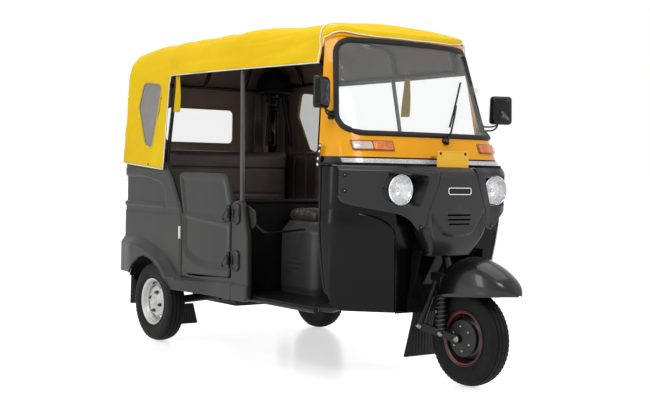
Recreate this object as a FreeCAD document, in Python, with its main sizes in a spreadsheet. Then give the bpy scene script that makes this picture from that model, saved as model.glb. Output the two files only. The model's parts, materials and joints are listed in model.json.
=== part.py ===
# Auto rickshaw: three wheels, steel floor and tub, curved front cab, soft canopy
# Frame: +Z up, floor at zero, front towards -Y, right-hand side of the vehicle towards -X
import FreeCAD, Part
import Sketcher
import math
import os
import re

DRIVING_SIZES = {
    # Whole vehicle
    "front_axle_reach": 1132.5,
    "wheelbase": 2125.0,
    "track": 1230.0,
    "floor_height": 370.0,
    "belt_height": 1119.0,
    "sheet_wall": 4.0,
    "soft_wall": 5.0,
    "seat_gap": 0.3,
    "shaft_gap": 0.3,
    "part_gap": 1.0,
    "cut_overrun": 20.0,
    # Wheels
    "tyre_radius": 243.0,
    "tyre_width": 114.0,
    "rim_seat_radius": 128.0,
    "rim_flange_radius": 140.0,
    "rim_half_width": 44.0,
    "rim_flange_wall": 5.0,
    "rim_wall": 8.0,
    "wheel_disc_wall": 6.0,
    "wheel_disc_offset": 22.0,
    "hub_radius": 46.0,
    "hub_half_length": 30.0,
    "drum_radius": 92.0,
    "axle_radius": 14.0,
    # Steering
    "rake_angle": 20.0,
    "steer_foot_y": -1000.0,
    "steer_foot_z": 480.0,
    "column_radius": 22.0,
    "column_foot": 70.0,
    "column_length": 600.0,
    "head_tube_radius": 34.0,
    "head_tube_start": 195.0,
    "head_tube_length": 160.0,
    "bar_setback": 120.0,
    "bar_half_length": 280.0,
    "bar_radius": 11.0,
    "grip_radius": 16.0,
    "grip_length": 115.0,
    "link_side": 86.0,
    "link_pivot_y": -850.0,
    "link_pivot_z": 278.0,
    "link_wall": 18.0,
    "link_boss_radius": 19.0,
    "leg_radius": 17.0,
    "crown_height": 40.0,
    "crown_depth": 110.0,
    "spring_radius": 20.0,
    "spring_setback": 165.0,
    "brake_plate_radius": 86.0,
    "brake_plate_wall": 6.0,
    "moving_gap": 5.0,
    "hose_radius": 4.0,
    # Front mudguard
    "guard_centre_y": -1160.0,
    "guard_centre_z": 225.0,
    "guard_radius": 420.0,
    "guard_half_width": 112.0,
    "guard_tip_z": 496.0,
    "guard_skirt_front_y": -1393.0,
    "guard_skirt_front_z": 473.0,
    "guard_skirt_rear_y": -971.0,
    "guard_skirt_rear_z": 444.0,
    "guard_rear_y": -892.0,
    "guard_rear_z": 424.0,
    "guard_slope_y": -1052.0,
    "guard_slope_z": 624.0,
    "guard_wall": 4.0,
    "guard_round": 50.0,
    # Chassis
    "rail_gauge": 460.0,
    "rail_width": 50.0,
    "rail_depth": 80.0,
    "rail_front": -696.0,
    "cross_width": 60.0,
    "cross_second_y": 0.0,
    "cross_third_y": 640.0,
    "neck_half_width": 40.0,
    "neck_foot_y": -700.0,
    "neck_thickness": 90.0,
    "tow_hole_radius": 8.0,
    "tow_plate_width": 90.0,
    "tow_plate_wall": 10.0,
    # Floor, sills and doors
    "floor_rear": 780.0,
    "floor_side_rear": 756.0,
    "sill_wall": 40.0,
    "sill_bottom": 338.0,
    "sill_top": 362.0,
    "sill_front": -36.0,
    "sill_rear": 686.0,
    "pillar_rear": 138.0,
    "pillar_front": -8.0,
    "step_tube_radius": 15.0,
    "firewall_half_width": 218.0,
    "door_front": 146.0,
    "door_rear": 745.0,
    "door_bottom": 368.0,
    "door_wall": 28.0,
    "hinge_radius": 9.0,
    "hinge_pin_radius": 4.0,
    "hinge_length": 50.0,
    "hinge_stand": 14.0,
    "hinge_low_z": 505.0,
    # Front cab
    "shield_half_width": 585.0,
    "shield_rear": -615.0,
    "shield_low_reach": 1207.0,
    "shield_mid_reach": 1308.0,
    "shield_top_reach": 1325.0,
    "shield_crease_x": 330.0,
    "recess_half_width": 225.0,
    "crease_return": 20.0,
    "nose_front": -1031.0,
    "nose_bottom": 655.0,
    "nose_top_setback": 80.0,
    "column_slot_half": 48.0,
    "nose_half_width": 195.0,
    "nose_foot_half_width": 205.0,
    "nose_side_depth": 120.0,
    "vent_width": 115.0,
    "vent_height": 9.0,
    "vent_pitch": 22.0,
    "vent_z": 832.0,
    "fairing_wall": 20.0,
    "lamp_x": 335.0,
    "lamp_y": -956.0,
    "lamp_radius": 80.0,
    "lamp_depth": 68.0,
    "lamp_hole_gap": 0.5,
    "cowl_wall": 14.0,
    "belt_band_height": 31.0,
    "belt_strip_height": 22.0,
    "belt_strip_half_length": 530.0,
    "belt_strip_wall": 5.0,
    "plate_width": 185.0,
    "plate_height": 97.0,
    "plate_wall": 3.0,
    "plate_y": -978.0,
    # Windscreen frame: plan of the cab front at its foot and at its head
    "screen_foot_half": 570.0,
    "screen_foot_rear": -582.0,
    "screen_foot_front": -890.0,
    "screen_head_half": 487.0,
    "screen_head_rear": -508.0,
    "screen_head_front": -645.0,
    "seal_foot_half": 526.0,
    "seal_head_half": 453.0,
    "seal_round": 90.0,
    "seal_width": 35.0,
    "seal_proud": 8.0,
    "seal_depth": 18.0,
    "glass_wall": 5.0,
    "glass_gap": 0.5,
    "indicator_inner_x": 289.0,
    "indicator_outer_x": 497.0,
    "indicator_height": 56.0,
    "indicator_proud": 24.0,
    "mirror_inner_x": 574.0,
    "mirror_outer_x": 712.0,
    "mirror_y": -700.0,
    "mirror_wall": 42.0,
    "mirror_round": 20.0,
    "mirror_arm_radius": 6.0,
    "mirror_arm_foot_y": -594.0,
    "wiper_x": 55.0,
    "wiper_reach_x": 140.0,
    "wiper_reach_z": 330.0,
    "wiper_radius": 5.0,
    "wiper_boss_radius": 13.0,
    "wiper_boss_length": 26.0,
    "dash_rear": -650.0,
    "dash_height": 32.0,
    # Rear tub
    "tub_front": 690.0,
    "rear_overhang": 469.5,
    "tub_half_width": 636.0,
    "tub_bottom": 402.0,
    "tub_return": 240.0,
    "arch_setback": 20.0,
    "arch_gap": 32.0,
    "arch_wall": 4.0,
    "arch_inner_x": 522.0,
    "flare_proud": 30.0,
    "flare_wall": 24.0,
    "tail_lamp_width": 80.0,
    "tail_lamp_height": 110.0,
    "tail_lamp_wall": 28.0,
    "tail_lamp_z": 780.0,
    "flap_wall": 6.0,
    "rear_flap_bottom": 192.0,
    "rear_flap_top": 400.0,
    "front_flap_half_width": 115.0,
    "front_flap_bottom": 98.0,
    "front_flap_top": 460.0,
    # Seats and partition
    "deck_height": 690.0,
    "bench_wall": 100.0,
    "bench_back_wall": 80.0,
    "seat_box_front": -208.0,
    "seat_box_rear": 140.0,
    "seat_box_half_width": 300.0,
    "seat_box_top": 785.0,
    "seat_box_wall": 5.0,
    "driver_cushion_half_width": 280.0,
    "driver_cushion_wall": 70.0,
    "partition_y": 170.0,
    "partition_wall": 5.0,
    "partition_top": 880.0,
    "partition_tube_radius": 14.0,
    # Power unit and rear suspension
    "engine_half_width": 190.0,
    "engine_bottom": 210.0,
    "engine_top": 560.0,
    "arm_pivot_x": 330.0,
    "arm_pivot_y": 700.0,
    "arm_pivot_z": 300.0,
    "arm_radius": 24.0,
    "arm_hub_x": 500.0,
    "arm_hub_radius": 58.0,
    "arm_hub_length": 40.0,
    "shock_radius": 30.0,
    "shock_x": 480.0,
    "shock_setback": 30.0,
    # Canopy
    "canopy_corner_round": 90.0,
    "canopy_lip_gap": 14.0,
    "canopy_hem_rear_y": 835.0,
    "canopy_side_front_y": 945.0,
    "canopy_front_hem_y": -512.0,
    "canopy_lip_front_y": -562.0,
    "window_round": 55.0,
    "rear_window_half": 330.0,
    # Canopy frame
    "frame_tube_radius": 12.0,
    "post_y": 80.0,
    "strap_width": 100.0,
    "strap_wall": 8.0,
    "strap_length": 165.0,
    "right_strap_y": 782.0,
    "left_strap_y": 152.0,
    # Air intake
    "intake_post_radius": 28.0,
    "intake_dome_radius": 96.0,
}

# Heights that follow the belt line, as their rise above it
ABOVE_BELT = {
    "shield_mid_z": -319.0,
    "shield_top_z": -14.3,
    "nose_roll_z": -63.0,
    "nose_top": -14.3,
    "fairing_bottom": -226.0,
    "fairing_inner_bottom": -323.0,
    "fairing_top": -14.3,
    "lamp_z": -131.0,
    "firewall_top": -179.0,
    "plate_z": 19.0,
    "screen_foot_z": 31.0,
    "screen_head_z": 661.0,
    "seal_foot_z": 146.0,
    "seal_head_z": 643.0,
    "indicator_z": 90.0,
    "mirror_bottom": 261.0,
    "mirror_top": 431.0,
    "mirror_arm_foot_z": 241.0,
    "wiper_z": 121.0,
    "door_top": -72.0,
    "pillar_top": -217.0,
    "hinge_high_z": -324.0,
    "tub_top": -14.0,
    "bench_back_top": 103.0,
    "canopy_base_z": -79.0,
    "canopy_lip_z": 649.0,
    "canopy_hem_z": 517.0,
    "canopy_side_hem_z": -59.0,
    "canopy_rear_hem_z": -19.0,
    "side_window_low": 67.0,
    "side_window_high": 492.0,
    "rear_window_low": 128.0,
    "rear_window_high": 346.0,
    "rail_z": 477.0,
    "intake_dome_z": 479.0,
    "intake_top_z": 646.0,
}

# Places along the vehicle that follow the rear of the tub
BEHIND_TUB_REAR = {
    "deck_rear": -22.0,
    "rear_flap_y": -122.0,
    "canopy_rear": 5.3,
    "side_window_front": -457.0,
    "side_window_rear": -178.0,
    "intake_y": -117.0,
    "rail_rear": -62.0,
    "engine_rear": -142.0,
    "bench_front": -692.0,
    "bench_rear": -272.0,
}

# Half widths and side places that follow the side of the tub
BESIDE_TUB = {
    "side_half_width": 4.0,
    "step_tube_x": -52.0,
    "canopy_base_half": 12.0,
    "tail_lamp_x": -136.0,
    "rear_flap_inner_x": -106.0,
    "rear_flap_outer_x": -4.0,
    "bench_half_width": -124.0,
    "partition_half_width": -61.0,
    "intake_x": -196.0,
}

# Cross-sections of the canopy from front to rear: each place and half width is counted from the size
# it follows, and each height from the belt line
CANOPY_SECTIONS = [
    {"side": "screen_head_half", "along": "screen_head_front", "y": -20.0, "hem_half": 19.0, "shoulder_half": -13.0,
     "shoulder_z": 581.0, "crown_half": -115.0, "crown_z": 653.0, "top_z": 678.0},
    {"side": "screen_head_half", "along": "screen_head_front", "y": 115.0, "hem_half": 35.0, "shoulder_half": 14.0,
     "shoulder_z": 613.0, "crown_half": -95.0, "crown_z": 707.0, "top_z": 741.0},
    {"side": "tub_half_width", "along": "floor_rear", "y": -380.0, "hem_half": -42.0, "shoulder_half": -61.0,
     "shoulder_z": 641.0, "crown_half": -196.0, "crown_z": 755.0, "top_z": 771.0},
    {"side": "tub_half_width", "along": "tub_rear", "y": -262.0, "hem_half": -26.0, "shoulder_half": -46.0,
     "shoulder_z": 626.0, "crown_half": -196.0, "crown_z": 727.0, "top_z": 743.0},
    {"side": "tub_half_width", "along": "tub_rear", "y": 38.0, "hem_half": -21.0, "shoulder_half": -44.0,
     "shoulder_z": 603.0, "crown_half": -206.0, "crown_z": 685.0, "top_z": 701.0},
]
SECTION_PARTS = ("y", "hem_half", "shoulder_half", "shoulder_z", "crown_half", "crown_z", "top_z")
SHOULDER_BULGE_SHARE = 0.19

# Plan of the cab front as shares of its half width and of its depth from rear edge to centre
FOOT_PLAN_SHARES = [(0.93, 0.40), (0.8125, 0.77), (0.59, 0.94)]
HEAD_PLAN_SHARES = [(0.90, 0.30), (0.72, 0.66), (0.50, 0.87)]

# Outlines as shares of length and height
TUB_FRONT_SHARES = [(0.0, 0.0), (0.0, 0.597), (0.062, 0.692), (0.226, 0.918), (0.262, 1.0)]
FLARE_SHARES = [(0.0, 0.0), (0.02, 0.10), (0.112, 0.24), (0.31, 0.60), (0.705, 0.86), (0.96, 0.89), (0.96, 0.115)]
DOOR_SHARES = [(0.842, 0.0), (0.887, 0.62), (0.93, 0.754), (1.0, 0.96), (0.975, 1.0), (0.09, 1.0), (0.0, 0.745), (0.0, 0.0)]
PILLAR_SHARES = [(1.0, 0.0), (1.0, 0.92), (0.80, 1.0), (0.46, 1.0), (0.0, 0.75), (0.0, 0.0)]
SIDE_WINDOW_SHARES = [(0.0, 0.946), (0.824, 1.0), (1.0, 0.616), (0.563, 0.059), (0.229, 0.0)]
BENCH_BACK_LEAN_SHARE = 0.12

SIDES = (("right", -1), ("left", 1))

SHEET_DIGITS = 4

document = FreeCAD.newDocument("auto_rickshaw")
sheet = document.addObject("Spreadsheet::Sheet", "Sizes")


def all_sizes():
    """Driving sizes, then those that are counted from one of them"""
    rows = dict(DRIVING_SIZES)
    rows["tub_rear"] = rows["wheelbase"] - rows["front_axle_reach"] + rows["rear_overhang"]
    followers = (("belt_height", ABOVE_BELT), ("tub_rear", BEHIND_TUB_REAR), ("tub_half_width", BESIDE_TUB))
    for base, group in followers:
        for name, offset in group.items():
            rows[name] = rows[base] + offset
    for ordinal, section in zip(("first", "second", "third", "fourth", "fifth"), CANOPY_SECTIONS):
        for name in SECTION_PARTS:
            base = {"y": section["along"], "half": section["side"], "z": "belt_height"}[name.split("_")[-1]]
            rows["section_%s_%s" % (ordinal, name)] = rows[base] + section[name]
    return rows


def fill_sheet():
    """Each size gets one cell with its own name"""
    for row, (name, value) in enumerate(all_sizes().items(), 1):
        sheet.set("A%d" % row, name)
        sheet.set("B%d" % row, str(round(value, SHEET_DIGITS)))
        sheet.setAlias("B%d" % row, name)
    document.recompute()


class SheetReader:
    """Reads a size from the sheet by its name"""

    def __getattr__(self, name):
        return float(sheet.get(name))


size = SheetReader()
NAME = re.compile(r"[a-z][a-z_]*[a-z]")
FUNCTIONS = ("sin", "cos", "tan", "sqrt", "deg")


def cells(text):
    """An expression written with bare size names, pointed at the sheet"""
    return NAME.sub(lambda found: found.group() if found.group() in FUNCTIONS else "Sizes." + found.group(), text)


def value_of(text):
    return float(sheet.evalExpression(cells(text)))


def bind(item, **expressions):
    """Ties properties of an object to the sheet"""
    for name, text in expressions.items():
        item.setExpression(name.replace("_at_", "."), cells(text))


def vector(x, y, z):
    return FreeCAD.Vector(x, y, z)


def mix(low, high, share):
    return low + (high - low) * share


# Features of a body


def new_body(label):
    body = document.addObject("PartDesign::Body", label)
    body.Label = label
    return body


def new_sketch(body, role, offset):
    """Sketch on one of the body's own planes, moved along its normal"""
    sketch = body.newObject("Sketcher::SketchObject", body.Label + "_sketch")
    plane = [feature for feature in body.Origin.OriginFeatures if feature.Role == role][0]
    sketch.AttachmentSupport = [(plane, "")]
    sketch.MapMode = "FlatFace"
    sketch.setExpression("AttachmentOffset.Base.z", cells(offset))
    return sketch


def hold(sketch, kind, index, text):
    """Distance from the sketch's origin to the start of a line or the centre of a circle"""
    geometry, point = index
    constraint = Sketcher.Constraint(kind, -1, 1, geometry, point, value_of(text))
    sketch.setExpression("Constraints[%d]" % sketch.addConstraint(constraint), cells(text))


def draw_outline(sketch, corners):
    """Closed outline whose corners are all held by sizes"""
    places = [vector(value_of(across), value_of(up), 0) for across, up in corners]
    count = len(places)
    for index, place in enumerate(places):
        sketch.addGeometry(Part.LineSegment(place, places[(index + 1) % count]), False)
    for index in range(count):
        sketch.addConstraint(Sketcher.Constraint("Coincident", index, 2, (index + 1) % count, 1))
    for index, (across, up) in enumerate(corners):
        hold(sketch, "DistanceX", (index, 1), across)
        hold(sketch, "DistanceY", (index, 1), up)


def draw_circle(sketch, centre, radius):
    place = vector(value_of(centre[0]), value_of(centre[1]), 0)
    circle = sketch.addGeometry(Part.Circle(place, vector(0, 0, 1), value_of(radius)), False)
    hold(sketch, "DistanceX", (circle, 3), centre[0])
    hold(sketch, "DistanceY", (circle, 3), centre[1])
    constraint = sketch.addConstraint(Sketcher.Constraint("Radius", circle, value_of(radius)))
    sketch.setExpression("Constraints[%d]" % constraint, cells(radius))


def add_feature(body, kind, sketch, length, backwards=False):
    feature = body.newObject("PartDesign::" + kind, body.Label + "_" + kind.lower())
    feature.Profile = sketch
    feature.Reversed = backwards
    feature.setExpression("Length", cells(length))
    return feature


def pad(body, role, offset, corners, length):
    """Adds the outline's prism along the plane's normal"""
    sketch = new_sketch(body, role, offset)
    draw_outline(sketch, corners)
    return add_feature(body, "Pad", sketch, length)


def pad_disc(body, role, offset, centre, radius, length):
    sketch = new_sketch(body, role, offset)
    draw_circle(sketch, centre, radius)
    return add_feature(body, "Pad", sketch, length)


def cut_with(body, sketch, length):
    """Cuts along the plane's normal and makes sure that something was cut"""
    document.recompute()
    before = body.Shape.Volume
    feature = add_feature(body, "Pocket", sketch, length, backwards=True)
    document.recompute()
    if body.Shape.Volume >= before:
        raise ValueError("pocket cuts nothing in " + body.Label)
    return feature


def pocket(body, role, offset, corners, length):
    sketch = new_sketch(body, role, offset)
    draw_outline(sketch, corners)
    return cut_with(body, sketch, length)


def pocket_disc(body, role, offset, centre, radius, length):
    sketch = new_sketch(body, role, offset)
    draw_circle(sketch, centre, radius)
    return cut_with(body, sketch, length)


def turn(body, role, corners, axis):
    """Solid of revolution of an outline about a sketch axis"""
    sketch = new_sketch(body, role, "0")
    draw_outline(sketch, corners)
    feature = body.newObject("PartDesign::Revolution", body.Label + "_turn")
    feature.Profile = sketch
    feature.ReferenceAxis = (sketch, [axis])
    feature.Angle = 360
    return feature


def round_edges(body, feature, direction, radius):
    """Rounds the feature's edges that run along one direction"""
    document.recompute()
    names = []
    for number, edge in enumerate(feature.Shape.Edges, 1):
        along = edge.tangentAt(edge.FirstParameter)
        if abs(along.dot(direction)) > 0.999:
            names.append("Edge%d" % number)
    fillet = body.newObject("PartDesign::Fillet", body.Label + "_round")
    fillet.Base = (feature, names)
    fillet.setExpression("Radius", cells(radius))
    return fillet


def place(item, x="0", y="0", z="0"):
    bind(item, Placement_at_Base_at_x=x, Placement_at_Base_at_y=y, Placement_at_Base_at_z=z)


def share_outline(shares, front, rear, bottom, top):
    """Outline from shares of a length and a height"""
    return [("%s + %r * (%s - (%s))" % (front, along, rear, front),
             "%s + %r * (%s - (%s))" % (bottom, up, top, bottom)) for along, up in shares]


# Free shapes


def feature(label, shape):
    item = document.addObject("Part::Feature", label)
    item.Label = label
    item.Shape = shape
    item.Placement = FreeCAD.Placement()
    return item


def join(solids):
    return solids[0].multiFuse(solids[1:]).removeSplitter()


def rod(start, end, radius):
    run = end - start
    return Part.makeCylinder(radius, run.Length, start, run)


def tube_run(points, radius):
    """Straight tubes from point to point with a ball at each bend"""
    solids = [rod(start, end, radius) for start, end in zip(points, points[1:])]
    return solids + [Part.makeSphere(radius, corner) for corner in points[1:-1]]


def block(x, y, z):
    """Box from pairs of low and high places"""
    return Part.makeBox(x[1] - x[0], y[1] - y[0], z[1] - z[0], vector(x[0], y[0], z[0]))


def prism(points, run):
    return Part.Face(Part.makePolygon(points + points[:1])).extrude(run)


def rounded_wire(points, radius):
    """Closed polygon with a tangent arc at each corner"""
    edges = []
    count = len(points)
    arcs = []
    for index, corner in enumerate(points):
        back = (points[index - 1] - corner).normalize()
        ahead = (points[(index + 1) % count] - corner).normalize()
        half = back.getAngle(ahead) / 2
        reach = radius / math.tan(half)
        middle = (back + ahead).normalize()
        centre = corner + middle * (radius / math.sin(half))
        arcs.append((corner + back * reach, centre - middle * radius, corner + ahead * reach))
    for index, (start, middle, end) in enumerate(arcs):
        edges.append(Part.Arc(start, middle, end).toShape())
        edges.append(Part.LineSegment(end, arcs[(index + 1) % count][0]).toShape())
    return Part.Wire(edges)


def rounded_prism(points, radius, run):
    return Part.Face(rounded_wire(points, radius)).extrude(run)


def mirrored(shape):
    return shape.mirror(vector(0, 0, 0), vector(1, 0, 0))


# Steering axis


def steer_axis():
    lean = math.radians(size.rake_angle)
    return vector(0, math.sin(lean), math.cos(lean))


def steer_place(along):
    """Point on the steering axis, measured up from its foot"""
    return vector(0, size.steer_foot_y, size.steer_foot_z) + steer_axis() * along


# Cab front surface


def screen_plan(height, outward):
    """Half plan of the cab front at one height: rear edge, two points, crease and centre"""
    share = (height - size.screen_foot_z) / (size.screen_head_z - size.screen_foot_z)
    half = mix(size.screen_foot_half, size.screen_head_half, share) + outward
    rear = mix(size.screen_foot_rear, size.screen_head_rear, share)
    front = mix(size.screen_foot_front, size.screen_head_front, share) - outward
    points = [(half, rear)]
    for foot, head in zip(FOOT_PLAN_SHARES, HEAD_PLAN_SHARES):
        across = mix(foot[0], head[0], share)
        along = mix(foot[1], head[1], share)
        points.append((half * across, mix(rear, front, along)))
    points.append((0, front))
    return points


def plan_edges(points, height, backwards):
    """Line, arc, arc, arc and line round the cab front at one height"""
    edge, bend, knee, crease, centre = [vector(x, y, height) for x, y in points]
    left = [vector(-point.x, point.y, point.z) for point in (edge, bend, knee, crease)]
    edges = [
        Part.LineSegment(left[0], left[1]).toShape(),
        Part.Arc(left[1], left[2], left[3]).toShape(),
        Part.Arc(left[3], centre, crease).toShape(),
        Part.Arc(crease, knee, bend).toShape(),
        Part.LineSegment(bend, edge).toShape(),
    ]
    if backwards:
        edges = [
            Part.LineSegment(edge, bend).toShape(),
            Part.Arc(bend, knee, crease).toShape(),
            Part.Arc(crease, centre, left[3]).toShape(),
            Part.Arc(left[3], left[2], left[1]).toShape(),
            Part.LineSegment(left[1], left[0]).toShape(),
        ]
    return edges


def screen_wire(height, outward, inward):
    outer = screen_plan(height, outward)
    inner = screen_plan(height, -inward)
    edges = plan_edges(outer, height, False)
    edges.append(Part.LineSegment(vector(outer[0][0], outer[0][1], height),
                                  vector(inner[0][0], inner[0][1], height)).toShape())
    edges += plan_edges(inner, height, True)
    edges.append(Part.LineSegment(vector(-inner[0][0], inner[0][1], height),
                                  vector(-outer[0][0], outer[0][1], height)).toShape())
    return Part.Wire(edges)


def screen_shell(low, high, outward, inward):
    """Skin of the cab front between two heights"""
    return Part.makeLoft([screen_wire(low, outward, inward), screen_wire(high, outward, inward)], True, True)


def screen_opening(inset):
    """Prism through the cab front with the windscreen's outline"""
    reach = size.screen_foot_front * 2
    low = size.seal_foot_z + inset
    high = size.seal_head_z - inset
    foot = size.seal_foot_half - inset
    head = size.seal_head_half - inset
    corners = [vector(-foot, reach, low), vector(foot, reach, low), vector(head, reach, high), vector(-head, reach, high)]
    return rounded_prism(corners, size.seal_round - inset, vector(0, -reach, 0))


# Canopy surface


def section_sizes():
    names = ("first", "second", "third", "fourth", "fifth")
    return [{key: float(sheet.get("section_%s_%s" % (name, key))) for key in SECTION_PARTS} for name in names]


def canopy_wire(section, inset):
    """Closed cross-section: base, side, shoulder arc, crown arc and back down"""
    base = vector(size.canopy_base_half - inset, section["y"], size.canopy_base_z)
    hem = vector(section["hem_half"] - inset, section["y"], size.canopy_hem_z)
    shoulder = vector(section["shoulder_half"] - inset, section["y"], section["shoulder_z"])
    crown = vector(section["crown_half"], section["y"], section["crown_z"] - inset)
    top = vector(0, section["y"], section["top_z"] - inset)
    chord = crown - shoulder
    outwards = vector(chord.z, 0, -chord.x).normalize()
    bulge = (shoulder + crown) * 0.5 + outwards * (chord.Length * SHOULDER_BULGE_SHARE)
    right = [vector(-point.x, point.y, point.z) for point in (base, hem, shoulder, bulge, crown)]
    return Part.Wire([
        Part.LineSegment(right[0], right[1]).toShape(),
        Part.LineSegment(right[1], right[2]).toShape(),
        Part.Arc(right[2], right[3], right[4]).toShape(),
        Part.Arc(right[4], top, crown).toShape(),
        Part.Arc(crown, bulge, shoulder).toShape(),
        Part.LineSegment(shoulder, hem).toShape(),
        Part.LineSegment(hem, base).toShape(),
        Part.LineSegment(base, right[0]).toShape(),
    ])


def canopy_plan(inset):
    """Prism of the canopy's plan: curved front lip, straight sides and rounded rear corners"""
    points = screen_plan(size.screen_head_z, size.canopy_lip_gap - inset)
    height = 0
    half = size.canopy_base_half - inset
    rear = size.canopy_rear - inset
    round_size = size.canopy_corner_round - inset
    slant = round_size * (1 - math.sqrt(0.5))
    front = plan_edges(points, height, False)
    start = vector(-points[0][0], points[0][1], height)
    end = vector(points[0][0], points[0][1], height)
    corner = [vector(half, points[0][1], height), vector(half, rear - round_size, height),
              vector(half - slant, rear - slant, height), vector(half - round_size, rear, height)]
    other = [vector(-point.x, point.y, point.z) for point in corner]
    edges = front + [
        Part.LineSegment(end, corner[0]).toShape(),
        Part.LineSegment(corner[0], corner[1]).toShape(),
        Part.Arc(corner[1], corner[2], corner[3]).toShape(),
        Part.LineSegment(corner[3], other[3]).toShape(),
        Part.Arc(other[3], other[2], other[1]).toShape(),
        Part.LineSegment(other[1], other[0]).toShape(),
        Part.LineSegment(other[0], start).toShape(),
    ]
    return Part.Face(Part.Wire(edges)).extrude(vector(0, 0, size.section_third_top_z * 2))


def canopy_solid(inset):
    loft = Part.makeLoft([canopy_wire(section, inset) for section in section_sizes()], True, True)
    return loft.common(canopy_plan(inset))


def canopy_skin():
    inner = canopy_solid(size.soft_wall)
    floor = block((-size.canopy_base_half, size.canopy_base_half),
                  (size.nose_front, size.canopy_rear - size.soft_wall),
                  (size.canopy_base_z - size.cut_overrun, size.canopy_base_z + size.cut_overrun))
    return canopy_solid(0).cut(inner).cut(floor)


def side_window(side, inset):
    length = size.side_window_rear - size.side_window_front
    height = size.side_window_high - size.side_window_low
    near = side * size.section_third_crown_half
    far = side * (size.canopy_base_half + size.cut_overrun)
    points = [vector(near, size.side_window_front + along * length, size.side_window_low + up * height)
              for along, up in SIDE_WINDOW_SHARES]
    outline = rounded_wire(points, size.window_round)
    if inset:
        outline = outline.makeOffset2D(-inset)
    return Part.Face(outline).extrude(vector(far - near, 0, 0))


def rear_window(inset):
    half = size.rear_window_half - inset
    low = size.rear_window_low + inset
    high = size.rear_window_high - inset
    start = size.deck_rear - size.canopy_corner_round
    points = [vector(-half, start, low), vector(half, start, low), vector(half, start, high), vector(-half, start, high)]
    return rounded_prism(points, size.window_round - inset, vector(0, size.canopy_rear, 0))


# Wheels


def make_wheel(name, x_text, y_text, disc_side, drum_side):
    """Tyre and pressed rim, turned about the axle"""
    tyre = new_body(name + "_tyre")
    bulge = "tyre_width / 2"
    half = [("rim_seat_radius", "rim_half_width"), ("rim_flange_radius + part_gap", "rim_half_width"),
            ("rim_flange_radius + part_gap", "rim_half_width + rim_flange_wall + part_gap"),
            ("rim_flange_radius * 0.84 + tyre_radius * 0.16", bulge + " * 0.96"),
            ("rim_flange_radius * 0.5 + tyre_radius * 0.5", bulge),
            ("rim_flange_radius * 0.2 + tyre_radius * 0.8", bulge + " * 0.92"),
            ("rim_flange_radius * 0.06 + tyre_radius * 0.94", bulge + " * 0.76"),
            ("tyre_radius", bulge + " * 0.5")]
    corners = [(across, up) for up, across in half]
    corners += [("-(" + across + ")", up) for up, across in reversed(half)]
    turn(tyre, "XY_Plane", corners, "H_Axis")
    rim = new_body(name + "_rim")
    bore = "axle_radius + shaft_gap"
    disc = "%d * wheel_disc_offset" % disc_side
    flange = "(rim_half_width + rim_flange_wall)"
    barrel = [("rim_seat_radius - rim_wall", "-" + flange), ("rim_flange_radius", "-" + flange),
              ("rim_flange_radius", "-rim_half_width"), ("rim_seat_radius", "-rim_half_width"),
              ("rim_seat_radius", "rim_half_width"), ("rim_flange_radius", "rim_half_width"),
              ("rim_flange_radius", flange), ("rim_seat_radius - rim_wall", flange)]
    turn(rim, "XY_Plane", [(across, up) for up, across in barrel], "H_Axis")
    plate = [(disc + " - wheel_disc_wall / 2", bore), (disc + " + wheel_disc_wall / 2", bore),
             (disc + " + wheel_disc_wall / 2", "rim_seat_radius - rim_wall / 2"),
             (disc + " - wheel_disc_wall / 2", "rim_seat_radius - rim_wall / 2")]
    turn(rim, "XY_Plane", plate, "H_Axis")
    hub = [("-hub_half_length", bore), ("hub_half_length", bore), ("hub_half_length", "hub_radius"),
           ("-hub_half_length", "hub_radius")]
    turn(rim, "XY_Plane", hub, "H_Axis")
    drum_end = "%d * hub_half_length" % drum_side
    drum = [(disc, "hub_radius - rim_wall"), (disc, "drum_radius"), (drum_end, "drum_radius"),
            (drum_end, "hub_radius - rim_wall")]
    turn(rim, "XY_Plane", drum, "H_Axis")
    for body in (tyre, rim):
        place(body, x_text, y_text, "tyre_radius")


def make_wheels():
    make_wheel("front_wheel", "0", "-front_axle_reach", 1, -1)
    for side_name, side in SIDES:
        make_wheel("rear_wheel_" + side_name, "%d * track / 2" % side, "wheelbase - front_axle_reach", side, -side)


# Steered parts


def spring_ends():
    """Foot of the spring inside the link and its head inside the crown"""
    foot = steer_place(size.column_foot)
    y = size.link_pivot_y - size.spring_setback
    share = size.spring_setback / (size.front_axle_reach + size.link_pivot_y)
    z = mix(size.link_pivot_z, size.tyre_radius, share)
    return vector(-size.link_side, y, z), vector(-size.link_side, y, foot.z)


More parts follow.
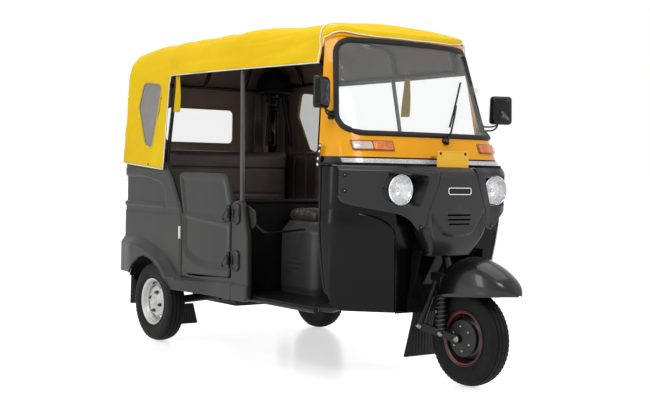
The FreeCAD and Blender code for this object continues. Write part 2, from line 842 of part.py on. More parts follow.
def make_fork():
    """Column, crown, single leg, link with its spring, axle and brake plate"""
    side = -size.link_side
    axle = vector(side, -size.front_axle_reach, size.tyre_radius)
    pivot = vector(side, size.link_pivot_y, size.link_pivot_z)
    foot = steer_place(size.column_foot)
    head = steer_place(size.column_length)
    crown_back = foot.y + size.leg_radius * 2
    crown = block((side - size.leg_radius, size.column_radius), (crown_back - size.crown_depth, crown_back),
                  (foot.z - size.crown_height / 2, foot.z + size.crown_height / 2))
    leg_head = vector(side, foot.y, foot.z)
    half_wall = size.link_wall / 2
    across = vector(size.link_wall, 0, 0)
    sideways = vector(half_wall, 0, 0)
    link_run = (axle - pivot).normalize()
    link_up = vector(0, -link_run.z, link_run.y) * size.link_boss_radius
    corners = [pivot - sideways + link_up, axle - sideways + link_up, axle - sideways - link_up, pivot - sideways - link_up]
    plate_face = -(size.hub_half_length + size.moving_gap)
    solids = [
        rod(foot, head, size.column_radius),
        crown,
        rod(leg_head, pivot, size.leg_radius),
        Part.makeCylinder(size.link_boss_radius, size.link_wall, pivot - sideways, across),
        Part.makeCylinder(size.link_boss_radius, size.link_wall, axle - sideways, across),
        prism(corners, across),
        rod(axle, vector(plate_face, axle.y, axle.z), size.axle_radius * 1.5),
        Part.makeCylinder(size.brake_plate_radius, size.brake_plate_wall,
                          vector(plate_face - size.brake_plate_wall, axle.y, axle.z), across),
        rod(axle, vector(size.hub_half_length, axle.y, axle.z), size.axle_radius),
    ]
    low, high = spring_ends()
    solids.append(rod(low, high, size.spring_radius))
    feature("front_fork", join(solids))


def guard_solid(inset, drop):
    """Round-edged disc about the wheel, kept inside the mudguard's side profile"""
    radius = size.guard_radius - inset
    half = size.guard_half_width - inset
    bend = size.guard_round
    centre = vector(0, size.guard_centre_y, size.guard_centre_z)
    slant = bend * (1 - math.sqrt(0.5))
    face = Part.Face(Part.Wire([
        Part.LineSegment(vector(-half, 0, 0), vector(-half, 0, radius - bend)).toShape(),
        Part.Arc(vector(-half, 0, radius - bend), vector(-half + slant, 0, radius - slant),
                 vector(-half + bend, 0, radius)).toShape(),
        Part.LineSegment(vector(-half + bend, 0, radius), vector(half - bend, 0, radius)).toShape(),
        Part.Arc(vector(half - bend, 0, radius), vector(half - slant, 0, radius - slant),
                 vector(half, 0, radius - bend)).toShape(),
        Part.LineSegment(vector(half, 0, radius - bend), vector(half, 0, 0)).toShape(),
        Part.LineSegment(vector(half, 0, 0), vector(-half, 0, 0)).toShape(),
    ]))
    face.translate(centre)
    disc = face.revolve(centre, vector(1, 0, 0), 360)
    front = size.guard_centre_y - size.guard_radius
    top = size.guard_centre_z + size.guard_radius + size.cut_overrun
    rise = (size.guard_slope_z - size.guard_rear_z) / (size.guard_rear_y - size.guard_slope_y)
    slope_top_y = size.guard_rear_y - inset - (top - size.guard_rear_z) / rise
    side = [(front, size.guard_tip_z - drop), (size.guard_skirt_front_y, size.guard_skirt_front_z - drop),
            (size.guard_skirt_rear_y, size.guard_skirt_rear_z - drop), (size.guard_rear_y - inset, size.guard_rear_z - drop),
            (size.guard_rear_y - inset, size.guard_rear_z), (slope_top_y, top), (front, top)]
    if not drop:
        side.remove((size.guard_rear_y - inset, size.guard_rear_z))
        side.insert(4, (size.guard_rear_y - inset, size.guard_rear_z + size.guard_wall))
    return disc.common(prism([vector(-half, y, z) for y, z in side], vector(half * 2, 0, 0)))


def make_front_mudguard():
    shell = guard_solid(0, 0).cut(guard_solid(size.guard_wall, size.cut_overrun))
    foot = steer_place(size.column_foot)
    gap = size.seat_gap
    crown_back = foot.y + size.leg_radius * 2 + gap
    low = foot.z - size.crown_height / 2 - gap
    crown = block((-size.link_side - size.leg_radius - gap, size.column_radius + gap),
                  (crown_back - size.crown_depth - gap * 2, crown_back), (low, low + size.crown_height + gap * 2))
    leg = rod(vector(-size.link_side, foot.y, foot.z), vector(-size.link_side, size.link_pivot_y, size.link_pivot_z),
              size.leg_radius + gap)
    column = rod(foot, steer_place(size.column_length), size.column_radius + gap)
    feature("front_mudguard", shell.cut(crown).cut(leg).cut(column))


def make_handlebar():
    """Bar set back from the column by a short stem, with two grips"""
    lean = math.radians(size.rake_angle)
    back = vector(0, math.cos(lean), -math.sin(lean))
    axis = steer_axis()
    top = steer_place(size.column_length)
    clamp_low = top + axis * size.seat_gap
    clamp_high = clamp_low + axis * size.bar_radius * 3
    middle = clamp_low + axis * size.bar_radius * 1.5 + back * size.bar_setback
    reach = size.bar_half_length
    end = reach - size.grip_length
    solids = [
        rod(clamp_low, clamp_high, size.column_radius),
        rod(clamp_low + axis * size.bar_radius * 1.5, middle, size.bar_radius * 1.2),
        rod(middle - vector(end, 0, 0), middle + vector(end, 0, 0), size.bar_radius),
        rod(middle - vector(reach, 0, 0), middle - vector(end, 0, 0), size.grip_radius),
        rod(middle + vector(end, 0, 0), middle + vector(reach, 0, 0), size.grip_radius),
    ]
    feature("handlebar", join(solids))


# Chassis and floor


def make_chassis():
    """Two rails, four cross members and the neck that carries the head tube"""
    pieces = []
    for side_name, side in SIDES:
        rail = document.addObject("Part::Box", "rail_" + side_name)
        bind(rail, Length="rail_width", Width="rail_rear - rail_front", Height="rail_depth")
        place(rail, "%d * rail_gauge / 2 - rail_width / 2" % side, "rail_front", "floor_height - rail_depth")
        pieces.append(rail)
    rows = (("front", "rail_front"), ("second", "cross_second_y"), ("third", "cross_third_y"),
            ("rear", "rail_rear - cross_width"))
    for name, y_text in rows:
        member = document.addObject("Part::Box", "cross_" + name)
        bind(member, Length="rail_gauge", Width="cross_width", Height="rail_depth")
        place(member, "-rail_gauge / 2", y_text, "floor_height - rail_depth")
        pieces.append(member)
    tow = document.addObject("Part::Box", "tow_plate")
    bind(tow, Length="tow_plate_width", Width="tow_plate_wall", Height="rail_depth * 2")
    place(tow, "-tow_plate_width / 2", "rail_rear - tow_plate_wall", "floor_height - rail_depth * 2")
    pieces.append(tow)
    neck = new_body("neck")
    head_y = "steer_foot_y + (head_tube_start + head_tube_length * %s) * sin(rake_angle * 1deg)"
    head_z = "steer_foot_z + (head_tube_start + head_tube_length * %s) * cos(rake_angle * 1deg)"
    low = "floor_height - rail_depth * 0.9"
    high = "floor_height - rail_depth * 0.1"
    corners = [("neck_foot_y", low), ("rail_front + rail_width / 2", low), ("rail_front + rail_width / 2", high),
               ("neck_foot_y", high), ("neck_foot_y", "floor_height + neck_thickness * 2"),
               (head_y % "0.9", head_z % "0.9"), (head_y % "0.1", head_z % "0.1"),
               ("neck_foot_y - neck_thickness * 0.9", "floor_height + neck_thickness")]
    pad(neck, "YZ_Plane", "-neck_half_width", corners, "neck_half_width * 2")
    pieces.append(neck)
    sleeve = document.addObject("Part::Cylinder", "head_tube")
    bind(sleeve, Radius="head_tube_radius", Height="head_tube_length")
    bore = document.addObject("Part::Cylinder", "head_bore")
    bind(bore, Radius="column_radius + shaft_gap", Height="head_tube_length + cut_overrun * 2")
    for item, start in ((sleeve, "head_tube_start"), (bore, "(head_tube_start - cut_overrun)")):
        item.Placement.Rotation = FreeCAD.Rotation(vector(-1, 0, 0), size.rake_angle)
        bind(item, Placement_at_Rotation_at_Angle="rake_angle * 1deg")
        place(item, "0", "steer_foot_y + %s * sin(rake_angle * 1deg)" % start,
              "steer_foot_z + %s * cos(rake_angle * 1deg)" % start)
    pieces.append(sleeve)
    tow_hole = document.addObject("Part::Cylinder", "tow_hole")
    bind(tow_hole, Radius="tow_hole_radius", Height="tow_plate_wall * 3")
    tow_hole.Placement.Rotation = FreeCAD.Rotation(vector(1, 0, 0), 90)
    place(tow_hole, "0", "rail_rear + tow_plate_wall", "floor_height - rail_depth * 1.5")
    welded = document.addObject("Part::MultiFuse", "chassis_weld")
    welded.Shapes = pieces
    holes = document.addObject("Part::MultiFuse", "chassis_holes")
    holes.Shapes = [bore, tow_hole]
    frame = document.addObject("Part::Cut", "chassis_frame")
    frame.Base = welded
    frame.Tool = holes
    frame.Label = "chassis_frame"


def floor_corners():
    """Half outline of the floor from the rear round to the wheel recess"""
    reach = "(shield_low_reach - (sheet_wall + seat_gap) * sqrt(2))"
    side = "(shield_half_width - sheet_wall - seat_gap)"
    crease = "(shield_crease_x - (sheet_wall + seat_gap) * 0.4142)"
    inner = "(recess_half_width + sheet_wall + seat_gap)"
    edge = "(side_half_width - sill_wall - seat_gap)"
    return [("arch_inner_x - seat_gap", "floor_rear"), ("arch_inner_x - seat_gap", "floor_side_rear"), (edge, "floor_side_rear"),
            (edge, "shield_rear + sheet_wall"),
            (side, "shield_rear + sheet_wall"), (crease, "-(%s - %s)" % (reach, crease)),
            (inner, "-(%s - %s)" % (reach, crease)), (inner, "rail_front")]


def make_floor():
    """Floor, front wall, seat riser and rear deck as one pan, with a step tube on each side"""
    pan = new_body("floor_pressing")
    half = floor_corners()
    corners = half + [("-(%s)" % x, y) for x, y in reversed(half)]
    pad(pan, "XY_Plane", "floor_height", corners, "sheet_wall")
    riser = [("floor_rear - sheet_wall", "floor_height"), ("floor_rear", "floor_height"),
             ("floor_rear", "deck_height"), ("deck_rear", "deck_height"),
             ("deck_rear", "deck_height + sheet_wall"), ("floor_rear - sheet_wall", "deck_height + sheet_wall")]
    pad(pan, "YZ_Plane", "-(arch_inner_x - seat_gap)", riser, "(arch_inner_x - seat_gap) * 2")
    pieces = [pan]
    for side_name, side in SIDES:
        step = document.addObject("Part::Cylinder", "step_tube_" + side_name)
        bind(step, Radius="step_tube_radius", Height="sill_rear - shield_rear - cut_overrun")
        step.Placement.Rotation = FreeCAD.Rotation(vector(-1, 0, 0), 90)
        place(step, "%d * step_tube_x" % side, "shield_rear + cut_overrun / 2", "floor_height - step_tube_radius + part_gap")
        pieces.append(step)
    wall = document.addObject("Part::Box", "firewall")
    bind(wall, Length="firewall_half_width * 2", Width="sheet_wall", Height="firewall_top - floor_height")
    place(wall, "-firewall_half_width", "rail_front", "floor_height")
    pieces.append(wall)
    floor = document.addObject("Part::MultiFuse", "floor_pan")
    floor.Shapes = pieces
    floor.Label = "floor_pan"


def make_sills():
    """Side sill with the pillar that carries the door hinges"""
    for name, side in SIDES:
        body = new_body("side_pillar_" + name)
        inner = "-side_half_width" if side < 0 else "side_half_width - sill_wall"
        sill = [("sill_rear", "sill_bottom"), ("sill_rear", "sill_top"), ("pillar_rear", "sill_top"),
                ("pillar_front", "sill_top"), ("sill_front", "sill_top"), ("sill_front", "sill_bottom")]
        pad(body, "YZ_Plane", inner, [sill[0], sill[1], sill[4], sill[5]], "sill_wall")
        pillar = share_outline(PILLAR_SHARES, "pillar_front", "pillar_rear", "sill_bottom", "pillar_top")
        last = pad(body, "YZ_Plane", inner, pillar, "sill_wall")
        round_edges(body, last, vector(1, 0, 0), "hinge_radius")
        axis_x = "%d * (side_half_width + hinge_stand)" % side
        for height in ("hinge_low_z", "hinge_high_z"):
            pad_disc(body, "XY_Plane", height + " - hinge_length / 2", (axis_x, "(door_front + pillar_rear) / 2"),
                     "hinge_pin_radius", "hinge_length")
            lug_x = "%d * (side_half_width - sill_wall / 2)" % side
            far_x = "%d * (side_half_width + hinge_stand + hinge_radius)" % side
            lug = [(lug_x, "pillar_rear - hinge_radius * 3"), (far_x, "pillar_rear - hinge_radius * 3"),
                   (far_x, "(door_front + pillar_rear) / 2 + hinge_radius"), (lug_x, "pillar_rear")]
            pad(body, "XY_Plane", height + " - hinge_length / 2 - hinge_radius", lug, "hinge_radius")


def make_doors():
    """Half-height door on two outside hinges at its front edge"""
    for name, side in SIDES:
        body = new_body("door_" + name)
        inner = "-side_half_width" if side < 0 else "side_half_width - door_wall"
        panel = pad(body, "YZ_Plane", inner,
                    share_outline(DOOR_SHARES, "door_front", "door_rear", "door_bottom", "door_top"), "door_wall")
        round_edges(body, panel, vector(1, 0, 0), "hinge_radius")
        axis_x = "%d * (side_half_width + hinge_stand)" % side
        axis_y = "(door_front + pillar_rear) / 2"
        for height in ("hinge_low_z", "hinge_high_z"):
            start = height + " - hinge_length / 2 + seat_gap"
            strap_in = "%d * (side_half_width - door_wall / 2)" % side
            strap_out = "%d * (side_half_width + hinge_stand)" % side
            strap = [(strap_in, "door_front + hinge_radius"), (strap_out, axis_y),
                     (strap_out, axis_y + " + hinge_radius"), (strap_in, "door_front + hinge_radius * 4")]
            pad(body, "XY_Plane", start, strap, "hinge_length")
            pad_disc(body, "XY_Plane", start, (axis_x, axis_y), "hinge_radius", "hinge_length")
            pocket_disc(body, "XY_Plane", start + " - hinge_radius", (axis_x, axis_y),
                        "hinge_pin_radius + shaft_gap", "hinge_length + hinge_radius * 2")


# Front cab


def shield_points(height, reach):
    """Half plan of one leg shield: side, slanted front, crease and wall of the wheel recess"""
    side = size.shield_half_width
    crease = size.shield_crease_x
    inner = size.recess_half_width
    crease_y = -(reach - crease)
    return [vector(side, size.shield_rear, height), vector(side, -(reach - side), height),
            vector(crease, crease_y, height), vector(inner, crease_y, height),
            vector(inner, size.rail_front, height)]


def offset_run(points, wall):
    """The same run moved to its left by a wall, with mitred corners"""
    lines = []
    for start, end in zip(points, points[1:]):
        along = (end - start).normalize()
        normal = vector(-along.y, along.x, 0) * wall
        lines.append((start + normal, end + normal))
    moved = [lines[0][0]]
    for (first, last), (start, end) in zip(lines, lines[1:]):
        one = last - first
        two = end - start
        cross = one.x * two.y - one.y * two.x
        gap = start - first
        share = (gap.x * two.y - gap.y * two.x) / cross
        moved.append(first + one * share)
    moved.append(lines[-1][1])
    return moved


def strip_wire(points, wall):
    back = offset_run(points, wall)
    return Part.makePolygon(points + back[::-1] + points[:1])


def lamp_hole(side, radius):
    start = vector(side * size.lamp_x, size.nose_front - size.cut_overrun, size.lamp_z)
    return Part.makeCylinder(radius, size.nose_front * -1, start, vector(0, 1, 0))


def make_leg_shields():
    levels = ((size.floor_height, size.shield_low_reach), (size.shield_mid_z, size.shield_mid_reach),
              (size.shield_top_z, size.shield_top_reach))
    wires = [strip_wire(shield_points(height, reach), -size.sheet_wall) for height, reach in levels]
    shell = Part.makeLoft(wires, True, True)
    swing = block((size.recess_half_width - size.sheet_wall, size.recess_half_width + size.sheet_wall * 2),
                  (size.nose_front + size.nose_side_depth, size.rail_front + size.cut_overrun),
                  (size.firewall_top - size.sheet_wall * 2, size.shield_top_z + size.cut_overrun))
    shell = shell.cut(swing).cut(lamp_hole(1, size.lamp_radius + size.lamp_hole_gap))
    feature("leg_shield_left", shell)
    feature("leg_shield_right", mirrored(shell))


def nose_points(height, half, setback):
    front = size.nose_front + setback
    back = size.nose_front + size.nose_side_depth
    return [vector(-half, back, height), vector(-half, front + size.fairing_wall, height), vector(0, front, height),
            vector(half, front + size.fairing_wall, height), vector(half, back, height)]


def make_nose():
    """Centre panel over the wheel with a rolled top, three vents and a closed underside"""
    foot = nose_points(size.nose_bottom, size.nose_foot_half_width, 0)
    levels = [foot, nose_points(size.nose_roll_z, size.nose_half_width, 0),
              nose_points(size.nose_top, size.nose_half_width, size.nose_top_setback)]
    shell = Part.makeLoft([strip_wire(points, size.sheet_wall) for points in levels], True, True)
    column = steer_place((size.nose_bottom - size.steer_foot_z) / steer_axis().z)
    slot = block((-size.column_slot_half, size.column_slot_half),
                 (column.y - size.column_slot_half, size.nose_front + size.nose_side_depth + size.cut_overrun),
                 (size.nose_bottom - size.cut_overrun, size.nose_bottom + size.cut_overrun))
    shell = shell.fuse(prism(foot, vector(0, 0, size.sheet_wall)).cut(slot))
    for row in (-1, 0, 1):
        middle = size.vent_z + row * size.vent_pitch
        shell = shell.cut(block((-size.vent_width / 2, size.vent_width / 2),
                                (size.nose_front - size.cut_overrun, size.nose_front + size.cut_overrun),
                                (middle - size.vent_height / 2, middle + size.vent_height / 2)))
    feature("nose_panel", shell.removeSplitter())


def make_lamp_fairings():
    """Thick housing round each headlamp on the slanted front"""
    base = size.shield_top_reach + size.part_gap * 2
    outer = base + size.fairing_wall * math.sqrt(2)
    side = size.shield_half_width + size.part_gap * 2
    inner = size.nose_foot_half_width + size.part_gap * 2
    crease = size.shield_crease_x
    outer_crease = crease + size.fairing_wall * math.tan(math.pi / 8)
    points = [vector(side, -(base - side), 0), vector(side, -(outer - side), 0),
              vector(outer_crease, -(outer - outer_crease), 0), vector(inner, -(outer - outer_crease), 0),
              vector(inner, -(base - crease), 0), vector(crease, -(base - crease), 0)]
    tall = prism([vector(p.x, p.y, size.fairing_inner_bottom) for p in points],
                 vector(0, 0, size.fairing_top - size.fairing_inner_bottom))
    reach = size.nose_front * 2
    below = prism([vector(side + size.cut_overrun, reach, size.fairing_bottom),
                   vector(inner, reach, size.fairing_inner_bottom),
                   vector(inner, reach, size.fairing_inner_bottom - size.fairing_wall),
                   vector(side + size.cut_overrun, reach, size.fairing_inner_bottom - size.fairing_wall)],
                  vector(0, -reach, 0))
    shell = tall.cut(below).cut(lamp_hole(1, size.lamp_radius + size.lamp_hole_gap))
    feature("lamp_fairing_left", shell)
    feature("lamp_fairing_right", mirrored(shell))


def make_headlamps():
    """Round lamp with a lens in front and a bucket behind"""
    for name, side in SIDES:
        body = new_body("headlamp_" + name)
        low = "lamp_radius * 0.55"
        corners = [("0", "-lamp_y"), ("lamp_radius * 0.6", "-lamp_y - seat_gap * 10"),
                   ("lamp_radius", "-lamp_y - lamp_depth * 0.15"),
                   ("lamp_radius", "-lamp_y - lamp_depth * 0.5"), (low, "-lamp_y - lamp_depth"),
                   ("0", "-lamp_y - lamp_depth")]
        turn(body, "XY_Plane", corners, "V_Axis")
        body.Placement.Rotation = FreeCAD.Rotation(vector(0, 0, 1), 180)
        place(body, "%d * lamp_x" % side, "0", "lamp_z")


def make_cowl_top():
    """Shelf over the leg shields and nose with the band that carries the screen frame"""
    reach = size.shield_top_reach
    side = size.shield_half_width
    crease = size.shield_crease_x
    inner = size.nose_half_width
    half = [(side, size.shield_rear), (side, -(reach - side)), (crease, -(reach - crease)),
            (size.recess_half_width, -(reach - crease)),
            (inner, size.nose_front + size.nose_top_setback + size.fairing_wall),
            (0, size.nose_front + size.nose_top_setback)]
    low = size.belt_height - size.cowl_wall
    points = [vector(x, y, low) for x, y in half] + [vector(-x, y, low) for x, y in reversed(half[:-1])]
    shelf = prism(points, vector(0, 0, size.cowl_wall))
    inner_plan = plan_edges(screen_plan(size.belt_height, -size.sheet_wall), low - size.cut_overrun, False)
    ends = [inner_plan[0].valueAt(inner_plan[0].FirstParameter), inner_plan[-1].valueAt(inner_plan[-1].LastParameter)]
    corners = [ends[1], vector(ends[1].x, 0, ends[1].z), vector(ends[0].x, 0, ends[0].z), ends[0]]
    closing = [Part.LineSegment(a, b).toShape() for a, b in zip(corners, corners[1:])]
    hole = Part.Face(Part.Wire(inner_plan + closing)).extrude(vector(0, 0, size.belt_band_height + size.cut_overrun * 2))
    band = screen_shell(size.belt_height, size.belt_height + size.belt_band_height, 0, size.sheet_wall)
    feature("cowl_top", shelf.cut(hole).fuse(band).removeSplitter())


def whole_screen(outward, inward):
    """Skin over the full height of the screen frame, so that every layer follows one surface"""
    return screen_shell(size.screen_foot_z + size.seat_gap, size.screen_head_z, outward, inward)


def make_belt_strip():
    strip = screen_shell(size.belt_height, size.belt_height + size.belt_band_height,
                         size.belt_strip_wall + size.seat_gap, -size.seat_gap)
    low = size.belt_height + size.part_gap
    window = block((-size.belt_strip_half_length, size.belt_strip_half_length), (size.nose_front, 0),
                   (low, low + size.belt_strip_height))
    feature("belt_strip", strip.common(window))


def make_screen_frame():
    feature("screen_frame", whole_screen(0, size.sheet_wall).cut(screen_opening(0)))
    ring = whole_screen(size.seal_proud, size.seal_depth - size.seal_proud)
    ring = ring.common(screen_opening(size.glass_gap)).cut(screen_opening(size.seal_width))
    feature("screen_seal", ring)
    glass = whole_screen(0, size.glass_wall)
    feature("windscreen_glass", glass.common(screen_opening(size.seal_width + size.glass_gap)))


def make_indicators():
    lamp = whole_screen(size.indicator_proud, -size.seat_gap)
    window = block((size.indicator_inner_x, size.indicator_outer_x), (size.nose_front, 0),
                   (size.indicator_z - size.indicator_height / 2, size.indicator_z + size.indicator_height / 2))
    shape = lamp.common(window)
    feature("indicator_left", shape)
    feature("indicator_right", mirrored(shape))


def surface_y(skin, x, height):
    """Foremost place of a skin at one spot"""
    line = Part.makeLine(vector(x, size.nose_front * 2, height), vector(x, 0, height))
    return min(vertex.Y for vertex in line.common(skin).Vertexes)


def make_wiper():
    """Boss on the frame below the glass, arm and blade leaning to one side"""
    skin = whole_screen(0, size.sheet_wall)
    boss_y = surface_y(skin, size.wiper_x, size.wiper_z) - size.seat_gap - size.wiper_boss_radius * 0.34
    boss = Part.makeCylinder(size.wiper_boss_radius, size.wiper_boss_length,
                             vector(size.wiper_x, boss_y, size.wiper_z), vector(0, -1, 0))
    stand = size.seal_proud + size.wiper_radius * 2
    points = [vector(size.wiper_x, boss_y - size.wiper_boss_length + size.wiper_radius, size.wiper_z)]
    for share in (0.5, 1.0):
        x = size.wiper_x + size.wiper_reach_x * share
        z = size.wiper_z + size.wiper_reach_z * share
        points.append(vector(x, surface_y(skin, x, z) - stand, z))
    feature("wiper", join([boss] + tube_run(points, size.wiper_radius)))


def make_mirrors():
    head = block((size.mirror_inner_x, size.mirror_outer_x), (size.mirror_y - size.mirror_wall / 2,
                 size.mirror_y + size.mirror_wall / 2), (size.mirror_bottom, size.mirror_top))
    head = head.makeFillet(size.mirror_round, [edge for edge in head.Edges if edge.BoundBox.YLength > size.mirror_wall / 2])
    share = (size.mirror_arm_foot_z - size.screen_foot_z) / (size.screen_head_z - size.screen_foot_z)
    plan = screen_plan(size.mirror_arm_foot_z, 0)
    along = (size.mirror_arm_foot_y - plan[0][1]) / (plan[1][1] - plan[0][1])
    foot_x = mix(plan[0][0], plan[1][0], along) + size.part_gap * 1.3
    foot = vector(foot_x + size.mirror_arm_radius * 1.2, size.mirror_arm_foot_y, size.mirror_arm_foot_z)
    flange = Part.makeCylinder(size.mirror_arm_radius * 2, size.mirror_arm_radius * 2,
                               vector(foot_x + size.mirror_arm_radius, foot.y, foot.z), vector(1, 0, 0))
    bend = vector(mix(size.mirror_inner_x, size.mirror_outer_x, 0.4), size.mirror_y,
                  mix(size.mirror_bottom, foot.z, 0.9))
    head_point = vector(bend.x, size.mirror_y, mix(size.mirror_bottom, size.mirror_top, 0.2))
    shape = join([head, flange] + tube_run([foot, bend, head_point], size.mirror_arm_radius))
    feature("mirror_left", shape)
    feature("mirror_right", mirrored(shape))


def make_front_plate():
    """Blank plate on a bracket from the cab front"""
    half = size.plate_width / 2
    rise = size.plate_height / 2
    low = size.screen_foot_z + size.part_gap
    high = size.plate_z + rise - size.part_gap
    skin = whole_screen(0, size.sheet_wall)
    back = min(surface_y(skin, x, z) for x in (0, rise / 2) for z in (low, high)) - size.seat_gap
    plate = block((-half, half), (size.plate_y - size.plate_wall, size.plate_y), (size.plate_z - rise, size.plate_z + rise))
    bracket = block((-rise / 2, rise / 2), (size.plate_y - size.seat_gap, back), (low, high))
    feature("number_plate", plate.fuse(bracket).removeSplitter())


def make_dashboard():
    """Shelf that follows the inside of the cab front"""
    top = size.belt_height + size.dash_height
    wall = size.sheet_wall + size.seat_gap
    points = screen_plan(top, -wall)
    edges = plan_edges(points, size.belt_height + size.seat_gap, False)
    left = vector(-points[0][0], points[0][1], size.belt_height + size.seat_gap)
    right = vector(points[0][0], points[0][1], size.belt_height + size.seat_gap)
    edges.append(Part.LineSegment(right, left).toShape())
    shelf = Part.Face(Part.Wire(edges)).extrude(vector(0, 0, size.dash_height - size.seat_gap))
    behind = block((-size.screen_foot_half, size.screen_foot_half), (size.dash_rear, 0), (0, size.screen_head_z))
    feature("dashboard", shelf.cut(behind))


# Rear tub


def make_tub():
    """Side panels with wheel arches and rounded rear corners, and the rear panel between them"""
    axle_y = "wheelbase - front_axle_reach"
    arch_y = axle_y + " + arch_setback"
    arch_radius = "tyre_radius + arch_gap"
    for name, side in SIDES:
        body = new_body("quarter_panel_" + name)
        flat = "tub_rear - canopy_corner_round"
        outer = "-tub_half_width" if side < 0 else "tub_half_width - sheet_wall"
        outline = share_outline(TUB_FRONT_SHARES, "tub_front", "tub_rear", "floor_height", "tub_top")
        outline += [(flat, "tub_top"), (flat, "tub_bottom"), (axle_y, "tub_bottom"), (axle_y, "floor_height")]
        pad(body, "YZ_Plane", outer, outline, "sheet_wall")
        inner = "(tub_half_width - sheet_wall)"
        corner = "(tub_half_width - canopy_corner_round)"
        back = [("%d * tub_half_width" % side, flat), ("%d * (tub_half_width - canopy_corner_round * 0.29)" % side,
                "tub_rear - canopy_corner_round * 0.29"), ("%d * %s" % (side, corner), "tub_rear"),
                ("%d * (tub_half_width - tub_return)" % side, "tub_rear"),
                ("%d * (tub_half_width - tub_return)" % side, "tub_rear - sheet_wall"),
                ("%d * %s" % (side, corner), "tub_rear - sheet_wall"),
                ("%d * (tub_half_width - canopy_corner_round * 0.31 - sheet_wall * 0.7)" % side,
                 "tub_rear - canopy_corner_round * 0.31 - sheet_wall * 0.7"),
                ("%d * %s" % (side, inner), flat)]
        pad(body, "XY_Plane", "tub_bottom", back, "tub_top - tub_bottom")
        flare_in = "-(tub_half_width + flare_proud)" if side < 0 else "tub_half_width - sheet_wall"
        flare = share_outline(FLARE_SHARES, "tub_front", "tub_rear", "floor_height", "tub_bottom + arch_radius_span")
        flare = [(along, up.replace("arch_radius_span", "tyre_radius")) for along, up in flare]
        pad(body, "YZ_Plane", flare_in, flare, "flare_proud + sheet_wall")
        housing_in = "-(tub_half_width - sheet_wall)" if side < 0 else "arch_inner_x"
        pad_disc(body, "YZ_Plane", housing_in, (arch_y, "tyre_radius"), arch_radius + " + arch_wall",
                 "tub_half_width - sheet_wall - arch_inner_x")
        reach = "-(tub_half_width + flare_proud + cut_overrun)" if side < 0 else "arch_inner_x - cut_overrun"
        depth = "tub_half_width + flare_proud + cut_overrun * 2 - arch_inner_x"
        pocket_disc(body, "YZ_Plane", reach, (arch_y, "tyre_radius"), arch_radius, depth)
        below = [("tub_front + sheet_wall", "floor_height"), ("tub_rear", "floor_height"), ("tub_rear", "-cut_overrun * 5"),
                 ("tub_front + sheet_wall", "-cut_overrun * 5")]
        pocket(body, "YZ_Plane", reach, below, depth)
    rear = document.addObject("Part::Box", "rear_panel")
    bind(rear, Length="(tub_half_width - tub_return - seat_gap) * 2", Width="sheet_wall", Height="tub_top - tub_bottom")
    place(rear, "-(tub_half_width - tub_return - seat_gap)", "tub_rear - sheet_wall", "tub_bottom")
    rear.Label = "rear_panel"


def make_tail_lamps():
    for name, side in SIDES:
        lamp = document.addObject("Part::Box", "tail_lamp_" + name)
        bind(lamp, Length="tail_lamp_width", Width="tail_lamp_wall", Height="tail_lamp_height")
        place(lamp, "%d * tail_lamp_x - tail_lamp_width / 2" % side, "tub_rear", "tail_lamp_z")
        lamp.Label = "tail_lamp_" + name


def make_mudflaps():
    for name, side in SIDES:
        flap = document.addObject("Part::Box", "rear_mudflap_" + name)
        bind(flap, Length="rear_flap_outer_x - rear_flap_inner_x", Width="flap_wall",
             Height="rear_flap_top - rear_flap_bottom")
        start = "rear_flap_inner_x" if side > 0 else "-rear_flap_outer_x"
        place(flap, start, "rear_flap_y", "rear_flap_bottom")
        flap.Label = "rear_mudflap_" + name
    flap = document.addObject("Part::Box", "front_mudflap")
    bind(flap, Length="front_flap_half_width * 2", Width="flap_wall", Height="front_flap_top - front_flap_bottom")
    place(flap, "-front_flap_half_width", "neck_foot_y - neck_thickness * 0.9 - seat_gap - flap_wall", "front_flap_bottom")
    flap.Label = "front_mudflap"


# Seats and partition


def make_seats():
    cushion = document.addObject("Part::Box", "bench_cushion")
    bind(cushion, Length="bench_half_width * 2", Width="bench_rear - bench_front", Height="bench_wall")
    place(cushion, "-bench_half_width", "bench_front", "deck_height + sheet_wall + seat_gap")
    cushion.Label = "bench_cushion"
    back = new_body("bench_back")
    low = "deck_height + sheet_wall + seat_gap"
    lean = "bench_back_wall * %r" % (BENCH_BACK_LEAN_SHARE * 4)
    corners = [("bench_rear + seat_gap", low), ("bench_rear + bench_back_wall", low),
               ("bench_rear + bench_back_wall + " + lean, "bench_back_top"), ("bench_rear + seat_gap + " + lean, "bench_back_top")]
    pad(back, "YZ_Plane", "-bench_half_width", corners, "bench_half_width * 2")
    box = new_body("driver_seat_box")
    floor = "floor_height + sheet_wall"
    outer = [("seat_box_front", floor), ("seat_box_rear", floor), ("seat_box_rear", "seat_box_top"),
             ("seat_box_front + seat_box_wall * 12", "seat_box_top"), ("seat_box_front", "seat_box_top - seat_box_wall * 8")]
    pad(box, "YZ_Plane", "-seat_box_half_width", outer, "seat_box_half_width * 2")
    inner = [("seat_box_front + seat_box_wall", floor + " - seat_box_wall"), ("seat_box_rear - seat_box_wall", floor + " - seat_box_wall"),
             ("seat_box_rear - seat_box_wall", "seat_box_top - seat_box_wall"),
             ("seat_box_front + seat_box_wall * 13", "seat_box_top - seat_box_wall"),
             ("seat_box_front + seat_box_wall", "seat_box_top - seat_box_wall * 9")]
    pocket(box, "YZ_Plane", "-seat_box_half_width + seat_box_wall", inner, "(seat_box_half_width - seat_box_wall) * 2")
    seat = document.addObject("Part::Box", "driver_cushion")
    bind(seat, Length="driver_cushion_half_width * 2", Width="seat_box_rear - seat_box_front - seat_box_wall * 12",
         Height="driver_cushion_wall")
    place(seat, "-driver_cushion_half_width", "seat_box_front + seat_box_wall * 12", "seat_box_top + seat_gap")
    seat.Label = "driver_cushion"


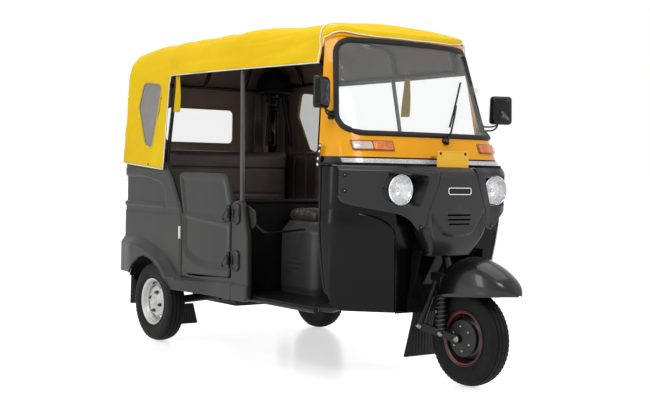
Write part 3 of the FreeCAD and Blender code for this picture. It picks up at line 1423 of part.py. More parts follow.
def make_partition():
    """Sheet behind the driver with a tube along its top edge"""
    sheet_piece = document.addObject("Part::Box", "partition_sheet")
    bind(sheet_piece, Length="partition_half_width * 2", Width="partition_wall",
         Height="partition_top - floor_height - sheet_wall")
    place(sheet_piece, "-partition_half_width", "partition_y - partition_wall", "floor_height + sheet_wall")
    tube = document.addObject("Part::Cylinder", "partition_tube")
    bind(tube, Radius="partition_tube_radius", Height="partition_half_width * 2")
    tube.Placement.Rotation = FreeCAD.Rotation(vector(0, 1, 0), 90)
    place(tube, "-partition_half_width", "partition_y - partition_wall / 2", "partition_top + partition_tube_radius * 0.8")
    joined = document.addObject("Part::Fuse", "partition")
    joined.Base = sheet_piece
    joined.Tool = tube
    joined.Label = "partition"


# Power unit and suspension


def make_power_unit():
    engine = document.addObject("Part::Box", "engine_block")
    bind(engine, Length="engine_half_width * 2", Width="engine_rear - floor_rear - seat_gap", Height="engine_top - engine_bottom")
    place(engine, "-engine_half_width", "floor_rear + seat_gap", "engine_bottom")
    engine.Label = "engine_block"
    axle_y = size.wheelbase - size.front_axle_reach
    for name, side in SIDES:
        pivot = vector(side * size.arm_pivot_x, size.arm_pivot_y, size.arm_pivot_z)
        hub = vector(side * size.arm_hub_x, axle_y, size.tyre_radius)
        outward = vector(side, 0, 0)
        stub_end = side * (size.track / 2 + size.hub_half_length)
        eye = size.arm_radius * 1.4
        solids = [
            Part.makeCylinder(eye, size.arm_pivot_x - size.rail_gauge / 2 + size.arm_radius - size.rail_width / 2,
                              vector(side * (size.rail_gauge / 2 + size.rail_width / 2 + size.seat_gap), pivot.y, pivot.z), outward),
            rod(pivot, hub, size.arm_radius),
            Part.makeCylinder(size.arm_hub_radius, size.arm_hub_length, hub, outward),
            rod(hub, vector(stub_end, hub.y, hub.z), size.axle_radius),
        ]
        foot = vector(side * size.shock_x, axle_y + size.shock_setback, size.tyre_radius)
        neck = block((min(side * size.shock_x, hub.x), max(side * size.shock_x, hub.x)),
                     (hub.y, foot.y), (foot.z, foot.z + size.arm_radius))
        solids.append(neck)
        solids.append(Part.makeCylinder(size.shock_radius, size.deck_height - foot.z - size.seat_gap, foot, vector(0, 0, 1)))
        feature("rear_arm_" + name, join(solids))


# Canopy and its frame


def section_at(y):
    """Canopy section between its neighbours"""
    rows = section_sizes()
    for first, second in zip(rows, rows[1:]):
        if y <= second["y"]:
            share = (y - first["y"]) / (second["y"] - first["y"])
            return {key: mix(first[key], second[key], share) for key in first}
    return rows[-1]


def make_roof_frame():
    """Side rails, bows across the roof, door posts and the rail round the top of the tub"""
    radius = size.frame_tube_radius
    inset = size.soft_wall + radius + size.moving_gap
    end_y = size.canopy_rear - size.canopy_corner_round - radius * 2
    stations = [size.canopy_front_hem_y + radius * 4, size.post_y, size.canopy_hem_rear_y + radius * 2,
                size.bench_rear, end_y]
    solids = []
    rail_points = []
    for y in stations:
        section = section_at(y)
        rail = vector(section["hem_half"] - inset, y, size.rail_z)
        shoulder = vector(section["shoulder_half"] - inset, y, section["shoulder_z"] - radius)
        crown = vector(section["crown_half"] - inset, y, section["crown_z"] - inset)
        rail_points.append(rail)
        if y == end_y:
            continue
        half = [rail, shoulder, crown]
        solids += tube_run(half + [vector(-point.x, point.y, point.z) for point in reversed(half)], radius)
    for side_name, side in SIDES:
        line = [vector(side * point.x, point.y, point.z) for point in rail_points]
        solids += tube_run(line, radius)
        solids += [Part.makeSphere(radius, line[0]), Part.makeSphere(radius, line[-1])]
        post_x = size.side_half_width - size.sill_wall - size.frame_tube_radius - size.seat_gap
        foot = vector(side * post_x, size.post_y, size.floor_height + size.sheet_wall)
        knee = vector(side * post_x, size.post_y, size.pillar_top)
        solids += tube_run([foot, knee, line[1]], radius)
        ring_x = side * (size.tub_half_width - size.sheet_wall - radius - size.part_gap)
        ring_z = size.tub_top - radius * 2
        front = vector(ring_x, size.canopy_side_front_y, ring_z)
        corner = vector(ring_x, end_y, ring_z)
        back_y = size.tub_rear - size.sheet_wall - radius - size.part_gap
        bend = vector(side * (size.tub_half_width - size.canopy_corner_round - radius), back_y, ring_z)
        solids += tube_run([front, corner, bend, vector(0, back_y, ring_z)], radius)
        solids.append(rod(corner, line[-1], radius))
        solids.append(rod(front, line[2], radius))
    feature("roof_frame", join(solids))


def make_canopy():
    skin = canopy_skin()
    wide = size.canopy_base_half + size.cut_overrun
    low = size.canopy_base_z - size.cut_overrun
    doorway = [(size.canopy_front_hem_y, size.canopy_hem_z), (size.canopy_hem_rear_y, size.canopy_hem_z),
               (size.canopy_side_front_y, size.canopy_side_hem_z), (size.canopy_rear, size.canopy_rear_hem_z),
               (size.canopy_rear + size.cut_overrun, size.canopy_rear_hem_z), (size.canopy_rear + size.cut_overrun, low),
               (size.nose_front, low), (size.nose_front, size.canopy_lip_z),
               (size.canopy_lip_front_y, size.canopy_lip_z)]
    skin = skin.cut(prism([vector(-wide, y, z) for y, z in doorway], vector(wide * 2, 0, 0)))
    skin = skin.cut(screen_shell(size.screen_foot_z, size.screen_head_z, size.part_gap, size.seal_width))
    windows = [side_window(side, 0) for name, side in SIDES] + [rear_window(0)]
    films = {"side_film_" + name: skin.common(side_window(side, size.glass_gap)) for name, side in SIDES}
    films["rear_film"] = skin.common(rear_window(size.glass_gap))
    for window in windows:
        skin = skin.cut(window)
    feature("canopy", skin)
    for name, shape in films.items():
        feature(name, shape)


def make_straps():
    """Rolled blind straps that hang from the side rails"""
    radius = size.frame_tube_radius
    for name, side, y in (("right", -1, size.right_strap_y), ("left", 1, size.left_strap_y)):
        rows = [size.post_y, size.canopy_hem_rear_y + radius * 2, size.bench_rear]
        inset = size.soft_wall + radius + size.moving_gap
        first, second = (rows[0], rows[1]) if y < rows[1] else (rows[1], rows[2])
        share = (y - first) / (second - first)
        x = mix(section_at(first)["hem_half"], section_at(second)["hem_half"], share) - inset
        top = size.rail_z - radius - size.seat_gap
        feature("strap_" + name, block((side * x - size.strap_wall / 2, side * x + size.strap_wall / 2),
                                       (y - size.strap_width / 2, y + size.strap_width / 2),
                                       (top - size.strap_length, top)))


def make_intake():
    """Domed air intake on a post behind the bench"""
    body = new_body("air_intake")
    foot = "deck_height + sheet_wall + seat_gap"
    corners = [("0", foot), ("intake_post_radius * 1.6", foot), ("intake_post_radius * 1.6", foot + " + intake_post_radius"),
               ("intake_post_radius", foot + " + intake_post_radius"), ("intake_post_radius", "intake_dome_z"),
               ("intake_dome_radius", "intake_dome_z"), ("intake_dome_radius", "intake_dome_z * 0.45 + intake_top_z * 0.55"),
               ("intake_dome_radius * 0.86", "intake_dome_z * 0.2 + intake_top_z * 0.8"),
               ("intake_dome_radius * 0.5", "intake_dome_z * 0.04 + intake_top_z * 0.96"), ("0", "intake_top_z")]
    turn(body, "XZ_Plane", corners, "V_Axis")
    place(body, "intake_x", "intake_y", "0")


def sub_parts():
    """Top-level solids: bodies and features that no other feature uses"""
    made = []
    for item in document.Objects:
        kind = item.TypeId
        inside = any(user.TypeId == "PartDesign::Body" or user.TypeId.startswith("Part::") for user in item.InList)
        if kind == "PartDesign::Body" or kind.startswith("Part::"):
            if not inside:
                made.append(item)
    return made


def check(made):
    for item in document.Objects:
        if "Invalid" in item.State or "Error" in item.State:
            raise ValueError("failed feature: " + item.Label)
    for item in made:
        if item.Shape.isNull() or not item.Shape.isValid():
            raise ValueError("bad shape: " + item.Label)


def write(made):
    os.makedirs("parts", exist_ok=True)
    for item in made:
        item.Shape.exportStep("parts/" + item.Label + ".step")


def build():
    fill_sheet()
    make_wheels()
    make_fork()
    make_front_mudguard()
    make_handlebar()
    make_chassis()
    make_floor()
    make_sills()
    make_doors()
    make_leg_shields()
    make_nose()
    make_lamp_fairings()
    make_headlamps()
    make_cowl_top()
    make_belt_strip()
    make_screen_frame()
    make_indicators()
    make_wiper()
    make_mirrors()
    make_front_plate()
    make_dashboard()
    make_tub()
    make_tail_lamps()
    make_mudflaps()
    make_seats()
    make_partition()
    make_power_unit()
    make_roof_frame()
    make_canopy()
    make_straps()
    make_intake()
    document.recompute()
    made = sub_parts()
    check(made)
    write(made)
    for item in made:
        box = item.Shape.optimalBoundingBox(False, False)
        print("%-22s solids %d volume %.0f  X %.0f %.0f  Y %.0f %.0f  Z %.0f %.0f" % (
            item.Label, len(item.Shape.Solids), item.Shape.Volume, box.XMin, box.XMax, box.YMin, box.YMax,
            box.ZMin, box.ZMax))


build()
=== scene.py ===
import json
import math
import random

import bmesh
import bpy
from mathutils import Matrix, Vector, noise

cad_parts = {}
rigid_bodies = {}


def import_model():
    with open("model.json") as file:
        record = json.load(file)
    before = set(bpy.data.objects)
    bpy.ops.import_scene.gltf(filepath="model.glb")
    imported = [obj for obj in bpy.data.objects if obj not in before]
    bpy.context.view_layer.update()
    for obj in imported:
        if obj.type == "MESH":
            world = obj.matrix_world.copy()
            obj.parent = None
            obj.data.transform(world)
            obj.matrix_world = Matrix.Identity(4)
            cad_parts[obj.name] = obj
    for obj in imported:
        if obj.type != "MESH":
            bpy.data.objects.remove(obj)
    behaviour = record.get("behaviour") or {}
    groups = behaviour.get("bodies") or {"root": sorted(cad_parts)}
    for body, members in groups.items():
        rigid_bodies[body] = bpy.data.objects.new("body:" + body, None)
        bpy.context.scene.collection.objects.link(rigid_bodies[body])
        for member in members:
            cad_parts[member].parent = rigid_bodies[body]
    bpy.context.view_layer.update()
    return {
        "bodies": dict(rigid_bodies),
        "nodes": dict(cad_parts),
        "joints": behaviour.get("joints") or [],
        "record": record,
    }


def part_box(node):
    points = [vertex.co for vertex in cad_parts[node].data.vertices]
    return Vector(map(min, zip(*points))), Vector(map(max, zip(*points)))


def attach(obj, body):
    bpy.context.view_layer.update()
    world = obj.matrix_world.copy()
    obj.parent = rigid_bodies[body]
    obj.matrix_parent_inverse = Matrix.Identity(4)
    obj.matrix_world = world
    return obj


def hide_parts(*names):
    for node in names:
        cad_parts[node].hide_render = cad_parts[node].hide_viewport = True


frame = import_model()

nodes = frame["nodes"]
SIDES = (("right", -1), ("left", 1))


def srgb(r, g, b):
    """Linear colour from screen values"""
    out = []
    for c in (r, g, b):
        c /= 255.0
        out.append(c / 12.92 if c <= 0.04045 else ((c + 0.055) / 1.055) ** 2.4)
    return (*out, 1.0)


# Camera at the photograph's place

CAMERA_PLACE = (-4.1115, -5.3938, 1.0892)
CAMERA_TURN = (36.7211, -1.7246, 1.1596)   # yaw, pitch and roll in degrees, solved from the photograph
FOCAL_PIXELS, WIDTH_PIXELS, SENSOR_WIDTH = 1162.92, 650, 36


def make_camera():
    yaw, pitch, roll = (math.radians(a) for a in CAMERA_TURN)
    ahead = Vector((math.sin(yaw) * math.cos(pitch), math.cos(yaw) * math.cos(pitch), math.sin(pitch)))
    right = Vector((math.cos(yaw), -math.sin(yaw), 0))
    up = right.cross(ahead)
    right, up = right * math.cos(roll) + up * math.sin(roll), up * math.cos(roll) - right * math.sin(roll)
    data = bpy.data.cameras.new("camera")
    data.sensor_fit = "HORIZONTAL"
    data.sensor_width = SENSOR_WIDTH
    data.lens = FOCAL_PIXELS / WIDTH_PIXELS * SENSOR_WIDTH
    data.clip_end = 200
    camera = bpy.data.objects.new("camera", data)
    bpy.context.collection.objects.link(camera)
    place = Matrix((right, up, -ahead)).transposed().to_4x4()
    place.translation = Vector(CAMERA_PLACE)
    camera.matrix_world = place
    bpy.context.scene.camera = camera


# Materials

def new_material(name):
    material = bpy.data.materials.new(name)
    material.use_nodes = True
    tree = material.node_tree
    shader = next(n for n in tree.nodes if n.type == "BSDF_PRINCIPLED")
    return material, tree, shader


def add_node(tree, kind, **inputs):
    node = tree.nodes.new(kind)
    for key, value in inputs.items():
        node.inputs[key].default_value = value
    return node


def link(tree, a, out, b, into):
    tree.links.new(a.outputs[out], b.inputs[into])


def object_noise(tree, scale, detail=4.0, rough=0.55, stretch=(1, 1, 1)):
    coords = tree.nodes.new("ShaderNodeTexCoord")
    mapping = add_node(tree, "ShaderNodeMapping", Scale=stretch)
    texture = add_node(tree, "ShaderNodeTexNoise", Scale=scale, Detail=detail, Roughness=rough)
    link(tree, coords, "Object", mapping, "Vector")
    link(tree, mapping, "Vector", texture, "Vector")
    return texture


def ramp(tree, source, low, high, first, last, out="Fac"):
    node = tree.nodes.new("ShaderNodeValToRGB")
    for stop, place, colour in zip(node.color_ramp.elements, (first, last), (low, high)):
        stop.position = place
        stop.color = colour
    link(tree, source, out, node, "Fac")
    return node


def spread(tree, source, low, high, out="Fac"):
    node = tree.nodes.new("ShaderNodeMapRange")
    for key, value in (("From Min", 0.3), ("From Max", 0.7), ("To Min", low), ("To Max", high)):
        node.inputs[key].default_value = value
    link(tree, source, out, node, "Value")
    return node


def bump(tree, shader, source, strength, distance, out="Fac", under=None):
    node = add_node(tree, "ShaderNodeBump", Strength=strength, Distance=distance)
    link(tree, source, out, node, "Height")
    if under:
        link(tree, under, "Normal", node, "Normal")
    link(tree, node, "Normal", shader, "Normal")
    return node


def finish_material(name, dark, light, rough=(0.3, 0.4), metal=0.0, coat=0.0, coat_rough=0.05,
        noise=6.0, grain=0.0, grain_scale=400.0, wave=0.0, sheen=0.0, specular=0.5, stretch=(1, 1,
        1)):
    """Surface with drifting colour and roughness, an optional grain and an optional slight waviness"""
    material, tree, shader = new_material(name)
    for key, value in (("Metallic", metal), ("Coat Weight", coat), ("Coat Roughness", coat_rough),
                       ("Specular IOR Level", specular), ("Sheen Weight", sheen)):
        shader.inputs[key].default_value = value
    drift = object_noise(tree, noise, stretch=stretch)
    colour = ramp(tree, drift, dark, light, 0.35, 0.65)
    link(tree, colour, "Color", shader, "Base Color")
    fine = object_noise(tree, noise * 7, 6.0)
    link(tree, spread(tree, fine, rough[0], rough[1]), "Result", shader, "Roughness")
    last = None
    if wave:
        last = bump(tree, shader, object_noise(tree, 5.0, 2.0), 0.3, wave)
    if grain:
        bump(tree, shader, object_noise(tree, grain_scale, 2.0), grain, 0.0006, under=last)
    return material


def cloth_material(name, dark, light, weave=900.0, rough=(0.6, 0.8), depth=0.25, wrinkle=0.004):
    """Coated cloth: fine square weave, soft wrinkles and slight soiling"""
    material, tree, shader = new_material(name)
    shader.inputs["Sheen Weight"].default_value = 0.02
    shader.inputs["Specular IOR Level"].default_value = 0.22
    drift = object_noise(tree, 3.0, 5.0)
    colour = ramp(tree, drift, dark, light, 0.3, 0.7)
    link(tree, colour, "Color", shader, "Base Color")
    link(tree, spread(tree, object_noise(tree, 30.0), rough[0], rough[1]), "Result", shader, "Roughness")
    folds = bump(tree, shader, object_noise(tree, 4.0, 3.0, stretch=(1, 2.2, 1)), 0.5, wrinkle)
    coords = tree.nodes.new("ShaderNodeTexCoord")
    waves = []
    for direction in ("X", "Y", "Z"):
        wave = tree.nodes.new("ShaderNodeTexWave")
        wave.bands_direction = direction
        wave.inputs["Scale"].default_value = weave / 20
        link(tree, coords, "Object", wave, "Vector")
        waves.append(wave)
    last, out = waves[0], "Fac"
    for wave in waves[1:]:
        total = tree.nodes.new("ShaderNodeMath")
        total.operation = "ADD"
        link(tree, last, out, total, 0)
        link(tree, wave, "Fac", total, 1)
        last, out = total, "Value"
    bump(tree, shader, last, depth, 0.0004, out="Value", under=folds)
    return material


def glass_material(name, tint, rough=0.02, alpha=0.2):
    """Thin clear sheet: mostly see-through, with gloss on top and faint dust"""
    material, tree, shader = new_material(name)
    shader.inputs["Alpha"].default_value = alpha
    shader.inputs["IOR"].default_value = 1.5
    shader.inputs["Specular IOR Level"].default_value = 0.6
    dust = object_noise(tree, 18.0, 6.0)
    link(tree, ramp(tree, dust, tint, tuple(min(1.0, c * 1.12) for c in tint[:3]) + (1.0,), 0.4, 0.7), "Color",
         shader, "Base Color")
    link(tree, spread(tree, dust, rough, rough + 0.04), "Result", shader, "Roughness")
    return material


def pattern_strip():
    """Silver-white tape with a fine diamond pattern"""
    material, tree, shader = new_material("silver_pattern_strip")
    shader.inputs["Coat Weight"].default_value = 0.4
    drift = object_noise(tree, 5.0, 3.0)
    link(tree, spread(tree, drift, 0.2, 0.34), "Result", shader, "Roughness")
    coords = tree.nodes.new("ShaderNodeTexCoord")
    cells = tree.nodes.new("ShaderNodeTexVoronoi")
    cells.inputs["Scale"].default_value = 150.0
    link(tree, coords, "Object", cells, "Vector")
    link(tree, ramp(tree, cells, srgb(236, 236, 238), srgb(192, 193, 198), 0.15, 0.6, out="Distance"), "Color",
         shader, "Base Color")
    bump(tree, shader, cells, 0.3, 0.0004, out="Distance")
    return material


M = {}
# Key: name, dark and light screen colour, roughness, further settings
FINISHES = {
    "black": ("black_gloss_paint", (8, 8, 9), (12, 12, 13), (0.20, 0.26),
              dict(coat=0.10, coat_rough=0.03, noise=1.5, specular=0.10)),
    "guard": ("guard_gloss_paint", (11, 11, 12), (16, 16, 17), (0.20, 0.25),
              dict(coat=0.28, coat_rough=0.05, noise=1.5, specular=0.3)),
    "charcoal": ("charcoal_satin_paint", (52, 53, 52), (60, 60, 59), (0.32, 0.38),
                 dict(coat=0.08, coat_rough=0.12, noise=1.8, specular=0.16)),
    "orange": ("orange_gloss_paint", (240, 164, 0), (247, 172, 2), (0.28, 0.34),
               dict(coat=0.22, coat_rough=0.04, noise=2.0, specular=0.15)),
    "plastic": ("black_plastic", (14, 14, 15), (22, 22, 23), (0.42, 0.55),
                dict(grain=0.2, grain_scale=700, noise=3.0, specular=0.22)),
    "gloss_plastic": ("gloss_black_plastic", (9, 9, 10), (14, 14, 15), (0.2, 0.26),
                      dict(coat=0.15, noise=3.0, specular=0.18)),
    "grey_plastic": ("grey_moulded_plastic", (56, 56, 57), (68, 68, 68), (0.45, 0.6),
                     dict(grain=0.3, grain_scale=600, noise=3.0)),
    "frame": ("frame_paint", (12, 12, 13), (22, 21, 20), (0.35, 0.5),
              dict(coat=0.06, coat_rough=0.2, specular=0.2)),
    "pillar": ("pillar_paint", (62, 61, 59), (74, 72, 70), (0.35, 0.45), dict(coat=0.1, coat_rough=0.2)),
    "vinyl": ("brown_vinyl", (60, 47, 44), (74, 59, 55), (0.38, 0.5),
              dict(grain=0.5, grain_scale=520, sheen=0.05)),
    "vinyl_piping": ("brown_vinyl_piping", (38, 30, 28), (50, 40, 37), (0.35, 0.45),
                     dict(grain=0.3, grain_scale=520)),
    "rubber": ("seal_rubber", (22, 22, 23), (32, 32, 33), (0.5, 0.62),
               dict(grain=0.2, noise=3.0, specular=0.25)),
    "tyre": ("tyre_rubber", (15, 15, 15), (22, 22, 21), (0.55, 0.7),
             dict(grain=0.3, grain_scale=300, specular=0.15)),
    "rim_black": ("black_rim_paint", (16, 15, 15), (28, 26, 25), (0.3, 0.45), dict(coat=0.3)),
    "rim_silver": ("silver_rim_paint", (186, 186, 184), (206, 206, 204), (0.32, 0.45), dict(metal=0.45)),
    "steel": ("worn_steel", (120, 120, 120), (165, 164, 162), (0.30, 0.45), dict(metal=0.9)),
    "cast": ("cast_metal", (26, 26, 27), (42, 41, 40), (0.5, 0.7), dict(metal=0.3, grain=0.5, grain_scale=250)),
    "clear_lens": ("clear_ribbed_lens", (186, 172, 158), (212, 200, 186), (0.08, 0.14),
                   dict(coat=0.6, coat_rough=0.02, noise=14.0)),
    "amber": ("amber_lens", (206, 96, 10), (240, 142, 30), (0.1, 0.16),
              dict(coat=0.5, coat_rough=0.02, noise=16.0)),
    "amber_dark": ("amber_lamp_base", (132, 52, 14), (158, 66, 18), (0.2, 0.3),
                   dict(coat=0.4, coat_rough=0.05)),
    "red": ("red_lens", (130, 12, 12), (160, 18, 18), (0.12, 0.2), dict(coat=0.6, coat_rough=0.02)),
    "plate": ("plate_yellow", (238, 180, 4), (244, 188, 8), (0.35, 0.45), dict(coat=0.15, noise=3.0)),
    "satin": ("black_satin_moulding", (34, 34, 35), (42, 42, 43), (0.34, 0.42),
              dict(coat=0.1, coat_rough=0.12, grain=0.04, grain_scale=900, noise=2.0, specular=0.25)),
    # Near-black matte finish for the hood behind the nose, the arch liners and the vent backing: painted shade,
    # darker than the black paint
    "dark": ("painted_shade_hollow", (4, 4, 4), (9, 9, 9), (0.7, 0.9), dict(specular=0.1)),
    "piping": ("white_piping", (226, 226, 218), (242, 242, 236), (0.4, 0.55), dict(grain=0.2, grain_scale=600)),
    "chrome": ("chrome", (206, 208, 210), (224, 226, 228), (0.04, 0.10), dict(metal=1.0)),
    # Lamp reflector: near-white and only partly metallic, so the bowl stays bright whatever it faces: painted
    # reflection
    "reflector": ("reflector_painted_reflection", (232, 234, 238), (248, 249, 251), (0.24, 0.32), dict(metal=0.35)),
    "reflex": ("reflex_white", (222, 222, 220), (240, 240, 238), (0.15, 0.3),
               dict(coat=0.5, grain=0.4, grain_scale=500)),
    "red_paint": ("red_rim_line", (120, 26, 18), (150, 36, 26), (0.3, 0.45), {}),
    "dark_steel": ("dark_steel", (50, 50, 51), (84, 83, 82), (0.3, 0.5), dict(metal=0.9)),
    "mirror": ("mirror_glass", (205, 208, 210), (214, 217, 219), (0.02, 0.04), dict(metal=1.0)),
}
# Key: name, dark and light screen colour, further settings
CLOTHS = {
    "canopy": ("canopy_cloth", (234, 192, 0), (240, 203, 4), {}),
    "lining": ("canopy_lining", (132, 112, 100), (150, 128, 114), {}),
    "webbing": ("webbing", (214, 176, 4), (232, 194, 10), dict(weave=1400, depth=0.6)),
    "welt": ("window_welt", (206, 178, 60), (224, 196, 80), {}),
}
# Key: name, tint, roughness, alpha
GLASSES = {
    "film": ("window_film", (0.90, 0.92, 0.92, 1), 0.10, 0.16),
    "side_film": ("side_window_film", (0.42, 0.42, 0.40, 1), 0.16, 0.55),
    "glass": ("windscreen_glass", (0.58, 0.64, 0.63, 1), 0.02, 0.16),
    # Near-white veil on the lamp lens: painted reflection that brightens the lamp
    "lens": ("lamp_lens_painted_reflection", (0.97, 0.98, 0.99, 1), 0.03, 0.16),
}


def make_materials():
    for key, (name, dark, light, rough, more) in FINISHES.items():
        M[key] = finish_material(name, srgb(*dark), srgb(*light), rough, **more)
    for key, (name, dark, light, more) in CLOTHS.items():
        M[key] = cloth_material(name, srgb(*dark), srgb(*light), **more)
    for key, row in GLASSES.items():
        M[key] = glass_material(*row)
    M["white"] = pattern_strip()


NODE_MATERIALS = {
    "orange": ["screen_frame"],
    "black": ["leg_shield_left", "leg_shield_right", "nose_panel", "front_mudguard", "cowl_top"],
    "charcoal": ["door_right", "door_left", "quarter_panel_right", "quarter_panel_left", "rear_panel",
                 "side_pillar_right", "side_pillar_left"],
    "plastic": ["lamp_fairing_left", "lamp_fairing_right", "dashboard", "driver_seat_box", "air_intake",
                "handlebar", "wiper"],
    "gloss_plastic": ["mirror_left", "mirror_right"],
    "frame": ["chassis_frame", "floor_pan", "partition", "roof_frame", "rear_arm_right", "rear_arm_left",
              "front_fork"],
    "white": ["belt_strip"],
    "canopy": ["canopy"],
    "webbing": ["strap_right", "strap_left"],
    "vinyl": ["bench_cushion", "bench_back", "driver_cushion"],
    "film": ["side_film_right", "side_film_left", "rear_film"],
    "glass": ["windscreen_glass"],
    "rubber": ["screen_seal", "front_mudflap", "rear_mudflap_right", "rear_mudflap_left"],
    "tyre": ["front_wheel_tyre", "rear_wheel_right_tyre", "rear_wheel_left_tyre"],
    "rim_black": ["front_wheel_rim"],
    "rim_silver": ["rear_wheel_right_rim", "rear_wheel_left_rim"],
    "cast": ["engine_block"],
    "lens": ["headlamp_right", "headlamp_left"],
    "amber": ["indicator_left", "indicator_right"],
    "red": ["tail_lamp_right", "tail_lamp_left"],
    "plate": ["number_plate"],
}


def dress_nodes():
    for key, names in NODE_MATERIALS.items():
        for name in names:
            if name in nodes:
                mesh = nodes[name].data
                mesh.materials.clear()
                mesh.materials.append(M[key])


# Studio

FLOOR_HALF, FLOOR_GLOW, WORLD_LIGHT = 60, 0.60, 0.46
# Name: place, target, width and height, power
LAMPS = {
    "key": ((-4.5, -3.0, 5.0), (0, 0, 0.9), (1.8, 1.6), 100),
    "front": ((1.5, -6.5, 3.2), (0, -0.6, 0.9), (1.4, 2.2), 85),
    "side": ((-6.5, 2.0, 2.5), (-0.6, 0.4, 0.8), (0.9, 4.0), 65),
    "top": ((0, 0.5, 5.5), (0, 0.3, 1.5), (5.0, 5.0), 110),
}


def seen_rays(tree):
    """1 for camera, transmission and glossy rays, so that glass and metal show the white background too"""
    path = tree.nodes.new("ShaderNodeLightPath")
    last, out = path, "Is Camera Ray"
    for ray in ("Is Transmission Ray", "Is Glossy Ray"):
        either = tree.nodes.new("ShaderNodeMath")
        either.operation = "MAXIMUM"
        link(tree, last, out, either, 0)
        link(tree, path, ray, either, 1)
        last, out = either, "Value"
    return last


def mix_by_rays(tree, plain, seen):
    mix = tree.nodes.new("ShaderNodeMixShader")
    link(tree, seen_rays(tree), "Value", mix, 0)
    tree.links.new(plain.outputs[0], mix.inputs[1])
    tree.links.new(seen.outputs[0], mix.inputs[2])
    return mix


def make_studio():
    floor_mesh = bpy.data.meshes.new("floor")
    half = FLOOR_HALF
    corners = [(-half, -half, 0), (half, -half, 0), (half, half, 0), (-half, half, 0)]
    floor_mesh.from_pydata(corners, [], [(0, 1, 2, 3)])
    floor = bpy.data.objects.new("floor", floor_mesh)
    bpy.context.collection.objects.link(floor)
    material, tree, shader = new_material("floor_paint")
    shader.inputs["Base Color"].default_value = (0.86, 0.86, 0.86, 1)
    shader.inputs["Roughness"].default_value = 0.22
    shader.inputs["Specular IOR Level"].default_value = 0.25
    glow = add_node(tree, "ShaderNodeEmission", Strength=FLOOR_GLOW)
    blank = add_node(tree, "ShaderNodeEmission", Strength=0.0)
    both = tree.nodes.new("ShaderNodeAddShader")
    tree.links.new(shader.outputs[0], both.inputs[0])
    tree.links.new(mix_by_rays(tree, blank, glow).outputs[0], both.inputs[1])
    surface = next(n for n in tree.nodes if n.type == "OUTPUT_MATERIAL")
    tree.links.new(both.outputs[0], surface.inputs["Surface"])
    floor_mesh.materials.append(material)
    world = bpy.data.worlds.new("studio")
    bpy.context.scene.world = world
    world.use_nodes = True
    tree = world.node_tree
    tree.nodes.clear()
    out = tree.nodes.new("ShaderNodeOutputWorld")
    seen = add_node(tree, "ShaderNodeBackground", Color=(1, 1, 1, 1), Strength=1.0)
    lit = add_node(tree, "ShaderNodeBackground", Color=(1, 1, 1, 1), Strength=WORLD_LIGHT)
    tree.links.new(mix_by_rays(tree, lit, seen).outputs[0], out.inputs[0])
    for name, (place, target, size, power) in LAMPS.items():
        data = bpy.data.lights.new(name, "AREA")
        data.shape = "RECTANGLE"
        data.size, data.size_y = size
        data.energy = power
        light = bpy.data.objects.new(name, data)
        light.location = place
        light.rotation_euler = (Vector(target) - Vector(place)).to_track_quat("-Z", "Y").to_euler()
        bpy.context.collection.objects.link(light)
    bpy.context.scene.view_settings.view_transform = "Standard"




# Mesh helpers

MADE = set()


def mesh_piece(name, verts, faces, material, body="cab", smooth=True):
    mesh = bpy.data.meshes.new(name)
    mesh.from_pydata([tuple(v) for v in verts], [], faces)
    mesh.validate()
    mesh.update()
    piece = bpy.data.objects.new(name, mesh)
    bpy.context.collection.objects.link(piece)
    MADE.add(piece.name)
    if material:
        mesh.materials.append(material)
    if smooth:
        mesh.polygons.foreach_set("use_smooth", [True] * len(mesh.polygons))
    if body:
        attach(piece, body)
    return piece


def bake(piece):
    """Applies the modifiers to the mesh"""
    bpy.context.view_layer.update()
    graph = bpy.context.evaluated_depsgraph_get()
    mesh = bpy.data.meshes.new_from_object(piece.evaluated_get(graph))
    old = piece.data
    piece.modifiers.clear()
    piece.data = mesh
    if isinstance(old, bpy.types.Mesh):
        bpy.data.meshes.remove(old)
    return piece


def modify(piece, kind, **settings):
    modifier = piece.modifiers.new(kind.lower(), kind)
    for key, value in settings.items():
        setattr(modifier, key, value)
    return modifier


def grid_faces(rows, columns, closed=False):
    faces = []
    for i in range(rows - 1):
        for j in range(columns if closed else columns - 1):
            k = (j + 1) % columns
            faces.append((i * columns + j, i * columns + k, (i + 1) * columns + k, (i + 1) * columns + j))
    return faces


def sheet(name, rows, material, thickness, offset=0, body="cab"):
    """Skin through rows of points, given a thickness"""
    verts = [p for row in rows for p in row]
    piece = mesh_piece(name, verts, grid_faces(len(rows), len(rows[0])), material, body)
    modify(piece, "SOLIDIFY", thickness=thickness, offset=offset)
    return bake(piece)


def dome_faces(rings, count, tip):
    """Faces between closed rings of points, with a fan from the last ring to the tip"""
    last = (rings - 1) * count
    return grid_faces(rings, count, closed=True) + [(last + k, last + (k + 1) % count, tip)
            for k in range(count)]


def wheel_faces(segments, count):
    """Faces of a profile of count points turned once round"""
    faces = []
    for k in range(segments):
        n = (k + 1) % segments
        faces += [(k * count + m, k * count + m + 1, n * count + m + 1, n * count + m)
                  for m in range(count - 1)]
    return faces


def flip_out(piece):
    """Turns all the faces outwards"""
    work = bmesh.new()
    work.from_mesh(piece.data)
    bmesh.ops.recalc_face_normals(work, faces=work.faces)
    work.to_mesh(piece.data)
    work.free()


def on_side(side, x):
    """Place on a side of the body, x from the middle, for a pair and a depth below the face"""
    return lambda p, depth: Vector((side * (x - depth), p[0], p[1]))


def on_front(y):
    """The same on a face towards the front"""
    return lambda p, depth: Vector((p[0], y + depth, p[1]))


def on_rear(y, side=1):
    """The same on a face towards the rear"""
    return lambda p, depth: Vector((side * p[0], y - depth, p[1]))


def flat(p, d):
    """No relief"""
    return 0.0


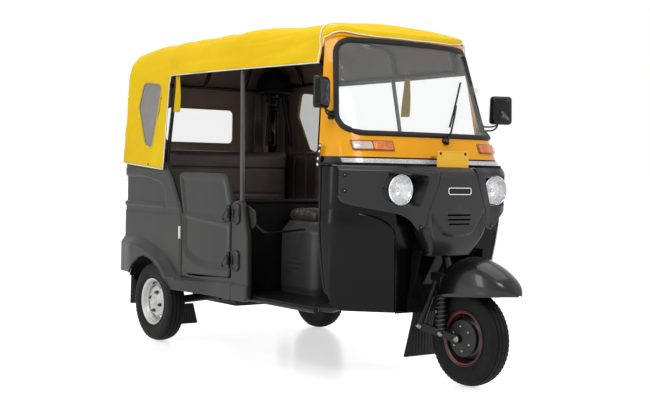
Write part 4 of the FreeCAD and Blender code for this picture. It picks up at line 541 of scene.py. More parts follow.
def tube(name, points, radius, material, body="cab", smooth_path=True, closed=False, resolution=3):
    """Round bar, piping or bead along points"""
    data = bpy.data.curves.new(name, "CURVE")
    data.dimensions = "3D"
    data.bevel_depth = radius
    data.bevel_resolution = resolution
    data.use_fill_caps = True
    spline = data.splines.new("NURBS" if smooth_path else "POLY")
    spline.points.add(len(points) - 1)
    for point, place in zip(spline.points, points):
        point.co = (*place, 1)
    spline.use_cyclic_u = closed
    if smooth_path:
        spline.order_u = 3
        spline.use_endpoint_u = not closed
        spline.resolution_u = 6
    piece = bpy.data.objects.new(name, data)
    bpy.context.collection.objects.link(piece)
    data.materials.append(material)
    if body:
        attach(piece, body)
    return piece


def lathe(name, profile, centre, axis, material, body="cab", segments=64):
    """Turned piece: profile of (distance along axis, radius) about an axis through centre"""
    axis = Vector(axis).normalized()
    side = axis.orthogonal().normalized()
    up = axis.cross(side)
    centre = Vector(centre)
    verts = []
    for along, radius in profile:
        for k in range(segments):
            a = 2 * math.pi * k / segments
            verts.append(centre + axis * along + (side * math.cos(a) + up * math.sin(a)) * max(radius, 0.0002))
    return mesh_piece(name, verts, grid_faces(len(profile), segments, closed=True), material, body)


def rounded_outline(points, radius, steps=8):
    """Flat outline with its corners rounded; points are pairs"""
    out = []
    count = len(points)
    for k in range(count):
        p = Vector(points[k])
        a = (Vector(points[k - 1]) - p)
        b = (Vector(points[(k + 1) % count]) - p)
        r = radius[k] if isinstance(radius, (list, tuple)) else radius
        if r <= 0:
            out.append(tuple(p))
            continue
        half = a.angle(b) / 2
        cut = min(r / math.tan(half), a.length * 0.48, b.length * 0.48)
        start = p + a.normalized() * cut
        end = p + b.normalized() * cut
        for s in range(steps + 1):
            t = s / steps
            q = start.lerp(p, t).lerp(p.lerp(end, t), t)
            out.append(tuple(q))
    return out


def box_outline(x0, z0, x1, z1, radius, steps=8):
    return rounded_outline([(x0, z0), (x1, z0), (x1, z1), (x0, z1)], radius, steps)


def lerp(a, b, t):
    return a + (b - a) * t


# Canopy

SECTIONS = [
    (-0.665, 0.506, 0.474, 1.706, 0.380, 1.788, 1.806),
    (-0.530, 0.522, 0.501, 1.740, 0.402, 1.848, 1.867),
    (0.400, 0.594, 0.577, 1.756, 0.440, 1.862, 1.884),
    (1.200, 0.612, 0.595, 1.738, 0.440, 1.836, 1.856),
    (1.500, 0.620, 0.600, 1.716, 0.432, 1.792, 1.810),
]
HEM_Z = 1.636
FRONT_Y, REAR_Y = -0.508, 1.481
KNEE_TOP, KNEE_FOOT = 0.918, 0.909     # front edge of the side skirt at the hem and at its foot
SKIRT_FOOT, REAR_FOOT = 1.060, 1.100   # lower edge of the cloth at the skirt's front and at the rear
SIDE_SHARE, CORNER_SHARE = 0.70, 0.86  # how far the side and the corner reach along one half of a row
LIP_FLOOR, LIP_DROP = 1.772, 0.030
CORNER = 0.055
REAR_ROLL = 0.075
LIP = [(0.501, -0.508), (0.451, -0.553), (0.361, -0.608), (0.250, -0.639), (0.0, -0.659)]
BOWS = (-0.50, 0.08, 0.859, 1.19, 1.42)


def section(y):
    """Half width at hem, shoulder half width and height, crown half width and height, top height"""
    rows = SECTIONS
    y = min(max(y, rows[0][0]), rows[-1][0])
    k = 0
    while k < len(rows) - 2 and y > rows[k + 1][0]:
        k += 1
    a, b = rows[k], rows[k + 1]
    w = b[0] - a[0]
    t = (y - a[0]) / w
    out = []
    for n in range(1, 7):
        slope = (b[n] - a[n]) / w
        before = (b[n] - rows[k - 1][n]) / (b[0] - rows[k - 1][0]) if k else slope
        after = (rows[k + 2][n] - a[n]) / (rows[k + 2][0] - a[0]) if k < len(rows) - 2 else slope
        before, after = lerp(slope, before, 0.7), lerp(slope, after, 0.7)
        h00, h10 = 2 * t ** 3 - 3 * t ** 2 + 1, t ** 3 - 2 * t ** 2 + t
        h01, h11 = -2 * t ** 3 + 3 * t ** 2, t ** 3 - t ** 2
        out.append(h00 * a[n] + h10 * w * before + h01 * b[n] + h11 * w * after)
    return out


def arc(y, a):
    """Point of the eave curve: a runs from the shoulder, 0, to the crown, 1"""
    sh, sz, ch, cz = section(y)[1:5]
    length = math.hypot(sh - ch, cz - sz)
    swell = 0.22 * 4 * a * (1 - a) * length
    return lerp(sh, ch, a) + (cz - sz) / length * swell, lerp(sz, cz, a) + (sh - ch) / length * swell


def roof_half(y, u):
    """Half width of roof line u, from the shoulder, 0, to the centre line, 1"""
    if u < 0.4:
        return arc(y, u / 0.4)[0]
    return section(y)[3] * (1 - (u - 0.4) / 0.6)


def roof_height(x, y):
    """Height of the roof over a place, with the rear edge rolled over"""
    x = abs(x)
    ch, cz, top = section(y)[3:]
    if x <= ch:
        z = top - (top - cz) * (x / ch) ** 2
    else:
        low, high = 0.0, 1.0
        for _ in range(24):
            middle = (low + high) / 2
            if arc(y, middle)[0] > x:
                low = middle
            else:
                high = middle
        z = arc(y, low)[1]
    reach = REAR_Y - y
    if reach < REAR_ROLL:
        z -= REAR_ROLL - math.sqrt(max(0.0, REAR_ROLL ** 2 - (REAR_ROLL - reach) ** 2))
    return z


def lip_y(x):
    x = abs(x)
    for (xa, ya), (xb, yb) in zip(LIP, LIP[1:]):
        if x >= xb:
            return lerp(yb, ya, min(1.0, (x - xb) / (xa - xb)))
    return LIP[-1][1]


def wall_half(y, z):
    return lerp(0.653, section(y)[0], (z - 1.04) / (HEM_Z - 1.04))


def canopy_row(columns, rear, corner, half_at, front, start=None, front_share=0.0):
    """Plan of one level: right side from the front, round the rear, left side back to the front"""
    end = rear - corner
    out = []
    for j in range(columns):
        v = j / (columns - 1)
        side = -1 if v < 0.5 else 1
        w = min(v, 1 - v) * 2
        if w <= SIDE_SHARE:
            t = w / SIDE_SHARE
            if start is not None:
                if t < front_share:
                    y = lerp(front, start, t / front_share)
                else:
                    y = lerp(start, end, (t - front_share) / (1 - front_share))
            else:
                y = lerp(front, end, t)
            out.append((side * half_at(y), y))
        elif w <= CORNER_SHARE:
            a = (w - SIDE_SHARE) / (CORNER_SHARE - SIDE_SHARE) * math.pi / 2
            x = half_at(end) - corner + corner * math.cos(a)
            out.append((side * x, end + corner * math.sin(a)))
        else:
            t = (w - CORNER_SHARE) / (1 - CORNER_SHARE)
            out.append((side * (half_at(end) - corner) * (1 - t), rear))
    return out


def cloth_shift(p):
    """How far the cloth stands off its even surface: slack between the bows, soft folds"""
    nearest = min(abs(p.y - bow) for bow in BOWS)
    slack = -0.009 * min(1.0, nearest / 0.28) ** 1.5 if p.z > 1.70 else 0.0
    soft = noise.noise(Vector((p.x * 2.1, p.y * 2.6, p.z * 3.0)))
    fold = noise.noise(Vector((p.x * 3.0 + p.z * 4.0, p.y * 5.0 + p.z * 6.5, 3.7)))
    crease = noise.noise(Vector((p.y * 3.0 - p.z * 9.0, p.x * 3.0, p.y * 9.0 + p.z * 5.0)))
    long_fold = noise.noise(Vector((p.x * 1.6 + p.z * 3.2, p.y * 2.2 + p.z * 7.0, 9.1)))
    pleat = max(0.0, 1 - abs(long_fold) * 9) ** 2
    low = 0.3 + 0.7 * min(1.0, max(0.0, (p.z - 1.06) / 0.12))
    return slack + low * (soft * 0.007 + fold * 0.0080 + crease * 0.0026 - pleat * 0.0050)


def make_canopy():
    columns = 361
    knee_share = (KNEE_TOP - FRONT_Y) / (REAR_Y - CORNER - FRONT_Y)
    rows = []
    wall_rows = 30
    for k in range(wall_rows + 1):
        t = k / wall_rows
        row = []
        z_side = lerp(SKIRT_FOOT, HEM_Z, t)
        plan = canopy_row(columns, REAR_Y, CORNER, lambda y: wall_half(y, z_side), FRONT_Y,
                          lerp(KNEE_FOOT, KNEE_TOP, t), knee_share)
        for x, y in plan:
            low = lerp(SKIRT_FOOT, REAR_FOOT, min(1.0, max(0.0, (y - KNEE_FOOT) / (REAR_Y - KNEE_FOOT))))
            row.append(Vector((x, y, lerp(low, HEM_Z, t))))
        rows.append(row)
    eave = [Vector((x, y, roof_height(x, y))) for x, y in
            canopy_row(columns, REAR_Y, CORNER, lambda y: roof_half(y, 0.0), FRONT_Y)]
    upper = 8
    for k in range(1, upper + 1):
        rows.append([a.lerp(b, k / upper) for a, b in zip(rows[wall_rows], eave)])
    roof_rows = 44
    for k in range(1, roof_rows + 1):
        u = (k / roof_rows) ** 1.15
        front = -0.55
        for _ in range(12):
            front = lip_y(roof_half(front, u))
        inset = roof_half(REAR_Y, 0.0) - roof_half(REAR_Y, u)
        rear = REAR_Y - inset * 0.85
        corner = min(CORNER + inset * 0.3, roof_half(rear, u))
        plan = canopy_row(columns, rear, corner, lambda y: roof_half(y, u), front)
        rows.append([Vector((x, y, roof_height(x, y))) for x, y in plan])
    verts = [p for row in rows for p in row]
    faces = []
    knee = knee_share * SIDE_SHARE
    for i, j, k, m in grid_faces(len(rows), columns):
        row, column = divmod(i, columns)
        v = (column + 0.5) / (columns - 1)
        if row < wall_rows and min(v, 1 - v) * 2 < knee:
            continue
        faces.append((i, j, k, m))
    total = len(verts)
    lip_steps = 4
    edge = [r * columns for r in range(wall_rows + upper, len(rows))]
    edge += [r * columns + columns - 1 for r in range(len(rows) - 1, wall_rows + upper - 1, -1)]
    for step in range(1, lip_steps + 1):
        t = step / lip_steps
        for index in edge:
            p = verts[index]
            bottom = min(p.z - 0.004, max(LIP_FLOOR, p.z - LIP_DROP))
            verts.append(Vector((p.x, p.y - 0.006 * math.sin(t * math.pi / 2), lerp(p.z, bottom, t))))
    for step in range(lip_steps):
        for n in range(len(edge) - 1):
            above = edge if step == 0 else [total + (step - 1) * len(edge) + m for m in range(len(edge))]
            below = [total + step * len(edge) + m for m in range(len(edge))]
            faces.append((above[n], below[n], below[n + 1], above[n + 1]))
    mesh = bpy.data.meshes.new("canopy_cloth")
    mesh.from_pydata([tuple(v) for v in verts], [], faces)
    work = bmesh.new()
    work.from_mesh(mesh)
    bmesh.ops.remove_doubles(work, verts=work.verts, dist=0.0004)
    bmesh.ops.delete(work, geom=[v for v in work.verts if not v.link_faces], context="VERTS")
    bmesh.ops.recalc_face_normals(work, faces=work.faces)
    probe = max(work.faces, key=lambda f: f.calc_center_median().z)
    if probe.normal.z < 0:
        bmesh.ops.reverse_faces(work, faces=work.faces)
    work.normal_update()
    places = [(v, v.co + v.normal * cloth_shift(v.co)) for v in work.verts]
    for v, place in places:
        v.co = place
    work.to_mesh(mesh)
    work.free()
    mesh.polygons.foreach_set("use_smooth", [True] * len(mesh.polygons))
    mesh.materials.append(M["canopy"])
    mesh.materials.append(M["lining"])
    piece = bpy.data.objects.new("canopy_cover", mesh)
    bpy.context.collection.objects.link(piece)
    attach(piece, "cab")
    modify(piece, "SOLIDIFY", thickness=0.003, offset=-1, material_offset=1, material_offset_rim=0)
    bake(piece)
    return piece, rows, wall_rows, upper, columns


SIDE_WINDOW = [(1.005, 1.5881), (1.2349, 1.611), (1.284, 1.4478), (1.1621, 1.2111), (1.0689, 1.186)]
REAR_WINDOW = [(-0.33, 1.240), (0.205, 1.240), (0.205, 1.478), (-0.33, 1.478)]


def plain_prism(name, outline, place, depth, material, body):
    """Closed solid between an outline and its copy: pairs are set in space by place(pair, depth)"""
    count = len(outline)
    verts = [place(p, 0) for p in outline] + [place(p, depth) for p in outline]
    faces = grid_faces(2, count, closed=True) + [tuple(range(count))[::-1], tuple(range(count, 2 * count))]
    piece = mesh_piece(name, verts, faces, material, body, smooth=False)
    flip_out(piece)
    return piece


def cut_out(piece, outline, place):
    """Cuts a window: outline pairs are set in space by place(pair, near or far)"""
    cutter = plain_prism("cutter", outline, place, 1, None, None)
    modify(piece, "BOOLEAN", operation="DIFFERENCE", object=cutter, solver="EXACT")
    bake(piece)
    bpy.data.objects.remove(cutter, do_unlink=True)


def canopy_side_x(y, z):
    return wall_half(y, z) + 0.0005


def window_strip(name, outline, place, width, thick, material):
    """Flat band sewn round a window"""
    count = len(outline)
    centre = Vector((sum(p[0] for p in outline) / count, sum(p[1] for p in outline) / count))
    verts = []
    for k in range(count):
        p = Vector(outline[k])
        a, b = Vector(outline[k - 1]), Vector(outline[(k + 1) % count])
        along = (b - a).normalized()
        out = Vector((along.y, -along.x))
        if out.dot(p - centre) < 0:
            out = -out
        for shift, lift in ((-width * 0.4, 0.0), (-width * 0.4, thick), (width * 0.6, thick),
                            (width * 0.6, 0.0)):
            verts.append(place(tuple(p + out * shift), lift))
    faces = []
    for k in range(count):
        n = (k + 1) % count
        for m in range(3):
            faces.append((k * 4 + m, n * 4 + m, n * 4 + m + 1, k * 4 + m + 1))
        faces.append((k * 4 + 3, n * 4 + 3, n * 4, k * 4))
    return mesh_piece(name, verts, faces, material)


def make_windows(cover):
    for label, side in (("right", -1), ("left", 1)):
        outline = rounded_outline(SIDE_WINDOW, 0.05)
        cut_out(cover, outline, lambda p, far: (side * lerp(0.44, 0.75, far), p[0], p[1]))
        at = lambda p, lift: (side * (canopy_side_x(*p) + lift - 0.001), p[0], p[1])
        window_strip("window_welt_" + label, outline, at, 0.012, 0.0028, M["welt"])
        inner = lambda p, lift: (side * (canopy_side_x(*p) - 0.004 - lift), p[0], p[1])
        window_strip("window_welt_inside_" + label, outline, inner, 0.014, 0.002, M["lining"])
        film_sheet("window_film_" + label, outline,
                   lambda p: Vector((side * (canopy_side_x(*p) - 0.0032), p[0], p[1])),
                   M["side_film"], "side_film_" + label)
    outline = rounded_outline(REAR_WINDOW, 0.045)
    cut_out(cover, outline, lambda p, far: (p[0], lerp(1.40, 1.52, far), p[1]))
    window_strip("window_welt_rear", outline, lambda p, lift: (p[0], REAR_Y + 0.001 + lift, p[1]), 0.012,
                 0.0028, M["welt"])
    window_strip("window_welt_rear_inside", outline, lambda p, lift: (p[0], REAR_Y - 0.005 - lift, p[1]), 0.016,
                 0.002, M["lining"])
    film_sheet("window_film_rear", outline, lambda p: Vector((p[0], REAR_Y - 0.003, p[1])), M["film"],
               "rear_film")


def film_sheet(name, outline, place, material, node):
    """Clear film with faint waves"""
    count = len(outline)
    centre = (sum(p[0] for p in outline) / count, sum(p[1] for p in outline) / count)
    verts, rings = [], 14
    grown = [(centre[0] + (p[0] - centre[0]) * 1.03, centre[1] + (p[1] - centre[1]) * 1.03) for p in outline]
    for ring in range(rings):
        t = 1 - ring / rings
        for p in grown:
            q = (lerp(centre[0], p[0], t), lerp(centre[1], p[1], t))
            v = place(q)
            wave = noise.noise(Vector((q[0] * 9, q[1] * 7, 1.3))) * 0.0022 * (1 - t ** 4)
            if node == "rear_film":
                v.y += wave
            else:
                v.x += wave
            verts.append(v)
    verts.append(place(centre))
    piece = mesh_piece(name, verts, dome_faces(rings, count, len(verts) - 1), material)
    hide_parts(node)


def make_piping(rows, wall_rows, upper, columns):
    """White bead along the hems, the front bow and the lip"""
    def shifted(p, out):
        normal = Vector((math.copysign(1, p.x), 0, 0)) if abs(p.x) > 0.3 else Vector((0, 1, 0))
        return p + normal * out

    knee = round((KNEE_TOP - FRONT_Y) / (REAR_Y - CORNER - FRONT_Y) * SIDE_SHARE / 2 * (columns - 1))
    hem = rows[wall_rows]
    right = [hem[j] for j in range(0, knee + 1, 4)]
    front_edge = [rows[r][knee] for r in range(wall_rows, -1, -3)]
    bottom = [rows[0][j] for j in range(knee, columns - knee, 4)]
    left_edge = [rows[r][columns - 1 - knee] for r in range(0, wall_rows + 1, 3)]
    left = [hem[j] for j in range(columns - 1 - knee, columns, 4)]
    path = right + front_edge[1:] + bottom[1:] + left_edge[1:] + left[1:]
    tube("piping_hem", [shifted(p, 0.001) for p in path], 0.0034, M["piping"], smooth_path=False)
    lip = [rows[r][0] for r in range(wall_rows + upper, len(rows))]
    lip += [rows[r][columns - 1] for r in range(len(rows) - 1, wall_rows + upper - 1, -1)]
    lip = [Vector((p.x, p.y - 0.007, min(p.z - 0.004, max(LIP_FLOOR, p.z - LIP_DROP)))) for p in lip]
    tube("piping_lip", lip[::2], 0.0034, M["piping"], smooth_path=False)
    bead = [Vector((p.x * 0.985, p.y + 0.016, p.z - 0.013)) for p in lip]
    tube("header_bead", bead[::2], 0.012, M["orange"], smooth_path=False)
    for n, p in enumerate(bottom[3:-3:7]):
        if REAR_Y - CORNER - 0.02 < p.y < REAR_Y - 0.002:
            continue
        at = shifted(p + Vector((0, 0, 0.018)), 0.003)
        normal = Vector((math.copysign(1, p.x), 0, 0)) if p.y < REAR_Y - 0.03 else Vector((0, 1, 0))
        lathe("hem_stud_%d" % n, [(-0.002, 0.006), (0.001, 0.006), (0.003, 0.004), (0.0035, 0.0)], at, normal,
              M["dark_steel"], segments=16)
    seam = []
    for z in (1.636, 1.66, 1.69, 1.715):
        seam.append(Vector((-(lerp(section(-0.49)[0], section(-0.49)[1], (z - 1.636) / 0.096)), -0.5, z)))
    steps = 60
    for k in range(steps + 1):
        u = k / steps
        x = roof_half(-0.47, u)
        y = lerp(-0.495, -0.47, min(1.0, u / 0.25))
        seam.append(Vector((-x, y, roof_height(x, y))))
    whole = seam + [Vector((-p.x, p.y, p.z)) for p in reversed(seam[:-1])]
    tube("piping_bow", [p + Vector((math.copysign(0.002, p.x), 0, 0.0025)) for p in whole], 0.0036, M["piping"],
         smooth_path=False)


def smoothstep(t):
    t = min(1.0, max(0.0, t))
    return t * t * (3 - 2 * t)


def curve_at(table, t):
    """Smooth reading of a table of pairs"""
    if t <= table[0][0]:
        return table[0][1]
    if t >= table[-1][0]:
        return table[-1][1]
    k = 0
    while t > table[k + 1][0]:
        k += 1
    (x0, y0), (x1, y1) = table[k], table[k + 1]
    w = x1 - x0
    slope = (y1 - y0) / w
    before = (y1 - table[k - 1][1]) / (x1 - table[k - 1][0]) if k else slope
    after = (table[k + 2][1] - y0) / (table[k + 2][0] - x0) if k < len(table) - 2 else slope
    s = (t - x0) / w
    return ((2 * s ** 3 - 3 * s ** 2 + 1) * y0 + (s ** 3 - 2 * s ** 2 + s) * w * before
            + (-2 * s ** 3 + 3 * s ** 2) * y1 + (s ** 3 - s ** 2) * w * after)


# Front body: leg shields, lamp fairings, nose and mudguard

SHIELD_REACH = [(0.370, 1.207), (0.60, 1.268), (0.800, 1.308), (1.105, 1.325)]
SHIELD_HALF = [(0.370, 0.540), (0.55, 0.566), (0.80, 0.582), (1.105, 0.585)]
SHIELD_REAR = [(0.370, -0.650), (0.60, -0.628), (0.85, -0.616), (1.105, -0.615)]
SHIELD_CREASE = [(0.370, 0.300), (0.60, 0.330), (0.80, 0.352), (1.105, 0.352)]


def bend_path(points, radii, counts):
    """Plan line with rounded corners, each part cut into a set number of steps"""
    parts = []
    start = Vector(points[0])
    for k in range(1, len(points) - 1):
        p = Vector(points[k])
        a, b = Vector(points[k - 1]) - p, Vector(points[k + 1]) - p
        cut = min(radii[k - 1] * math.tan((math.pi - a.angle(b)) / 2), a.length * 0.9, b.length * 0.48)
        enter, leave = p + a.normalized() * cut, p + b.normalized() * cut
        parts.append([start.lerp(enter, t / counts[2 * k - 2]) for t in range(counts[2 * k - 2])])
        n = counts[2 * k - 1]
        parts.append([enter.lerp(p, t / n).lerp(p.lerp(leave, t / n), t / n) for t in range(n)])
        start = leave
    last = Vector(points[-1])
    parts.append([start.lerp(last, t / counts[-1]) for t in range(counts[-1] + 1)])
    return [p for part in parts for p in part]


def lamp_recess(x, z):
    """How far a panel goes back to leave room for the headlamp's bowl"""
    return 0.070 * smoothstep((0.084 - math.hypot(x - LAMP_X, z - LAMP_Z)) / 0.004)


def make_leg_shield(label, side):
    rows, count = [], 170
    for r in range(count + 1):
        z = lerp(0.362, 1.104, r / count)
        reach, half, rear = curve_at(SHIELD_REACH, z), curve_at(SHIELD_HALF, z), curve_at(SHIELD_REAR, z)
        crease = curve_at(SHIELD_CREASE, z)
        front = -(reach - crease)
        points = [(half, rear), (half, -(reach - half)), (crease, front), (0.225, front + 0.018),
                  (0.215, front + 0.10)]
        plan = bend_path(points, [0.30, 0.05, 0.02], [8, 16, 60, 12, 16, 5, 8])
        row = []
        for n, p in enumerate(plan):
            x, y = p.x, p.y
            edge = crease + 0.004 if z < 0.74 else None
            if edge is not None:
                raised = smoothstep((x - edge) / 0.007 + 0.5)
            else:
                far = 1 - math.hypot(max(0.0, 0.50 - x) / (0.50 - crease), (z - 0.74) / 0.122)
                raised = smoothstep(far * 0.13 / 0.008 + 0.5)
                fade = smoothstep((x - 0.42) / 0.10)
                raised = lerp(raised, 1.0 - 0.5 * smoothstep((z - 0.80) / 0.08), fade)
            drop = 0.013 * (1 - raised)
            along = plan[min(n + 1, len(plan) - 1)] - plan[max(n - 1, 0)]
            inward = Vector((along.y, -along.x)).normalized()
            if inward.dot(Vector((-x, -y - 0.3))) < 0:
                inward = -inward
            swell = 0.010 * math.sin(math.pi * min(1.0,
                    max(0.0,
                    (0.57 - x) / 0.24))) * math.sin(math.pi * min(1.0,
                    (z - 0.36) / 0.74))
            x += inward.x * (drop - swell)
            y += inward.y * (drop - swell)
            rise = 0.0
            if z < 0.46:
                back = max(0.0, 1 - (rear - y) / 0.075) if y > rear - 0.075 else 0.0
                rise = 0.075 * (1 - math.sqrt(max(0.0, 1 - back * back))) * (1 - (z - 0.362) / 0.098)
            row.append(Vector((side * x, y + lamp_recess(x, z), z + rise)))
        rows.append(row)
    piece = sheet("shield_" + label, rows, M["black"], 0.004, 1 if side > 0 else -1)
    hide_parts("leg_shield_" + label)
    rear = [row[0] for row in rows[8::6]]
    tube("shield_edge_bead_" + label, [p + Vector((0, 0.003, 0)) for p in rear], 0.006, M["rubber"])


GROOVE_X = [(0.780, 0.218), (0.799, 0.214), (0.879, 0.196), (0.960, 0.164), (1.045, 0.131), (1.105, 0.130)]
LAMP_X, LAMP_Z = 0.331, 0.987
FAIRING_FOOT = [(0.205, 0.800), (0.225, 0.790), (0.250, 0.783), (0.270, 0.797), (0.298, 0.827), (0.330, 0.850),
                (0.369, 0.868), (0.440, 0.884), (0.500, 0.897), (0.555, 0.915), (0.568, 0.925), (0.576, 0.945)]


def fairing_front(x):
    """Outer face of the lamp fairing in plan, before the lamp hollow"""
    corner = 0.338
    if x > corner + 0.05:
        y = -(1.3555 - x)
    elif x > corner - 0.05:
        t = (x - (corner - 0.05)) / 0.10
        y = -1.0175 + 0.05 * t * t
    else:
        y = -1.0175
    if x < 0.25:
        y -= 0.0115 * smoothstep((0.25 - x) / 0.10)
    over = max(0.0, x - 0.50)
    return y + over * over * 1.6


def make_lamp_fairing(label, side):
    columns, count = 150, 110
    rows = []
    for r in range(count + 1):
        v = r / count
        row = []
        for c in range(columns + 1):
            u = c / columns
            z = 0.95
            for _ in range(6):
                x = lerp(0.578, curve_at(GROOVE_X, z) + 0.0025, u)
                z = lerp(curve_at(FAIRING_FOOT, x), 1.106, v)
            y = fairing_front(x)
            inner = lerp(0.236, 0.192, min(1.0, max(0.0, (z - 0.905) / 0.13)))
            top = lerp(1.062, 1.094, (x - 0.22) / 0.31)
            foot = lerp(0.902, 0.930, (x - 0.25) / 0.28)
            hollow = smoothstep((x - inner) / 0.030) * smoothstep((top - z) / 0.020) * smoothstep((z - foot)
                    / 0.026)
            floor = -0.940 + 0.02 * smoothstep((0.25 - x) / 0.06)
            y += hollow * max(0.0, floor - y)
            if z > 1.075:
                y += 0.020 * smoothstep((z - 1.075) / 0.035)
            lift = curve_at(FAIRING_FOOT, x) + 0.012
            if z < lift:
                y += 0.010 * (1 - smoothstep((z - lift + 0.012) / 0.012))
            row.append(Vector((side * x, y + lamp_recess(x, z), z)))
        rows.append(row)
    piece = sheet("fairing_" + label, rows, M["satin"], 0.016, 1 if side > 0 else -1)
    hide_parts("lamp_fairing_" + label)
    for n, z in enumerate((1.058, 0.978)):
        screw("fairing_screw_%s_%d" % (label, n), Vector((side * 0.558, fairing_front(0.558) - 0.001, z)),
              Vector((side * 0.72, -0.69, 0)), 0.008)
    screw("fairing_screw_%s_low" % label, (side * 0.247, -1.0185, 0.803), (0, -1, 0), 0.007)


def screw(name, place, axis, radius, body="cab", material=None):
    """Domed screw head on a washer"""
    profile = [(0.0, radius * 1.7), (0.0012, radius * 1.65), (0.0014, radius * 1.02), (0.0022, radius),
               (0.0040, radius * 0.75),
               (0.0046, radius * 0.35), (0.0034, radius * 0.30), (0.0034, 0.0)]
    lathe(name, profile, place, axis, material or M["plastic"], body, segments=20)
    if not material:
        lathe(name + "_bolt", [(0.0030, radius * 0.42), (0.0056, radius * 0.40), (0.0060, 0.0)], place, axis,
              M["steel"], body, segments=12)


def make_nose():
    count = 120
    rows = []
    for r in range(count + 1):
        z = lerp(0.652, 1.105, r / count)
        if z > 0.797:
            half = curve_at(GROOVE_X, z) - 0.0025
            radius, depth = 0.006, 0.030
        else:
            half = lerp(0.150, 0.2115, smoothstep((z - 0.655) / 0.142))
            radius, depth = 0.030, 0.105
        half_columns = 60
        plan = []
        for c in range(half_columns + 1):
            x = (half - radius) * c / half_columns
            step = curve_at([(0.0, 0.755), (0.04, 0.757), (0.100, 0.772), (0.128, 0.808), (0.171, 0.864),
                             (0.22, 0.93)], x)
            raised = smoothstep((z - step) / 0.016 + 0.5)
            strength = 1 - smoothstep((x - 0.150) / 0.05)
            y = -1.031 + 0.014 * (1 - raised) * strength + 0.010 * (x / 0.2) ** 2
            if z < 0.755:
                y += 0.040 * ((0.755 - z) / 0.10) ** 2
            if z > 1.05:
                t = (z - 1.05) / 0.055
                y += 0.075 * (1 - math.sqrt(max(0.0, 1 - min(1.0, t) ** 2)))
            plan.append(Vector((x, y)))
        end = plan[-1]
        for c in range(1, 9):
            a = c / 8 * math.pi / 2
            plan.append(Vector((end.x + radius * math.sin(a), end.y + radius * (1 - math.cos(a)))))
        end = plan[-1]
        for c in range(1, 9):
            plan.append(Vector((end.x - (0.004 * c / 8), end.y + depth * c / 8)))
        row = [Vector((-p.x, p.y, z)) for p in reversed(plan[1:])] + [Vector((p.x, p.y, z)) for p in plan]
        rows.append(row)
    piece = sheet("nose", rows, M["satin"], 0.004, 1)
    for z, half in ((0.861, 0.080), (0.838, 0.078), (0.815, 0.073)):
        outline = box_outline(-half, z - 0.0045, half, z + 0.0045, 0.003, 3)
        cut_out(piece, outline, lambda p, far: (p[0], lerp(-1.06, -1.0, far), p[1]))
    # Near-black plate behind the vent slots: painted shade behind the vents
    mesh_piece("nose_vent_back", [(-0.095, -1.020, 0.80), (0.095, -1.020, 0.80), (0.095, -1.018, 0.84),
            (0.095, -1.020, 0.875),
            (-0.095, -1.020, 0.875), (-0.095, -1.018, 0.84)], [(0, 1, 2, 5),
            (5, 2, 3,
            4)], M["dark"])
    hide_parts("nose_panel")


def make_badge_place():
    """Plain blank plate where such vehicles carry a badge"""
    outline = box_outline(-0.078, 0.968, 0.078, 1.000, 0.014)
    sewn = lambda p, lift: (p[0], -1.0356 + 0.010 * (p[0] / 0.2) ** 2 - lift, p[1])
    window_strip("badge_rim", outline, sewn, 0.004, 0.003, M["chrome"])
    verts = [Vector(sewn(p, 0.0012)) for p in outline] + [Vector(sewn((0, 0.984), 0.0016))]
    count = len(outline)
    mesh_piece("badge_blank", verts, dome_faces(1, count, count), M["gloss_plastic"])


GUARD_TOP = [(0.0, -1.474, 0.493), (0.10, -1.440, 0.532), (0.22, -1.390, 0.572), (0.36, -1.315, 0.613),
             (0.50, -1.225, 0.641),
             (0.64, -1.130, 0.645), (0.76, -1.045, 0.615), (0.88, -0.972, 0.536), (1.0, -0.915, 0.440)]
GUARD_FOOT = [(0.0, -1.470, 0.489), (0.10, -1.425, 0.486), (0.22, -1.372, 0.480), (0.36, -1.290, 0.473),
              (0.50, -1.200, 0.466),
              (0.64, -1.110, 0.458), (0.76, -1.035, 0.450), (0.88, -0.977, 0.443), (1.0, -0.926, 0.436)]
GUARD_HALF = [(0.0, 0.010), (0.05, 0.034), (0.12, 0.060), (0.25, 0.087), (0.40, 0.104), (0.55, 0.111),
              (0.75, 0.107), (0.90, 0.088), (1.0, 0.062)]


def make_mudguard():
    stations, half_ring = 120, 44
    rows = []
    for k in range(stations + 1):
        v = k / stations
        top = Vector((curve_at([(a, b) for a, b, c in GUARD_TOP], v),
                      curve_at([(a, c) for a, b, c in GUARD_TOP], v)))
        foot = Vector((curve_at([(a, b) for a, b, c in GUARD_FOOT], v),
                       curve_at([(a, c) for a, b, c in GUARD_FOOT], v)))
        wide = curve_at(GUARD_HALF, v)
        row = []
        for n in range(2 * half_ring + 1):
            a = (n - half_ring) / half_ring * math.pi / 2
            power = 0.62
            x = math.copysign(abs(math.sin(a)) ** power, a) * wide
            rise = abs(math.cos(a)) ** power
            crown = 0.012 * math.exp(-(x / 0.045) ** 2) * smoothstep(v / 0.2) * smoothstep((0.8 - v) / 0.25)
            y, z = foot.lerp(top, rise)
            row.append(Vector((x, y, z + crown * rise - 0.004)))
        rows.append(row)
    piece = sheet("mudguard", rows, M["guard"], 0.004, 1, body="steering")
    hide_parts("front_mudguard")


